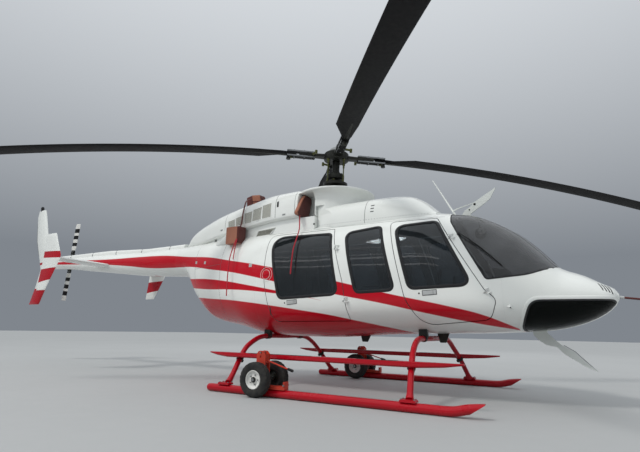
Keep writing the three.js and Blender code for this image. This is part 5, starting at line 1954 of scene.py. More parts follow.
    def rotor(self, make: Dresser) -> None:
        """The tail rotor with its banded blades.

        Args:
            make: what takes the finished pieces.
        """
        hub = capped(bent(self.rotor_hub)).turned(Matrix.Rotation(math.radians(-90), 4, "X"))
        yoke = slab(-48, 48, -16, 16, -230, 230, 0)
        bolts = gathered(rod((px, -24, pz), (px, 24, pz), 13) for px in (-26, 26) for pz in self.rotor_bolts)
        blades = []
        for way in (-1, 1):
            edges = [self.rotor_radius * reach for band in self.black_bands for reach in band]
            sections = [(200, 50, -50), (290, 80, -80), *((edge, 80, -80) for edge in edges), (795, 80, -80),
                        (self.rotor_radius, 66, -66)]
            blades.append(foil(sections, 22, lambda px, off, r, w=way: np.stack(
                [px * w, off, np.full(len(px), r * w)], axis=1), 4))
        place = Matrix.Translation(self.hub) @ Matrix.Rotation(math.radians(self.rotor_turn), 4, "Y")
        make.piece("tail_rotor_blades", gathered(blades).turned(place), "rim_enamel", "tail_rotor",
                   ["tail_rotor"], cuff=self.tail_black, cuff_finish="blade_coat")
        make.piece("tail_rotor_hub", (hub + yoke).turned(place), "oily_metal", "tail_rotor")
        make.piece("tail_rotor_bolts", bolts.turned(place), "bright_metal", "tail_rotor")

    def tail_black(self, middles: Array) -> Array:
        """Which faces of the tail rotor's blades are black: three bands near each tip.

        Args:
            middles: the middle of each face.

        Returns:
            A flag for each face.
        """
        turn = math.radians(self.rotor_turn)
        along = (-math.sin(turn), 0, -math.cos(turn))
        reach = np.abs((middles - np.array(self.hub)) @ along) / self.rotor_radius
        black = np.zeros(len(middles), bool)
        for low, high in self.black_bands:
            black |= (reach > low) & (reach < high)
        return black | (reach < self.black_root)


@dataclass
class Upperworks:
    """The fairings on the roof, the engine cowling, its intakes, screens and covers."""

    rim_z: float = 2440
    rim: float = 520
    mast_hole: float = 190
    intake: tuple[float, float, float, float] = (-290, -80, 2080, 2405)
    intake_inner: float = 215
    stack_low: Point = (-1290, 0, 2100)
    stack_high: Point = (-1400, 0, 2700)
    stack: float = 112
    stack_top: float = 2560
    seam: Point = (2.5, 0.5)
    lip: Profile = ((-4, 2496), (2, 2490), (14, 2519), (8, 2528), (-2, 2526))
    drum_low: Profile = ((430, 2100), (430, 2300), (436, 2335), (452, 2366), (480, 2390), (508, 2404))
    drum_rim: Profile = ((2, -30), (7.5, -22), (8, -12), (5, -4), (-3, 0), (-40, 6))
    screws: Point = (300, 2498.5)
    ramp_plan: Profile = ((195, 600), (195, 470), (-70, 375), (-70, 600))
    fairing_seam: float = 632
    fairing_slots: Point = (2040, 2080, 2120)
    cowling_seams: Profile = ((-640, 2110, 2440), (-330, 2126, 2440), (-1600, 2050, 2290))
    cowling_slot: Profile = ((-617, 2250), (-588, 2253), (-592, 2332), (-621, 2328))
    latches: Point = (-1700, -1290, -960, -520)
    window_edge: Profile = ((-7, -4), (-7, 1.5), (-3, 3.4), (6, 3.4), (8, 0.6), (8, -2))
    window_share: Point = (1.42, 1.1)
    vent: Profile = ((-958, 1973), (-669, 1989), (-751, 1901), (-973, 1887))
    slats: int = 9
    cover_low: float = 2475
    cover_high: float = 2622
    cover_turn: float = -51 - 22.5
    # The direction whose faces on the exhaust cover take painted sunlight.
    painted_light_way: Point = (0.629, -0.777)
    pad_edge: Profile = ((2094, 570), (2125, 585), (2340, 450), (2398, 395))
    strap: Profile = ((-1350, -154, 2560), (-1296, -300, 2492), (-1234, -408, 2424), (-1208, -484, 2240),
                      (-1197, -520, 2080), (-1192, -552, 2018))
    pad: Profile = ((300, 2095), (225, 2330), (238, 2392), (395, 2398), (450, 2340), (585, 2125), (570, 2095))
    windows: tuple[Profile, ...] = (
        ((-1514, 2172), (-1401, 2188), (-1391, 2075), (-1504, 2061)),
        ((-1359, 2197), (-1234, 2219), (-1225, 2091), (-1350, 2079)),
        ((-1181, 2243), (-1064, 2254), (-1070, 2099), (-1170, 2093)),
        ((-1017, 2270), (-894, 2291), (-894, 2121), (-1021, 2110)),
        ((-846, 2304), (-732, 2322), (-732, 2134), (-855, 2124)),
    )

    def build(self, make: Dresser) -> None:
        """Make every piece over the roof line.

        Args:
            make: what takes the finished pieces.
        """
        self.roof_cut = hull_room()
        self.drum(make)
        self.fairing(make)
        self.cowling(make)
        self.screens(make)
        self.exhaust(make)
        self.covers(make)

    def mouth(self, side: Side, start: float, end: float) -> Form:
        """The room of the air intake on one side.

        Args:
            side: the side of the machine.
            start: lowest x.
            end: highest x.

        Returns:
            The solid.
        """
        _, _, low, high = self.intake
        near, far = sorted((side.value * self.intake_inner, side.value * 700))
        return slab(start, end, near, far, low, high)

    def drum(self, make: Dresser) -> None:
        """The round fairing below the rotor, with its rolled rim.

        Args:
            make: what takes the finished pieces.
        """
        hole, rim, top = self.mast_hole, self.rim, self.rim_z
        profile = [(hole, 2100), *self.drum_low, *((rim + r, top + z) for r, z in self.drum_rim),
                   (430, top + 27), (330, 2492), (hole + 30, 2515), (hole + 6, 2520), (hole, 2514)]
        drum = turned(profile, 120)
        for side in Side:
            drum = less(drum, self.mouth(side, -700, self.intake[1]), self.ramp(side))
        make.piece("mast_fairing_skin", drum, "white_gloss", replaces=["mast_fairing"], smooth=40)
        bolts = [(math.cos(a), math.sin(a)) for a in turns(24)]
        reach, level = self.screws
        points = np.array([(c * reach, s * reach, level) for c, s in bolts])
        ways = np.array([(0.12 * c, 0.12 * s, 1) for c, s in bolts])
        make.piece("mast_fairing_screws", studs(points, ways, 6, 2), "grey_trim")
        lip = turned([(hole + r, z) for r, z in self.lip], 72)
        make.piece("mast_opening_lip", lip, "rubber_and_hole_shade")

    def drum_room(self) -> Form:
        """What the round fairing takes out of its neighbours."""
        return capped([(0, 1800), (self.mast_hole, 1800), (self.mast_hole, 2099.7), (430.3, 2099.7),
                       (430.3, 2300), (455.3, 2370), (529, 2412), (529, 2700), (0, 2700)], 96)

    def ramp(self, side: Side) -> Form:
        """The shallow ramp that leads back into the air intake."""
        return ringed(np.array([[(x, side.value * y, z) for x, y in self.ramp_plan] for z in (1890, 2220)]))

    def fairing(self, make: Dresser) -> None:
        """The forward fairing with the ramp in each side and its seams.

        Args:
            make: what takes the finished pieces.
        """
        body = FORWARD_FAIRING.solid(-60, 1450, gap=60)
        body = less(body, self.roof_cut, self.drum_room())
        for side in Side:
            body = less(body, self.ramp(side))
        make.piece("forward_fairing_skin", body, "white_gloss", replaces=["forward_fairing"],
                   loft=FORWARD_FAIRING)
        for side in Side:
            seam = self.drop(FORWARD_FAIRING, self.fairing_seam, side, 1912, 2270)
            line = welt(seam, FORWARD_FAIRING, flat_strip(*self.seam), closed=False)
            make.piece(f"fairing_seam_{side.word}", line, "line_shadow")
            for index, z in enumerate(self.fairing_slots):
                # Each slot is a black patch: painted shade in the opening.
                slot = patch([(700, z), (742, z + 2), (742, z + 13), (700, z + 11)], FORWARD_FAIRING, side,
                             0.9, 2, 3)
                make.piece(f"fairing_slot_{side.word}_{index + 1}", slot, "rubber_and_hole_shade")
            xs = np.arange(40, 1400, 34)
            points = FORWARD_FAIRING.on_side([(x, 1938 + 0.02 * x) for x in xs], side)
            screws = studs(points, FORWARD_FAIRING.normal(points), 5, 1.2)
            make.piece(f"fairing_screws_{side.word}", screws, "grey_trim")

    @staticmethod
    def drop(loft: Loft, x: float, side: Side, low: float, high: float) -> Array:
        """A line down the side of a body."""
        return loft.on_side([(x, z) for z in np.linspace(low, high, 24)], side)

    def cowling(self, make: Dresser) -> None:
        """The engine cowling over its deck, with a scoop on each side.

        Args:
            make: what takes the finished pieces.
        """
        cowl = joined(COWLING.solid(-2620, -60.3, gap=60), ENGINE_DECK.solid(-2550, -60.3, gap=120, ring=64))
        table = np.array(SCOOP, float)
        xs = np.linspace(table[0, 0], table[-1, 0], 14)
        angle = turns(36)
        for side in Side:
            rings = []
            for x in xs:
                z, high, y, wide = (float(np.interp(x, table[:, 0], table[:, k])) for k in range(1, 5))
                ys, zs = side.value * (y + wide * np.cos(angle)), z + high * np.sin(angle)
                rings.append(np.stack([np.full(len(angle), x), ys, zs], axis=1))
            cowl = joined(cowl, ringed(np.array(rings)))
        room = joined(COWLING.solid(-2400, -560, 25, 200, 48), slab(-1900, -560, -290, 290, 1800, 2100))
        hole = rod(self.stack_low, self.stack_high, self.stack + FIT, sides=40)
        cowl = less(cowl, self.roof_cut, self.drum_room(), room, hole)
        for side in Side:
            cowl = less(cowl, self.mouth(side, self.intake[0], 0))
        make.piece("engine_cowling_skin", cowl, "white_gloss", replaces=["engine_cowling"], loft=COWLING)
        for side in Side:
            for index, (x, low, high) in enumerate(self.cowling_seams):
                seam = self.drop(COWLING, x, side, low, high)
                line = welt(seam, COWLING, flat_strip(*self.seam), closed=False)
                make.piece(f"cowling_seam_{side.word}_{index + 1}", line, "line_shadow")
            # The slot is a black patch: painted shade in the opening.
            slot = patch(self.cowling_slot, COWLING, side, 1.4, 3, 4)
            make.piece(f"cowling_slot_{side.word}", slot, "rubber_and_hole_shade")
            for index, x in enumerate(self.latches):
                rise = 0.06 * (x + 1000)
                corners = [(x, 2095 + rise), (x + 46, 2098 + rise), (x + 46, 2118 + rise), (x, 2115 + rise)]
                latch = patch(corners, COWLING, side, 2.2, 3, 3)
                make.piece(f"cowling_latch_{side.word}_{index + 1}", latch, "grey_trim")

    def screens(self, make: Dresser) -> None:
        """The mesh windows along the cowling and the louvred vent below them.

        Args:
            make: what takes the finished pieces.
        """
        for side in Side:
            frames, meshes = [], []
            for corners in self.windows:
                flat = np.array(corners, float)
                flat = flat.mean(axis=0) + (flat - flat.mean(axis=0)) * self.window_share
                loop = spread(rounded([(x, z, 12) for x, z in flat], 3), 30)
                path = COWLING.on_side(loop, side)
                frames.append(welt(path, COWLING, handed(self.window_edge, side)))
                meshes.append(patch(flat, COWLING, side, 0.8, 3, 12))
            make.piece(f"cowling_window_frames_{side.word}", gathered(frames), "white_gloss")
            make.piece(f"cowling_window_mesh_{side.word}", gathered(meshes), "mesh_screen")
            skin = [np.array((x, side.value * self.deck_y(x, z), z)) for x, z in self.vent]
            make.piece(f"deck_vent_{side.word}", self.louvre(skin, side), "mesh_screen")
            rim = [a + (b - a) * t for a, b in zip(skin, skin[1:] + skin[:1]) for t in (0, 0.34, 0.67)]
            make.piece(f"deck_vent_frame_{side.word}", tube(rim + rim[:1], 7, 8), "white_gloss")

    @staticmethod
    def deck_y(x: float, z: float) -> float:
        """Half the width of what is seen at a place below the cowling."""
        return max(float(ENGINE_DECK.half_width(x, z)[0]), float(FUSELAGE.half_width(x, z)[0])) + 1.5

    def louvre(self, corners: Sequence[Array], side: Side) -> Form:
        """Slats within four corners on the side of the deck.

        Args:
            corners: the four corners.
            side: the side of the machine.

        Returns:
            The slats as one form.
        """
        a, b, c, d = corners
        slats = []
        for k in range(self.slats):
            t0, t1 = k / self.slats, (k + 0.72) / self.slats
            quad = [a + (d - a) * t0, b + (c - b) * t0, b + (c - b) * t1, a + (d - a) * t1]
            outer = [p + np.array((0, side.value * (2 + 6 * (i in (2, 3))), 0)) for i, p in enumerate(quad)]
            inner = [p - np.array((0, side.value * 6, 0)) for p in quad]
            verts = np.vstack([outer, inner])
            slats.append(Form(verts, [(0, 1, 2, 3), (7, 6, 5, 4), (0, 4, 5, 1), (1, 5, 6, 2), (2, 6, 7, 3),
                                      (3, 7, 4, 0)]).outward())
        return gathered(slats)

    def stack_at(self, z: float) -> Array:
        """The middle of the exhaust at a height."""
        low, high = np.array(self.stack_low, float), np.array(self.stack_high, float)
        return low + (high - low) * (z - low[2]) / (high[2] - low[2])

    def exhaust(self, make: Dresser) -> None:
        """The exhaust stack.

        Args:
            make: what takes the finished pieces.
        """
        outer = rod(self.stack_at(2141), self.stack_at(2640), self.stack, sides=48)
        outer = less(outer, rod(self.stack_at(2200), self.stack_at(2640), self.stack - 8, sides=48),
                     slab(-FAR, FAR, -FAR, FAR, self.stack_top, FAR))
        block = less(slab(-1850, -860, -280, 280, 1960, 2150, 30), self.roof_cut)
        make.piece("engine_and_stack", joined(block, outer), "oily_metal", replaces=["engine"])

    def covers(self, make: Dresser) -> None:
        """The padded covers of the parked machine and their strap.

        Args:
            make: what takes the finished pieces.
        """
        for side in Side:
            back = self.intake[0] + FIT
            pad = padded_block(self.pad, back, back + 50, side)
            # The pad's outer side is painted lighter: painted sunlight on the face that the light falls on.
            thing = make.piece(f"intake_cover_{side.word}_pad", pad, "cover_cloth",
                               replaces=[f"intake_cover_{side.word}"], smooth=60, cuff=self.lit_outer_side,
                               cuff_finish="cover_cloth_lit")
        low, high = self.stack_at(self.cover_low), self.stack_at(self.cover_high)
        lie = (high - low) / np.linalg.norm(high - low)
        tall = float(np.linalg.norm(high - low))
        cup = [(self.stack + FIT + 2, 2), (148, 0), (151, 12), (149, 50), (151, 90), (148, tall - 26),
               (138, tall - 8), (110, tall - 1), (0, tall)]
        spin = Matrix.Rotation(math.radians(self.cover_turn), 4, "Z")
        cup_form = capped([(0, tall - 62), (self.stack + 1, tall - 62)] + bent(cup), 8).turned(spin)
        # Faces towards the light are painted lighter: painted sunlight on the exhaust cover.
        make.piece("exhaust_cover", aimed(cup_form, low, lie), "cover_cloth", replaces=["engine_covers"],
                   smooth=24, cuff=self.sunlit_faces, cuff_finish="cover_cloth_lit")
        band = turned([(147, 20), (152.5, 21), (152.5, 41), (147, 42)], 8).turned(spin)
        make.piece("exhaust_cover_band", aimed(band, low, lie), "cover_cloth")
        block = slab(-1399.7, -1160, -605, -440, 1800, 2030, 34)
        deck = ENGINE_DECK.solid(-2550, -60.3, -FIT, 120, 64)
        cowl = COWLING.solid(-2620, -60.3, -FIT, 120, 64)
        side_cover = less(block, self.roof_cut, deck, cowl)
        # The scoop cover is painted lighter as painted sunlight, all but its forward faces, which keep the
        # cloth's own colour.
        make.piece("scoop_cover", side_cover, "cover_cloth_lit", smooth=50, cuff=lambda m: m[:, 0] > -1200,
                   cuff_finish="cover_cloth")
        make.piece("cover_strap", ribbon(smooth_path(self.strap, 40), 24, 5), "cover_cloth")

    def lit_outer_side(self, middles: Array) -> Array:
        """Which faces of an intake's cover are its outer side, which takes painted sunlight."""
        edge = np.interp(middles[:, 2], *zip(*self.pad_edge))
        return np.abs(middles[:, 1]) > edge - 16

    def sunlit_faces(self, middles: Array) -> Array:
        """Which faces of the exhaust's cover face the light and take painted sunlight."""
        flat = middles[:, :2] - self.stack_at(2540)[:2]
        return (flat @ self.painted_light_way > 118) & (middles[:, 2] > 2482)


def ribbon(path: Array, wide: float, thick: float) -> Form:
    """A flat strap along a line of points, wide along x.

    Args:
        path: the points of its middle.
        wide: its width.
        thick: its thickness.

    Returns:
        The solid.
    """
    ahead = np.gradient(path, axis=0)
    ahead /= np.linalg.norm(ahead, axis=1, keepdims=True)
    across_way = np.array([1.0, 0, 0]) - ahead * ahead[:, :1]
    across_way /= np.linalg.norm(across_way, axis=1, keepdims=True)
    face = np.cross(ahead, across_way)
    w, t = wide / 2, thick / 2
    profile = [(-w, -t * 0.4), (-w * 0.9, -t), (w * 0.9, -t), (w, -t * 0.4), (w, t * 0.4), (w * 0.9, t),
               (-w * 0.9, t), (-w, t * 0.4)]
    rings = np.array([[p + across_way[i] * u + face[i] * v for u, v in profile] for i, p in enumerate(path)])
    return ringed(rings)


def padded_block(outline: Sequence[Point], back: float, front: float, side: Side) -> Form:
    """A soft pad with a crowned face and sewn edges, in the front view.

    Args:
        outline: its corners as distance from the middle and z.
        back: x of its flat back.
        front: x of its sewn front edge.
        side: the side of the machine.

    Returns:
        The solid.
    """
    base = spread(rounded([(y, z, 26) for y, z in outline], 6), 18)
    middle = base.mean(axis=0)
    rings = []
    for share, depth in ((0.93, 0.0), (0.985, 0.06), (1.0, 0.2), (0.99, 0.5), (1.0, 0.8), (0.985, 0.93),
                         (0.95, 0.97), (0.93, 0.93), (0.86, 1.02), (0.6, 1.10), (0.3, 1.14), (0.04, 1.15)):
        loop = middle + (base - middle) * share
        x = back + (front - back) * depth * 0.93
        rings.append([(x, side.value * y, z) for y, z in loop])
    return ringed(np.array(rings))


@dataclass
class MainRotor:
    """The mast, the head and the four blades."""

    centre: Point = (0, 0, 3020)
    tilt: float = 2
    park: float = 37
    radius: float = 5335
    droop: float = 470
    droop_start: float = 400
    blade_thick: Profile = ((750, 46.8), (1080, 34), (5275, 34), (5335, 14))
    collar: Profile = ((50.5, -330), (108, -330), (120, -318), (120, -262), (104, -250), (50.5, -250))
    plate: Profile = ((50.5, -425), (150, -425), (168, -418), (168, -384), (150, -375), (110, -375),
                      (104, -362), (70, -362), (64, -375), (50.5, -375))
    disc: Profile = ((51, -60), (150, -60), (170, -48), (170, 44), (152, 60), (51, 60))
    disc_top: Profile = ((60, 60), (128, 60), (132, 66), (128, 74), (60, 74))
    dome: Profile = ((0, 50), (118, 50), (116, 66), (104, 96), (84, 122), (58, 142), (35, 152), (0, 156))
    yoke: Profile = ((96, 72, 22), (200, 60, 20), (300, 52, 20), (520, 55, 20))
    grip_bolts: Profile = ((340, 0), (590, 0), (590, 30), (590, -30), (650, 26), (650, -26), (450, 34),
                           (450, -34))
    link_lead: float = 0.62
    link_circle: float = 150
    sections: Profile = ((560, 55, 40), (720, 62, 46), (760, 70, 60), (1080, 90, 180), (4900, 90, 180),
                         (5275, 88, 178), (5335, 60, 165))
    grip_x: Point = (300, 690)
    grip_half: float = 48
    grip_faces: Profile = ((24, 44), (-44, -24))
    edge_strips: Profile = ((-47.5, 23.8), (-47.5, -44.2), (47.5, 23.8), (47.5, -44.2))
    edge_strip: Point = (1.6, 20.4)
    bearing: Point = (300, 420, -60, 60, -23.5, 23.5, 14)
    bearing_caps: Point = (340, 590)
    horn_foot: Point = (330, 60, 0)
    horn_end: Point = (300, 148, 4)
    stop_x: float = 640
    weight_x: float = 668
    link_z: Point = (-392, -70)
    link_nuts: Point = (-370, -92)

    @property
    def place(self) -> Matrix:
        """The head's place and its forward tilt."""
        return Matrix.Translation(self.centre) @ Matrix.Rotation(math.radians(self.tilt), 4, "Y")

    def build(self, make: Dresser) -> None:
        """Make every piece of the rotor.

        Args:
            make: what takes the finished pieces.
        """
        self.mast(make)
        self.head(make)
        for index in range(4):
            self.blade(make, index)

    def mast(self, make: Dresser) -> None:
        """The mast with its collar, links and the plate that moves them.

        Args:
            make: what takes the finished pieces.
        """
        mast = capped(bent([(0, -700), (50, -700), (50, -60), (0, -60)]))
        make.piece("rotor_mast_tube", mast.turned(self.place), "oily_metal", "main_rotor", ["rotor_mast"])
        collar = turned(bent(self.collar), 64)
        spots = [(96 * math.cos(a), 96 * math.sin(a)) for a in turns(12)]
        bolts = gathered(rod((x, y, -252), (x, y, -240), 8, 7, 6) for x, y in spots)
        make.piece("mast_collar", (collar + bolts).turned(self.place), "oily_metal", "main_rotor")
        make.piece("swashplate", turned(self.plate, 64).turned(self.place), "dark_fitting", "main_rotor")
        scissors = gathered(slab(-16, 16, 52, 96, z0, z1, 4).turned(Matrix.Rotation(a, 4, "Z"))
                            for a in (0.2, math.pi + 0.2) for z0, z1 in ((-372, -352), (-348, -332)))
        make.piece("rotor_scissors", scissors.turned(self.place), "primer_green", "main_rotor")

    def arm(self, index: int) -> Matrix:
        """The place and turn of one blade's arm."""
        angle = math.radians(self.park + 90 * index)
        return self.place @ Matrix.Rotation(angle, 4, "Z")

    def head(self, make: Dresser) -> None:
        """The star plates, dome, grips, dampers and pitch links.

        Args:
            make: what takes the finished pieces.
        """
        disc = turned(bent(self.disc), 64) + turned(self.disc_top, 48)
        make.piece("hub_discs", disc.turned(self.place), "oily_metal", "main_rotor", ["rotor_hub"])
        dome = capped(bent(self.dome, 4), 48)
        make.piece("hub_dome", dome.turned(self.place), "grey_trim", "main_rotor")
        yokes, plates, blocks, bright, green = [], [], [], [], []
        for index in range(4):
            arm = self.arm(index)
            yokes.append(self.beam(self.yoke).turned(arm))
            for low, high in self.grip_faces:
                plate = slab(*self.grip_x, -self.grip_half, self.grip_half, low, high, 26)
                plates.append(plate.turned(arm))
            blocks.append(slab(*self.bearing).turned(arm))
            caps = gathered(rod((x, 0, 44), (x, 0, 54), 30, 28, 24) for x in self.bearing_caps)
            blocks.append(caps.turned(arm))
            for x, y in self.grip_bolts:
                bright.append(rod((x, y, 42), (x, y, 60 if y == 0 else 53), 11 if y == 0 else 8,
                                  sides=6).turned(arm))
                bright.append(rod((x, y, -42), (x, y, -56), 9, sides=6).turned(arm))
            half, tall = self.edge_strip
            (start, end), (x, y, _) = self.grip_x, self.horn_end
            for at, low in self.edge_strips:
                bright.append(slab(start + 2, end - 2, at - half, at + half, low, low + tall).turned(arm))
            horn = rod(self.horn_foot, self.horn_end, 17, 13)
            green.append((horn + rod((x, y, -26), (x, y, 24), 18, sides=16)).turned(arm))
            green.append(rod((self.stop_x, 0, -60), (self.stop_x, 0, -44), 26, sides=20).turned(arm))
            weight = rod((self.weight_x, 0, -84), (self.weight_x, 0, -46), 30, 26, 24)
            yokes.append(weight.turned(arm))
        for form, name, finish in ((yokes, "hub_yokes", "dark_fitting"),
                                   (plates, "grip_plates", "blade_coat"),
                                   (blocks, "hub_bearings", "oily_metal"),
                                   (bright, "hub_bolts", "bright_metal"),
                                   (green, "pitch_horns", "primer_green")):
            make.piece(name, gathered(form), finish, "main_rotor")
        links = []
        for index in range(4):
            angle = math.radians(self.park + 90 * index) + self.link_lead
            c, s = math.cos(angle), math.sin(angle)
            x, y = self.link_circle * c, self.link_circle * s
            links.append(rod((x, y, self.link_z[0]), (x, y, self.link_z[1]), 8, sides=14))
            links += [rod((x, y, z - 22), (x, y, z + 22), 13, sides=6) for z in self.link_nuts]
            links.append(rod((136 * c, 136 * s, -66), (164 * c, 164 * s, -66), 15, sides=18))
        make.piece("pitch_links", gathered(links).turned(self.place), "primer_green", "main_rotor")

    @staticmethod
    def beam(rows: Sequence[Point]) -> Form:
        """A flat beam along x, from its place, half width and half height.

        Args:
            rows: the place, half width and half height of each section.

        Returns:
            The solid.
        """
        rings = []
        for x, half, tall in rows:
            flat = rounded([(-half, -tall, 9), (half, -tall, 9), (half, tall, 9), (-half, tall, 9)], 3)
            rings.append([(x, y, z) for y, z in flat])
        return ringed(np.array(rings))

    def thick(self, reach: float) -> float:
        """A blade's thickness at a place along it."""
        return float(np.interp(reach, *zip(*self.blade_thick)))

    def drop(self, reach: float) -> float:
        """How far a blade hangs down at a place along it."""
        share = max(reach - self.droop_start, 0) / (self.radius - self.droop_start)
        return self.droop * share ** 2

    def blade(self, make: Dresser, index: int) -> None:
        """One blade with its root fitting, hanging a little by its weight.

        Args:
            make: what takes the finished pieces.
            index: which blade it is.
        """
        table = np.array(self.sections, float)
        stations = np.unique(np.concatenate([
            table[:, 0], np.linspace(760, 1080, 9), np.linspace(1080, 4900, 48),
            np.linspace(5275, self.radius, 6)]))
        shape = blade_section(11)
        rings = []
        for reach in stations:
            lead, trail = (float(np.interp(reach, table[:, 0], table[:, k])) for k in (1, 2))
            y = -trail + (lead + trail) * shape[:, 0]
            z = shape[:, 1] * self.thick(reach) - self.drop(reach)
            rings.append(np.stack([np.full(len(y), reach), y, z], axis=1))
        arm, name = self.arm(index), f"main_blade_{index + 1}"
        blade = ringed(np.array(rings)).turned(arm)
        make.piece(f"{name}_skin", blade, "blade_coat", "main_rotor", [name], smooth=50)
        doublers = gathered(self.doubler(reach) for reach in (1000, 1180)).turned(arm)
        make.piece(f"{name}_doubler", doublers, "oily_metal", "main_rotor")

    def doubler(self, end: float) -> Form:
        """A thin tapered doubler on both faces of a blade's root.

        Args:
            end: how far out it reaches.

        Returns:
            The solid.
        """
        faces = []
        for way in (1, -1):
            rows = []
            for reach in np.linspace(600, end, 12):
                half = 34 * (1 - 0.75 * (reach - 600) / (end - 600))
                low = way * self.thick(reach) / 2 * 0.98 - self.drop(reach)
                high = way * (self.thick(reach) / 2 + 2.4) - self.drop(reach)
                rows.append([(reach, -half, low), (reach, half, low), (reach, half * 0.8, high),
                             (reach, -half * 0.8, high)])
            faces.append(ringed(np.array(rows)))
        return faces[0] + faces[1]


@dataclass
class SkidGear:
    """The skids, cross tubes and steps, and the handling wheels."""

    skid_y: float = 1232
    skid_radius: float = 40
    wheel_x: float = -190
    axle_z: float = 173
    outer_offset: float = 112
    inner_offset: float = 205
    step_y: float = 1000
    step_top: float = 404
    clamp_y: float = 370
    collar_spot: Point = (958, 350)
    collar: Profile = ((29, -22), (38, -22), (40, -16), (40, 16), (38, 22), (29, 22))
    clamp_ring: Profile = ((29, -9), (37, -9), (37, 9), (29, 9))
    clamp_shifts: Point = (-18, 18)
    clamp_block: Point = (46, 30, 740)
    leg_lug: Point = (-14, 14, 34, 58, -13, 13, 4)
    saddle: Profile = ((-80, 83, 10), (80, 83, 10), (64, 106, 14), (-64, 106, 14))
    saddle_half: float = 42
    saddle_bolts: Profile = ((-58, -28), (-58, 28), (58, -28), (58, 28))
    skid_line: Profile = ((-907, 42), (-300, 42), (600, 42), (1500, 42), (1760, 46), (1880, 72), (2012, 86))
    shoe: Point = (-600, 1500)
    grip_pads: Profile = ((-560, 250), (780, 1200))
    plate: Profile = ((-255, 82.6, 4), (-125, 82.6, 4), (-125, 250, 30), (-128, 420, 20), (-160, 452, 26),
                      (-215, 452, 26), (-240, 420, 18), (-240, 330, 30), (-255, 250, 30))
    plate_off: Point = (34, 42)
    plate_holes: Profile = ((300, 22), (390, 15))
    plate_x: float = -185
    bracket_blocks: Profile = ((-238, -130, 34, 332, 418, 6), (-254, 119, 39, 82.6, 115, 5),
                               (96, 120, 36, 90, 160, 5))
    axle_past: float = 42
    axle_radius: float = 11.9
    axle_collar: Point = (58, 24)
    grip_line: Profile = ((128, 285), (190, 268))
    pins: Profile = ((-185, 55, 436, 8), (108, 46, 128, 9))
    lever: Profile = ((-150, 360), (-40, 331), (70, 300), (142, 281))
    rim: Profile = ((12.9, -26), (30, -26), (34, -20), (34, -4), (62, 4), (76, 8), (80, -34), (92, -40),
                    (92, 40), (87, 44), (82, 41), (76, 28), (62, 18), (40, 16), (34, 26), (12.9, 26))
    hub: Profile = ((12.9, 26), (27, 26), (27, 36), (20, 40), (12.9, 40))
    nut_circle: float = 48
    block_depth: float = 4.0
    half_tread: Profile = ((92.3, 36), (99, 45), (118, 53), (138, 55), (152, 53), (162, 47), (168, 38),
                           (170.5, 28), (165, 26.5), (165, 22), (171.4, 20), (172, 6), (166, 4))
    step_plan: Profile = ((-1135, 12), (-1020, 40), (-850, 52), (1400, 52), (1640, 42), (1812, 12))
    step_keel: Profile = ((-1135, 391), (-1010, 370), (-850, 354), (1400, 352), (1640, 366), (1812, 389))

    def build(self, make: Dresser) -> None:
        """Make every piece of the landing gear.

        Args:
            make: what takes the finished pieces.
        """
        for name in CROSS_TUBES:
            self.cross_tube(make, name)
        for side in Side:
            self.skid(make, side)
            self.step(make, side)
            self.bracket(make, side)
            self.wheels(make, side)

    def cross_tube(self, make: Dresser, name: str) -> None:
        """A cross tube with its saddles on the skids and its clamps under the belly.

        Args:
            make: what takes the finished pieces.
            name: the cross tube.
        """
        top, foot = CROSS_TUBES[name][0][0], CROSS_TUBES[name][-1][0]
        path = cross_path(name, 110)
        flare = TUBE_RADIUS + np.clip((150 - path[:, 2]) / 54, 0, 1) ** 1.5 * 12
        body = tube(path, flare, 32)
        make.piece(f"{name}_tube", body, "red_gloss_shaded", replaces=[f"{name}_cross_tube"])
        saddles, clamps, bolts = [], [], []
        for side in Side:
            y = side.value * self.skid_y
            shape = rounded(self.saddle, 3)
            saddles.append(ringed(np.array([[(foot + px, py, z) for px, z in shape]
                                            for py in (y - self.saddle_half, y + self.saddle_half)])))
            bolts += [rod((foot + dx, y + dy, 100), (foot + dx, y + dy, 112), 9, 8, 6)
                      for dx, dy in self.saddle_bolts]
            spot = (side.value * self.collar_spot[0], self.collar_spot[1])
            leg = np.argmin(np.linalg.norm(path[:, 1:] - spot, axis=1))
            way = path[leg + 1] - path[leg - 1]
            clamps.append(aimed(turned(self.collar, 32), path[leg], way))
            clamps.append(aimed(slab(*self.leg_lug), path[leg], way))
            for shift in self.clamp_shifts:
                middle = path[np.argmin(abs(path[:, 1] - side.value * (self.clamp_y + shift)))]
                clamps.append(aimed(turned(self.clamp_ring, 32), middle, (0, 1, 0)))
            under = float(np.interp(self.clamp_y, path[len(path) // 2:, 1], path[len(path) // 2:, 2]))
            at = side.value * self.clamp_y
            long, wide, roof = self.clamp_block
            block = slab(top - long, top + long, at - wide, at + wide, under, roof, 8)
            clamps.append(less(block, hull_room(), tube(path, TUBE_RADIUS + 0.2, 32)))
        make.piece(f"{name}_saddles", gathered(saddles), "red_gloss_shaded")
        make.piece(f"{name}_clamps", gathered(clamps), "dark_fitting")
        make.piece(f"{name}_saddle_bolts", gathered(bolts), "bright_metal")

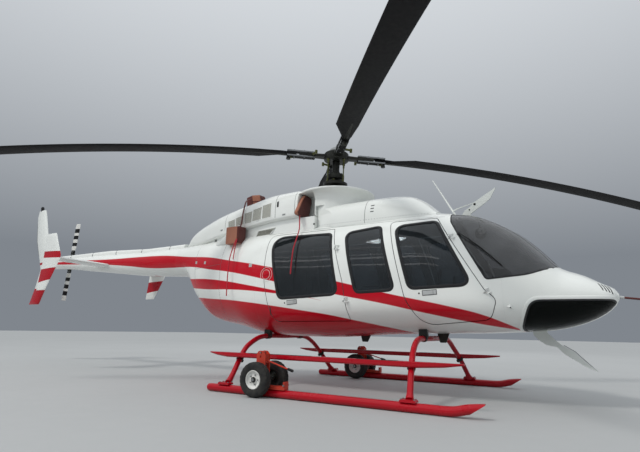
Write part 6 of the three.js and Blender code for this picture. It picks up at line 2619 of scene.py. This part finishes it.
    def skid(self, make: Dresser, side: Side) -> None:
        """A skid tube with its pointed front end, its plug, and its wear shoe with its clips.

        Args:
            make: what takes the finished pieces.
            side: the side of the machine.
        """
        y = side.value * self.skid_y
        path = smooth_path([(x, y, z) for x, z in self.skid_line], 100)
        size = np.full(len(path), self.skid_radius)
        size[0] = 36
        tip = sideways([(1880, -50), (1880, 30), (2020, 122), (2100, 122), (2100, -50)], y - 60, y + 60)
        skid = less(tube(path, size, 36), tip)
        make.piece(f"skid_{side.word}_tube", skid, "red_gloss_shaded", replaces=[f"skid_{side.word}"])
        ends = rod((-915, y, 42), (-902, y, 42), 30, 33, 24)
        make.piece(f"skid_{side.word}_plug", ends, "red_gloss_shaded")
        shoe = slab(*self.shoe, y - 15, y + 15, 0, 14, 8)
        bands = gathered(self.band(x, y) for x in np.arange(self.shoe[0] + 40, self.shoe[1], 412))
        make.piece(f"skid_{side.word}_shoe", shoe, "dark_fitting")
        make.piece(f"skid_{side.word}_shoe_bands", bands, "red_gloss_shaded")

    def band(self, x: float, y: float) -> Form:
        """A clip round the lower half of a skid.

        Args:
            x: its place along the skid.
            y: the skid's middle line.

        Returns:
            The solid.
        """
        angle = np.linspace(math.radians(200), math.radians(340), 18)
        outer = [(y + 42 * math.cos(a), 42.2 + 42 * math.sin(a)) for a in angle]
        inner = [(y + 39 * math.cos(a), 42 + 39 * math.sin(a)) for a in angle[::-1]]
        return across(outer + inner, x - 13, x + 13)

    def step(self, make: Dresser, side: Side) -> None:
        """A long step on both cross tubes, like a shallow boat, with its grip pads.

        Args:
            make: what takes the finished pieces.
            side: the side of the machine.
        """
        y = side.value * self.step_y
        plan, keel = np.array(self.step_plan, float).T, np.array(self.step_keel, float).T
        rings = []
        for x in np.concatenate([np.linspace(-1135, -850, 12), np.linspace(-760, 1400, 30),
                                 np.linspace(1480, 1812, 12)]):
            half, low = float(np.interp(x, *plan)), float(np.interp(x, *keel))
            flat = rounded([(-half * 0.72, low, 9), (half * 0.72, low, 9), (half, low + 12, 8),
                            (half, self.step_top, 3), (-half, self.step_top, 3), (-half, low + 12, 8)], 3)
            rings.append([(x, y + dy, z) for dy, z in flat])
        beam = ringed(np.array(rings))
        for name in CROSS_TUBES:
            beam = less(beam, tube(cross_path(name), TUBE_RADIUS + FIT, 24))
        make.piece(f"step_{side.word}_beam", beam, "red_gloss_shaded", replaces=[f"step_{side.word}"])
        pads = gathered(slab(a, b, y - 36, y + 36, self.step_top - 0.4, self.step_top + 2, 12)
                        for a, b in self.grip_pads)
        make.piece(f"step_{side.word}_grip", pads, "tyre")

    def bracket(self, make: Dresser, side: Side) -> None:
        """The bracket of the handling wheels, with its lug, lever and axle.

        Args:
            make: what takes the finished pieces.
            side: the side of the machine.
        """
        y = side.value * self.skid_y
        flat = rounded(self.plate, 4)
        plates = []
        for way in (-1, 1):
            low, high = sorted(y + way * off for off in self.plate_off)
            plate = sideways(flat, low, high)
            for z, size in self.plate_holes:
                plate = less(plate, rod((self.plate_x, low - 5, z), (self.plate_x, high + 5, z), size))
            plates.append(plate)
        blocks = [slab(x0, x1, y - half, y + half, z0, z1, edge)
                  for x0, x1, half, z0, z1, edge in self.bracket_blocks]
        frame = gathered(plates + blocks)
        inner = y - side.value * (self.inner_offset + self.axle_past)
        outer = y + side.value * (self.outer_offset + self.axle_past)
        axle = rod((self.wheel_x, inner, self.axle_z), (self.wheel_x, outer, self.axle_z), self.axle_radius,
                   sides=28)
        half, size = self.axle_collar
        collar = rod((self.wheel_x, y - half, self.axle_z), (self.wheel_x, y + half, self.axle_z), size,
                     sides=28)
        make.piece(f"wheel_bracket_{side.word}_frame", frame, "orange_enamel",
                   replaces=[f"wheel_bracket_{side.word}"])
        nuts = gathered(rod((self.wheel_x, at - 6, self.axle_z), (self.wheel_x, at + 6, self.axle_z), 17,
                            sides=6)
                        for at in (inner, outer))
        make.piece(f"wheel_axle_{side.word}", axle + collar + nuts, "bright_metal")
        lever = tube([(x, y, z) for x, z in self.lever], 8, 20)
        make.piece(f"wheel_lever_{side.word}", lever, "orange_enamel")
        grip_path = np.linspace(*((x, y, z) for x, z in self.grip_line), 16)
        make.piece(f"lever_grip_{side.word}", tube(grip_path, [12] + [14.5, 12.5] * 7 + [13], 20),
                   "rubber_and_hole_shade")
        pins = gathered(rod((x, y - half, z), (x, y + half, z), size, sides=16)
                        for x, half, z, size in self.pins)
        make.piece(f"bracket_pins_{side.word}", pins, "bright_metal")

    def wheels(self, make: Dresser, side: Side) -> None:
        """A pair of small wheels with dished rims and grooved tyres.

        Args:
            make: what takes the finished pieces.
            side: the side of the machine.
        """
        body = f"wheels_{side.word}"
        turn = Matrix.Rotation(math.radians(90), 4, "X")
        rims, hubs, nuts = [], [], []
        for place, way in (("inner", -side.value), ("outer", side.value)):
            y = side.value * self.skid_y + way * (self.inner_offset if place == "inner"
                                                  else self.outer_offset)
            at = Matrix.Translation((self.wheel_x, y, self.axle_z)) @ turn
            if way > 0:
                at = at @ Matrix.Rotation(math.pi, 4, "X")
            rims.append(turned(bent(self.rim, 2), 56).turned(at))
            hubs.append(turned(self.hub, 32).turned(at))
            for a in turns(5):
                c, s = math.cos(a) * self.nut_circle, math.sin(a) * self.nut_circle
                nuts.append(rod((c, s, 18), (c, s, 30), 6.5, sides=6).turned(at))
            self.tyre(make, side, place, at, body)

        def back(middles: Array) -> Array:
            """The faces at the back of the inner wheel's disc."""
            deep = middles[:, 1] * side.value - self.skid_y + self.inner_offset
            return (deep > -12) & (deep < 60)

        make.piece(f"wheel_rims_{side.word}", gathered(rims), "rim_enamel", body, [f"wheel_pair_{side.word}"],
                   cuff=back, cuff_finish="dark_fitting")
        make.piece(f"wheel_hubs_{side.word}", gathered(hubs), "dark_fitting", body)
        make.piece(f"wheel_nuts_{side.word}", gathered(nuts), "bright_metal", body)

    def tyre(self, make: Dresser, side: Side, place: str, at: Matrix, body: str) -> None:
        """One tyre: a round body with three grooves and shoulder blocks.

        Args:
            make: what takes the finished pieces.
            side: the side of the machine.
            place: inner or outer.
            at: the wheel's place and turn.
            body: the body that it rides on.
        """
        half = np.array(self.half_tread, float)
        flat = np.vstack([half * (1, -1), half[::-1]])
        rings = []
        for k, a in enumerate(turns(96)):
            radius = flat[:, 0].copy()
            if k % 4 == 0:
                shoulder = (np.abs(flat[:, 1]) >= 28) & (flat[:, 0] > 150)
                radius[shoulder] -= self.block_depth
            rings.append(np.stack([radius * math.cos(a), radius * math.sin(a), flat[:, 1]], axis=1))
        tyre = ringed(np.array(rings), closed=True).turned(at)
        make.piece(f"tyre_{side.word}_{place}_tread", tyre, "tyre", body, [f"tyre_{side.word}_{place}"],
                   smooth=40)


@dataclass
class Interior:
    """The seats, the instrument panel and the controls."""

    floor: float = 800.3
    seat_y: float = 320
    seat_swell: float = 16
    bench_pitch: float = 332
    panel_face: Profile = ((1981, 1062, 8), (2088, 1062, 8), (2156, 1298, 18), (1992, 1328, 18))
    panel_low: Point = (1981, 0, 1062)
    panel_high: Point = (1991.5, 0, 1326)
    dial_rows: Profile = ((0.3, 32), (0.68, 36))
    dial_pitch: float = 96
    compass: Profile = ((0, -62), (38, -58), (60, -30), (64, 0), (58, 34), (34, 58), (0, 62))
    compass_ring: Profile = ((6, 56), (34, 56), (40, 60), (34, 66), (8, 66))
    compass_at: Point = (1872, -118, 1742)
    compass_way: Point = (0.3, -0.9, 0.2)
    stick: Profile = ((1480, 802), (1500, 980), (1440, 1120), (1450, 1240))
    stick_grip: Profile = ((1448, 1215), (1450, 1250), (1462, 1330))
    grab_bar: Profile = ((1986, 528, 1372), (2022, 538, 1270), (2052, 536, 1176))

    def build(self, make: Dresser) -> None:
        """Make every piece inside the cabin.

        Args:
            make: what takes the finished pieces.
        """
        for side in Side:
            self.crew_seat(make, side)
        self.bench(make)
        self.panel(make)
        self.controls(make)

    def cushion(self, low: Point, high: Point, round_by: float = 30) -> Form:
        """A stuffed cushion between two corners, crowned on every face.

        Args:
            low: its lowest corner.
            high: its highest corner.
            round_by: radius of its long edges.

        Returns:
            The solid.
        """
        (x0, y0, z0), (x1, y1, z1) = low, high
        bulge = self.seat_swell
        sx, sy, sz = (x1 - x0) / 2 - bulge * 0.4, (y1 - y0) / 2 - bulge * 0.4, (z1 - z0) / 2 - bulge * 0.4
        middle = np.array(((x0 + x1) / 2, (y0 + y1) / 2, (z0 + z1) / 2))
        rings = []
        for v in np.concatenate([[-1.0, -0.93], np.linspace(-0.8, 0.8, 9), [0.93, 1.0]]):
            edge = 1 - 0.12 * abs(v) ** 8
            loop = rounded([(-sx * edge, -sz * edge, round_by), (sx * edge, -sz * edge, round_by),
                            (sx * edge, sz * edge, round_by), (-sx * edge, sz * edge, round_by)], 5)
            loop = spread(loop, max(sx, sz) / 4)
            swell = bulge * 0.4 * (1 - v * v)
            grow = 1 + swell / np.maximum(np.linalg.norm(loop, axis=1, keepdims=True), 1)
            loop = loop * grow
            rings.append([(middle[0] + a, middle[1] + v * sy, middle[2] + b) for a, b in loop])
        counts = {len(r) for r in rings}
        if len(counts) > 1:
            size = min(counts)
            rings = [[ring[int(i * len(ring) / size)] for i in range(size)] for ring in rings]
        return ringed(np.array(rings, float))

    def crew_seat(self, make: Dresser, side: Side) -> None:
        """A crew seat: a base, a cushion, a back and a belt.

        Args:
            make: what takes the finished pieces.
            side: the side of the machine.
        """
        y = side.value * self.seat_y
        base = slab(925, 1295, y - 140, y + 140, self.floor, 1006, 20)
        make.piece(f"crew_seat_{side.word}_base", base, "panel_moulding")
        seat = make.piece(f"crew_seat_{side.word}_cushion",
                          self.cushion((884, y - 196, 1004), (1336, y + 196, 1118)),
                          "seat_weave", replaces=[f"crew_seat_{side.word}"], smooth=60)
        lean = Matrix.Translation((880, y, 1120)) @ Matrix.Rotation(math.radians(-7), 4, "Y")
        back = self.cushion((-44, -184, 0), (44, 184, 500)).turned(lean)
        thing = make.piece(f"crew_seat_{side.word}_back", back, "seat_weave", smooth=60)
        belts = gathered(slab(876, 1180, y + way * 150 - 22, y + way * 150 + 22, 1116, 1120)
                         for way in (-1, 1))
        make.piece(f"crew_seat_{side.word}_belts", belts, "panel_moulding")

    def bench(self, make: Dresser) -> None:
        """The passengers' bench across the cabin.

        Args:
            make: what takes the finished pieces.
        """
        make.piece("bench_box", slab(-636, -190, -496, 496, self.floor, 1010, 14), "panel_moulding")
        for index in range(3):
            y = self.bench_pitch * (index - 1)
            cushion = self.cushion((-636, y - 162, 1008), (-184, y + 162, 1118))
            seat = make.piece(f"bench_cushion_{index + 1}", cushion, "seat_weave",
                              replaces=["passenger_bench"] if index == 0 else (), smooth=60)
            back = make.piece(f"bench_back_{index + 1}",
                              self.cushion((-656, y - 162, 1124), (-524, y + 162, 1598)),
                              "seat_weave", smooth=60)

    def panel(self, make: Dresser) -> None:
        """The instrument panel with its dials and its centre console.

        Args:
            make: what takes the finished pieces.
        """
        console = slab(1702, 2088, -108, 108, self.floor, 1079, 16)
        face = sideways(rounded(self.panel_face, 4), -328, 328)
        make.piece("instrument_panel_moulding", console + face, "panel_moulding",
                   replaces=["instrument_panel"])
        dials, rings = [], []
        low, high = np.array(self.panel_low), np.array(self.panel_high)
        up = (high - low) / np.linalg.norm(high - low)
        out = np.array((-up[2], 0, up[0]))
        for share, size in self.dial_rows:
            for k in range(6):
                at = low + up * 266 * share + np.array((0, -240 + self.dial_pitch * k, 0))
                dials.append(aimed(capped([(0, -2), (size, -2), (size, 1.5), (0, 1.5)], 28), at, out))
                rings.append(aimed(turned([(size, -2), (size + 5, -2), (size + 5, 5), (size, 5)], 28), at,
                                   out))
        make.piece("instrument_dials", gathered(dials), "dial_face")
        make.piece("instrument_rings", gathered(rings), "grey_trim")

    def controls(self, make: Dresser) -> None:
        """The sticks, the pedals, the compass under the roof and the grab bars in front of the doors.

        Args:
            make: what takes the finished pieces.
        """
        ball = capped(bent(self.compass, 4), 32)
        make.piece("compass_case", aimed(ball, self.compass_at, self.compass_way), "panel_moulding")
        face = turned(self.compass_ring, 28)
        make.piece("compass_face", aimed(face, self.compass_at, self.compass_way), "silver_trim")
        make.piece("compass_stalk", rod((1872, -104, 1790), (1846, -40, 1888), 9, 12), "panel_moulding")
        for side in Side:
            y = side.value * self.seat_y
            stick = tube(smooth_path([(x, y, z) for x, z in self.stick], 24), 11, 14)
            grip = tube([(x, y, z) for x, z in self.stick_grip], [16, 19, 15], 16)
            make.piece(f"cyclic_stick_{side.word}", stick, "grey_trim")
            make.piece(f"cyclic_grip_{side.word}", grip, "rubber_and_hole_shade")
            pedals = gathered(slab(1980, 1996, y + way * 90 - 34, y + way * 90 + 34, 830, 940, 6)
                              for way in (-1, 1))
            make.piece(f"pedals_{side.word}", pedals, "grey_trim")
            bar = tube([(x, side.value * reach, z) for x, reach, z in self.grab_bar], 9, 12)
            make.piece(f"grab_bar_{side.word}", bar, "silver_trim")


@dataclass
class Fittings:
    """The wire cutters, wipers, caps, belly antennae, rivet lines and streamers."""

    streamer: float = 7
    intake_run: Profile = ((-250, -512, 2094), (-249, -514, 2050), (-220, -556, 1915), (-211, -618, 1788),
                                     (-205, -700, 1629), (-198, -738, 1482), (-196, -760, 1313))
    side_run: Profile = ((-1190, -612, 1850), (-1215, -655, 1690), (-1218, -690, 1564), (-1219, -702, 1412),
                                   (-1211, -715, 1246), (-1201, -722, 1083))
    short_run: Profile = ((-1178, -614, 1850), (-1172, -652, 1700), (-1158, -688, 1560))
    joint: str = "cabin_door_right_hinge"
    upper: Profile = ((2050, 2285, 4), (1926, 2210, 40), (1811, 2142, 60), (1752, 2085, 60), (1694, 2051, 30),
                      (1660, 2000, 4), (1660, 1900, 4), (1770, 1900, 4), (1752, 2000, 20), (1817, 2043, 60),
                      (1891, 2093, 60), (1976, 2155, 60))
    strut: Profile = ((1815, 2130, 2), (1811, 2138, 4), (1600, 2086, 20), (1556, 2066, 6), (1556, 1950, 2),
                      (1570, 1950, 2), (1570, 2056, 6), (1604, 2074, 20))
    lower: Profile = ((2290, 770, 2), (2440, 770, 2), (2423, 690, 20), (2488, 620, 40), (2540, 573, 60),
                      (2644, 510, 60), (2730, 418, 60), (2832, 330, 3), (2727, 377, 60), (2637, 436, 60),
                      (2557, 487, 60), (2501, 550, 60), (2413, 566, 60), (2352, 606, 20), (2300, 660, 10))
    blade_edge: Profile = ((2560, 566), (2650, 510), (2737, 417), (2828, 334), (2742, 424), (2654, 516),
                           (2562, 572))
    wiper_line: Profile = ((1731, 1660), (1834, 1578), (1932, 1495), (2030, 1402), (2126, 1306))
    wiper_motor: Profile = ((0, -6), (20, -6), (20, 14), (14, 24), (0, 24))
    filler: Profile = ((-594, 1333),)
    filler_rings: tuple[Profile, ...] = (((87, -2), (90, -2), (90, 2.5), (87, 2.5)),
                                         ((57, 0), (60, 0), (60, 5), (57, 5)))
    filler_cap: Profile = ((0, -2), (58, -2), (58, 3), (40, 6), (0, 6))
    small_doors: tuple[Profile, ...] = (
        ((-895, 1442), (-845, 1446), (-847, 1490), (-897, 1486)),
        ((-2134, 1636), (-2090, 1632), (-2092, 1592), (-2136, 1596)),
        ((-1890, 1610), (-1846, 1606), (-1848, 1566), (-1892, 1570)),
    )
    drain: Profile = ((-521, 936), (-508, 936), (-531, 841), (-544, 841))
    horn: Profile = ((2130, 922), (2168, 944), (2194, 892))
    antennae: tuple[tuple[str, float, float], ...] = (("front", 1390, 560), ("rear", 440, 545))
    rivet_rows: Profile = ((1884, -2200, 1600), (1908, -2200, 1500))
    rivet_columns: Profile = ((-1490, 900, 1900), (-2150, 1150, 1900))
    rivet_gap: Point = (38, 34)

    def build(self, make: Dresser) -> None:
        """Make every fitting.

        Args:
            make: what takes the finished pieces.
        """
        self.cutters(make)
        self.wiper(make)
        self.caps(make)
        self.belly(make)
        self.rivets(make)
        self.cords(make)

    def cutters(self, make: Dresser) -> None:
        """The wire cutters over the roof and under the nose.

        Args:
            make: what takes the finished pieces.
        """
        skin = hull_room()
        blade = less(sideways(rounded(self.upper, 5), -8, 8), skin)
        make.piece("upper_cutter_blade", blade, "cutter_paint", replaces=["upper_wire_cutter"])
        make.piece("upper_cutter_strut", less(sideways(rounded(self.strut, 3), -5, 5), skin), "cutter_paint")
        pivot = rod((1806, -12, 2112), (1806, 12, 2112), 13, sides=20)
        pivot = pivot + rod((1745, -11, 2052), (1745, 11, 2052), 8, sides=12)
        make.piece("upper_cutter_pivot", pivot, "dark_fitting")
        fin = less(sideways(rounded(self.lower, 5), -8, 8), skin)
        make.piece("lower_cutter_blade", fin, "cutter_paint", replaces=["lower_wire_cutter"])
        make.piece("lower_cutter_edge", sideways(self.blade_edge, -9, 9), "bright_metal")

    def wiper(self, make: Dresser) -> None:
        """The wiper on each windshield.

        Args:
            make: what takes the finished pieces.
        """
        for side in Side:
            run = FUSELAGE.on_side(self.wiper_line, side)
            way = FUSELAGE.normal(run)
            arm = tube(run + way * np.array([[16], [26], [24], [18], [10]]), [8, 6, 5, 4.5, 4], 12)
            blade = tube(smooth_path(run[1:] + way[1:] * 8, 14), 6, 10)
            motor = aimed(capped(bent(self.wiper_motor), 24), run[0], way[0])
            make.piece(f"wiper_{side.word}", motor + arm + blade, "rubber_and_hole_shade")

    def caps(self, make: Dresser) -> None:
        """The fuel cap, the small doors, the drains and the static ports.

        Args:
            make: what takes the finished pieces.
        """
        spot = FUSELAGE.on_side(self.filler, Side.RIGHT)
        way = FUSELAGE.normal(spot)[0]
        plate = gathered(turned(profile, 48) for profile in self.filler_rings)
        make.piece("fuel_cap_ring", aimed(plate, spot[0], way), "white_gloss")
        cap = capped(bent(self.filler_cap), 40) + slab(-34, 34, -8, 8, 5, 13, 5)
        make.piece("fuel_cap", aimed(cap, spot[0], way), "hull_paint")
        small = gathered(patch(corners, FUSELAGE, Side.RIGHT, 1.6, 3, 4) for corners in self.small_doors)
        make.piece("vent_door", small, "silver_trim")
        # The drains are a black patch and a black disc: painted shade in the openings.
        make.piece("drain_slit", patch(self.drain, FUSELAGE, Side.RIGHT, 0.8, 3, 3), "rubber_and_hole_shade")
        hole = aimed(capped([(0, -4), (12, -4), (12, 2.5), (0, 2.5)], 20), (-42, -499, 1964), (0, -1, 0))
        make.piece("deck_drain", hole, "rubber_and_hole_shade")
        for side in Side:
            base = FUSELAGE.on_side(self.horn, side)
            top = base.mean(axis=0) + FUSELAGE.normal(base[:1])[0] * 34
            horn = Form(np.vstack([base - (0, side.value * 3, 0), top]),
                        [(0, 1, 2), (0, 3, 1), (1, 3, 2), (2, 3, 0)])
            make.piece(f"static_horn_{side.word}", horn.outward(), "white_gloss", smooth=10)
            tip = aimed(capped([(0, -3), (7, -3), (5, 6), (0, 8)], 16), top, (0, side.value, 0.2))
            make.piece(f"static_tip_{side.word}", tip, "rubber_and_hole_shade")

    def belly(self, make: Dresser) -> None:
        """The two blade antennae under the belly.

        Args:
            make: what takes the finished pieces.
        """
        for name, x, low in self.antennae:
            bottom = float(FUSELAGE.at(x)[0][1])
            fin = [(x - 70, bottom + 6, 4), (x + 60, bottom + 6, 4), (x + 20, low, 10), (x - 50, low, 14)]
            make.piece(f"belly_antenna_{name}", sideways(rounded(fin, 4), -6, 6), "dark_fitting")

    def rivets(self, make: Dresser) -> None:
        """Lines of rivets along the roof, the bulkheads and the belly seams.

        Args:
            make: what takes the finished pieces.
        """
        along, down = self.rivet_gap
        spots: list[tuple[float, float]] = []
        for z, start, end in self.rivet_rows:
            spots += [(x, z) for x in np.arange(start, end, along)]
        spots += [(-820 - 0.02 * (z - 1200), z) for z in np.arange(820, 1880, down)]
        for x, start, end in self.rivet_columns:
            spots += [(x, z) for z in np.arange(start, end, down)]
        spots += [(x, 1118) for x in np.arange(-1450, -860, along)]
        hem = ((-2150, -1400, -800), (1180, 800, 700))
        spots += [(x, float(np.interp(x, *hem))) for x in np.arange(-2150, -820, along)]
        spots += [(x, 728) for x in np.arange(-740, 2080, along)]
        spots += [(2128, z) for z in np.arange(760, 1190, down)]
        seams = ([(-1470, z) for z in np.linspace(860, 1880, 30)],
                 [(x, 1895) for x in np.linspace(-760, 1560, 60)],
                 [(-2130, z) for z in np.linspace(1130, 1900, 24)],
                 [(x, 1560 + 0.02 * x) for x in np.linspace(-2120, -1480, 16)])
        for side in Side:
            points = FUSELAGE.on_side(spots, side)
            make.piece(f"skin_rivets_{side.word}", studs(points, FUSELAGE.normal(points), 4.2, 0.9, 5),
                       "hull_paint")
            lines = [welt(FUSELAGE.on_side(seam, side), FUSELAGE, flat_strip(1.8, 0.4), closed=False)
                     for seam in seams]
            make.piece(f"skin_seams_{side.word}", gathered(lines), "line_shadow")

    def cords(self, make: Dresser) -> None:
        """The streamers that hang from the covers.

        Args:
            make: what takes the finished pieces.
        """
        runs = {"intake_streamer": self.intake_run, "side_streamer": self.side_run, "short": self.short_run}
        for name, run in runs.items():
            path = smooth_path(run, 24)
            form = tube(path, self.streamer, 12)
            hidden = [name] if name.endswith("streamer") else []
            thing = make.piece(f"{name}_tape", form, "streamer_tape", replaces=hidden, smooth=60)
            if name == "intake_streamer":
                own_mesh(thing)


@dataclass
class Studio:
    """The camera, the lights and the floor."""

    eye: Point = (2.72 + MAST, -5.117, 0.663)
    yaw: float = 120.075
    pitch: float = 13.343
    roll: float = 1.067
    focal: float = 442.561
    width: float = 640
    sensor: float = 36
    horizon: Point = (0.30, 0.33, 0.37, 1)
    zenith: Point = (1.15, 1.2, 1.25, 1)
    sky_power: float = 0.72
    key_power: float = 1.25
    key_colour: Point = (1.0, 0.98, 0.94)
    key_way: Point = (0.35, 0.62, -0.85)
    aim: Point = (0.5, 0, 1.3)
    lamps: tuple[tuple[str, Point, Point, float], ...] = (
        ("box_side", (-3.0, -11, 6.5), (9, 5), 260), ("box_front", (12, -3, 5.5), (6, 5), 90),
        ("box_back", (-2, 12, 7), (12, 5), 170), ("strip_low", (-5, -12, 6.2), (17, 0.22), 16),
        ("strip_middle", (-4, -12, 7.9), (15, 0.4), 24), ("strip_high", (-6, -12, 9.6), (18, 0.2), 14),
        ("strip_top", (-5, -12, 12.5), (16, 0.3), 10),
    )
    floor_half: float = 60000
    floor_lines: int = 9

    def camera(self) -> None:
        """Place the camera as the photograph's."""
        yaw, pitch, roll = (math.radians(v) for v in (self.yaw, self.pitch, self.roll))
        ahead = Vector((math.cos(yaw) * math.cos(pitch), math.sin(yaw) * math.cos(pitch), math.sin(pitch)))
        right = Vector((math.sin(yaw), -math.cos(yaw), 0))
        up = right.cross(ahead)
        side = right * math.cos(roll) + up * math.sin(roll)
        top = up * math.cos(roll) - right * math.sin(roll)
        data = bpy.data.cameras.new("camera")
        data.sensor_width = self.sensor
        data.lens = self.focal / self.width * self.sensor
        data.clip_start, data.clip_end = 0.05, 200
        camera = placed("camera", data)
        turn = Matrix((side, top, -ahead)).transposed().to_4x4()
        camera.matrix_world = Matrix.Translation(self.eye) @ turn
        bpy.context.scene.camera = camera

    def lights(self) -> None:
        """A soft sky, a soft key, large boxes for light and thin strips for gloss."""
        scene = bpy.context.scene
        world = bpy.data.worlds.new("sky")
        world.use_nodes = True
        scene.world = world
        nodes = Nodes(world.node_tree)
        back = world.node_tree.nodes["Background"]
        _, _, up = nodes.split(nodes.add("ShaderNodeTexCoord").outputs["Generated"])
        sky = nodes.mix(nodes.ramp(up, 0.15, 0.85), self.horizon, self.zenith)
        nodes.link(sky, back.inputs["Color"])
        back.inputs["Strength"].default_value = self.sky_power
        sun = bpy.data.lights.new("key", "SUN")
        sun.energy, sun.angle, sun.color = self.key_power, math.radians(10), self.key_colour
        lamp = placed("key", sun)
        lamp.visible_glossy = False
        lamp.rotation_mode = "QUATERNION"
        lamp.rotation_quaternion = Vector(self.key_way).to_track_quat("-Z", "Y")
        for name, at, size, power in self.lamps:
            area = bpy.data.lights.new(name, "AREA")
            area.shape, area.size, area.size_y, area.energy = "RECTANGLE", size[0], size[1], power
            thing = placed(name, area)
            thing.visible_glossy = name.startswith("strip")
            thing.visible_transmission = thing.visible_camera = False
            thing.location = at
            thing.rotation_mode = "QUATERNION"
            thing.rotation_quaternion = (Vector(self.aim) - Vector(at)).to_track_quat("-Z", "Y")
        scene.view_settings.view_transform = "Standard"

    def floor(self, make: Dresser) -> None:
        """The plain floor that the skids stand on.

        Args:
            make: what takes the finished pieces.
        """
        n = self.floor_lines
        xs = np.linspace(-self.floor_half, self.floor_half, n)
        verts = [(x, y, 0) for y in xs for x in xs]
        corners = [j * n + i for j in range(n - 1) for i in range(n - 1)]
        faces = [(a, a + 1, a + n + 1, a + n) for a in corners]
        data = Form(verts, faces).mesh("floor")
        data.materials.append(make.materials["floor_cast"])
        floor = placed("floor", data)
        floor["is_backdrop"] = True


def main() -> None:
    """Build the scene."""
    logging.basicConfig(level=logging.INFO, format="%(name)s %(message)s")
    studio = Studio()
    make = Dresser()
    studio.camera()
    studio.lights()
    Fittings().build(make)
    for part in (Cabin(), Tail(), Upperworks(), MainRotor(), SkidGear(), Interior()):
        LOG.info("building %s", type(part).__name__)
        part.build(make)
    studio.floor(make)
    bpy.context.view_layer.update()


if __name__ == "__main__":
    main()
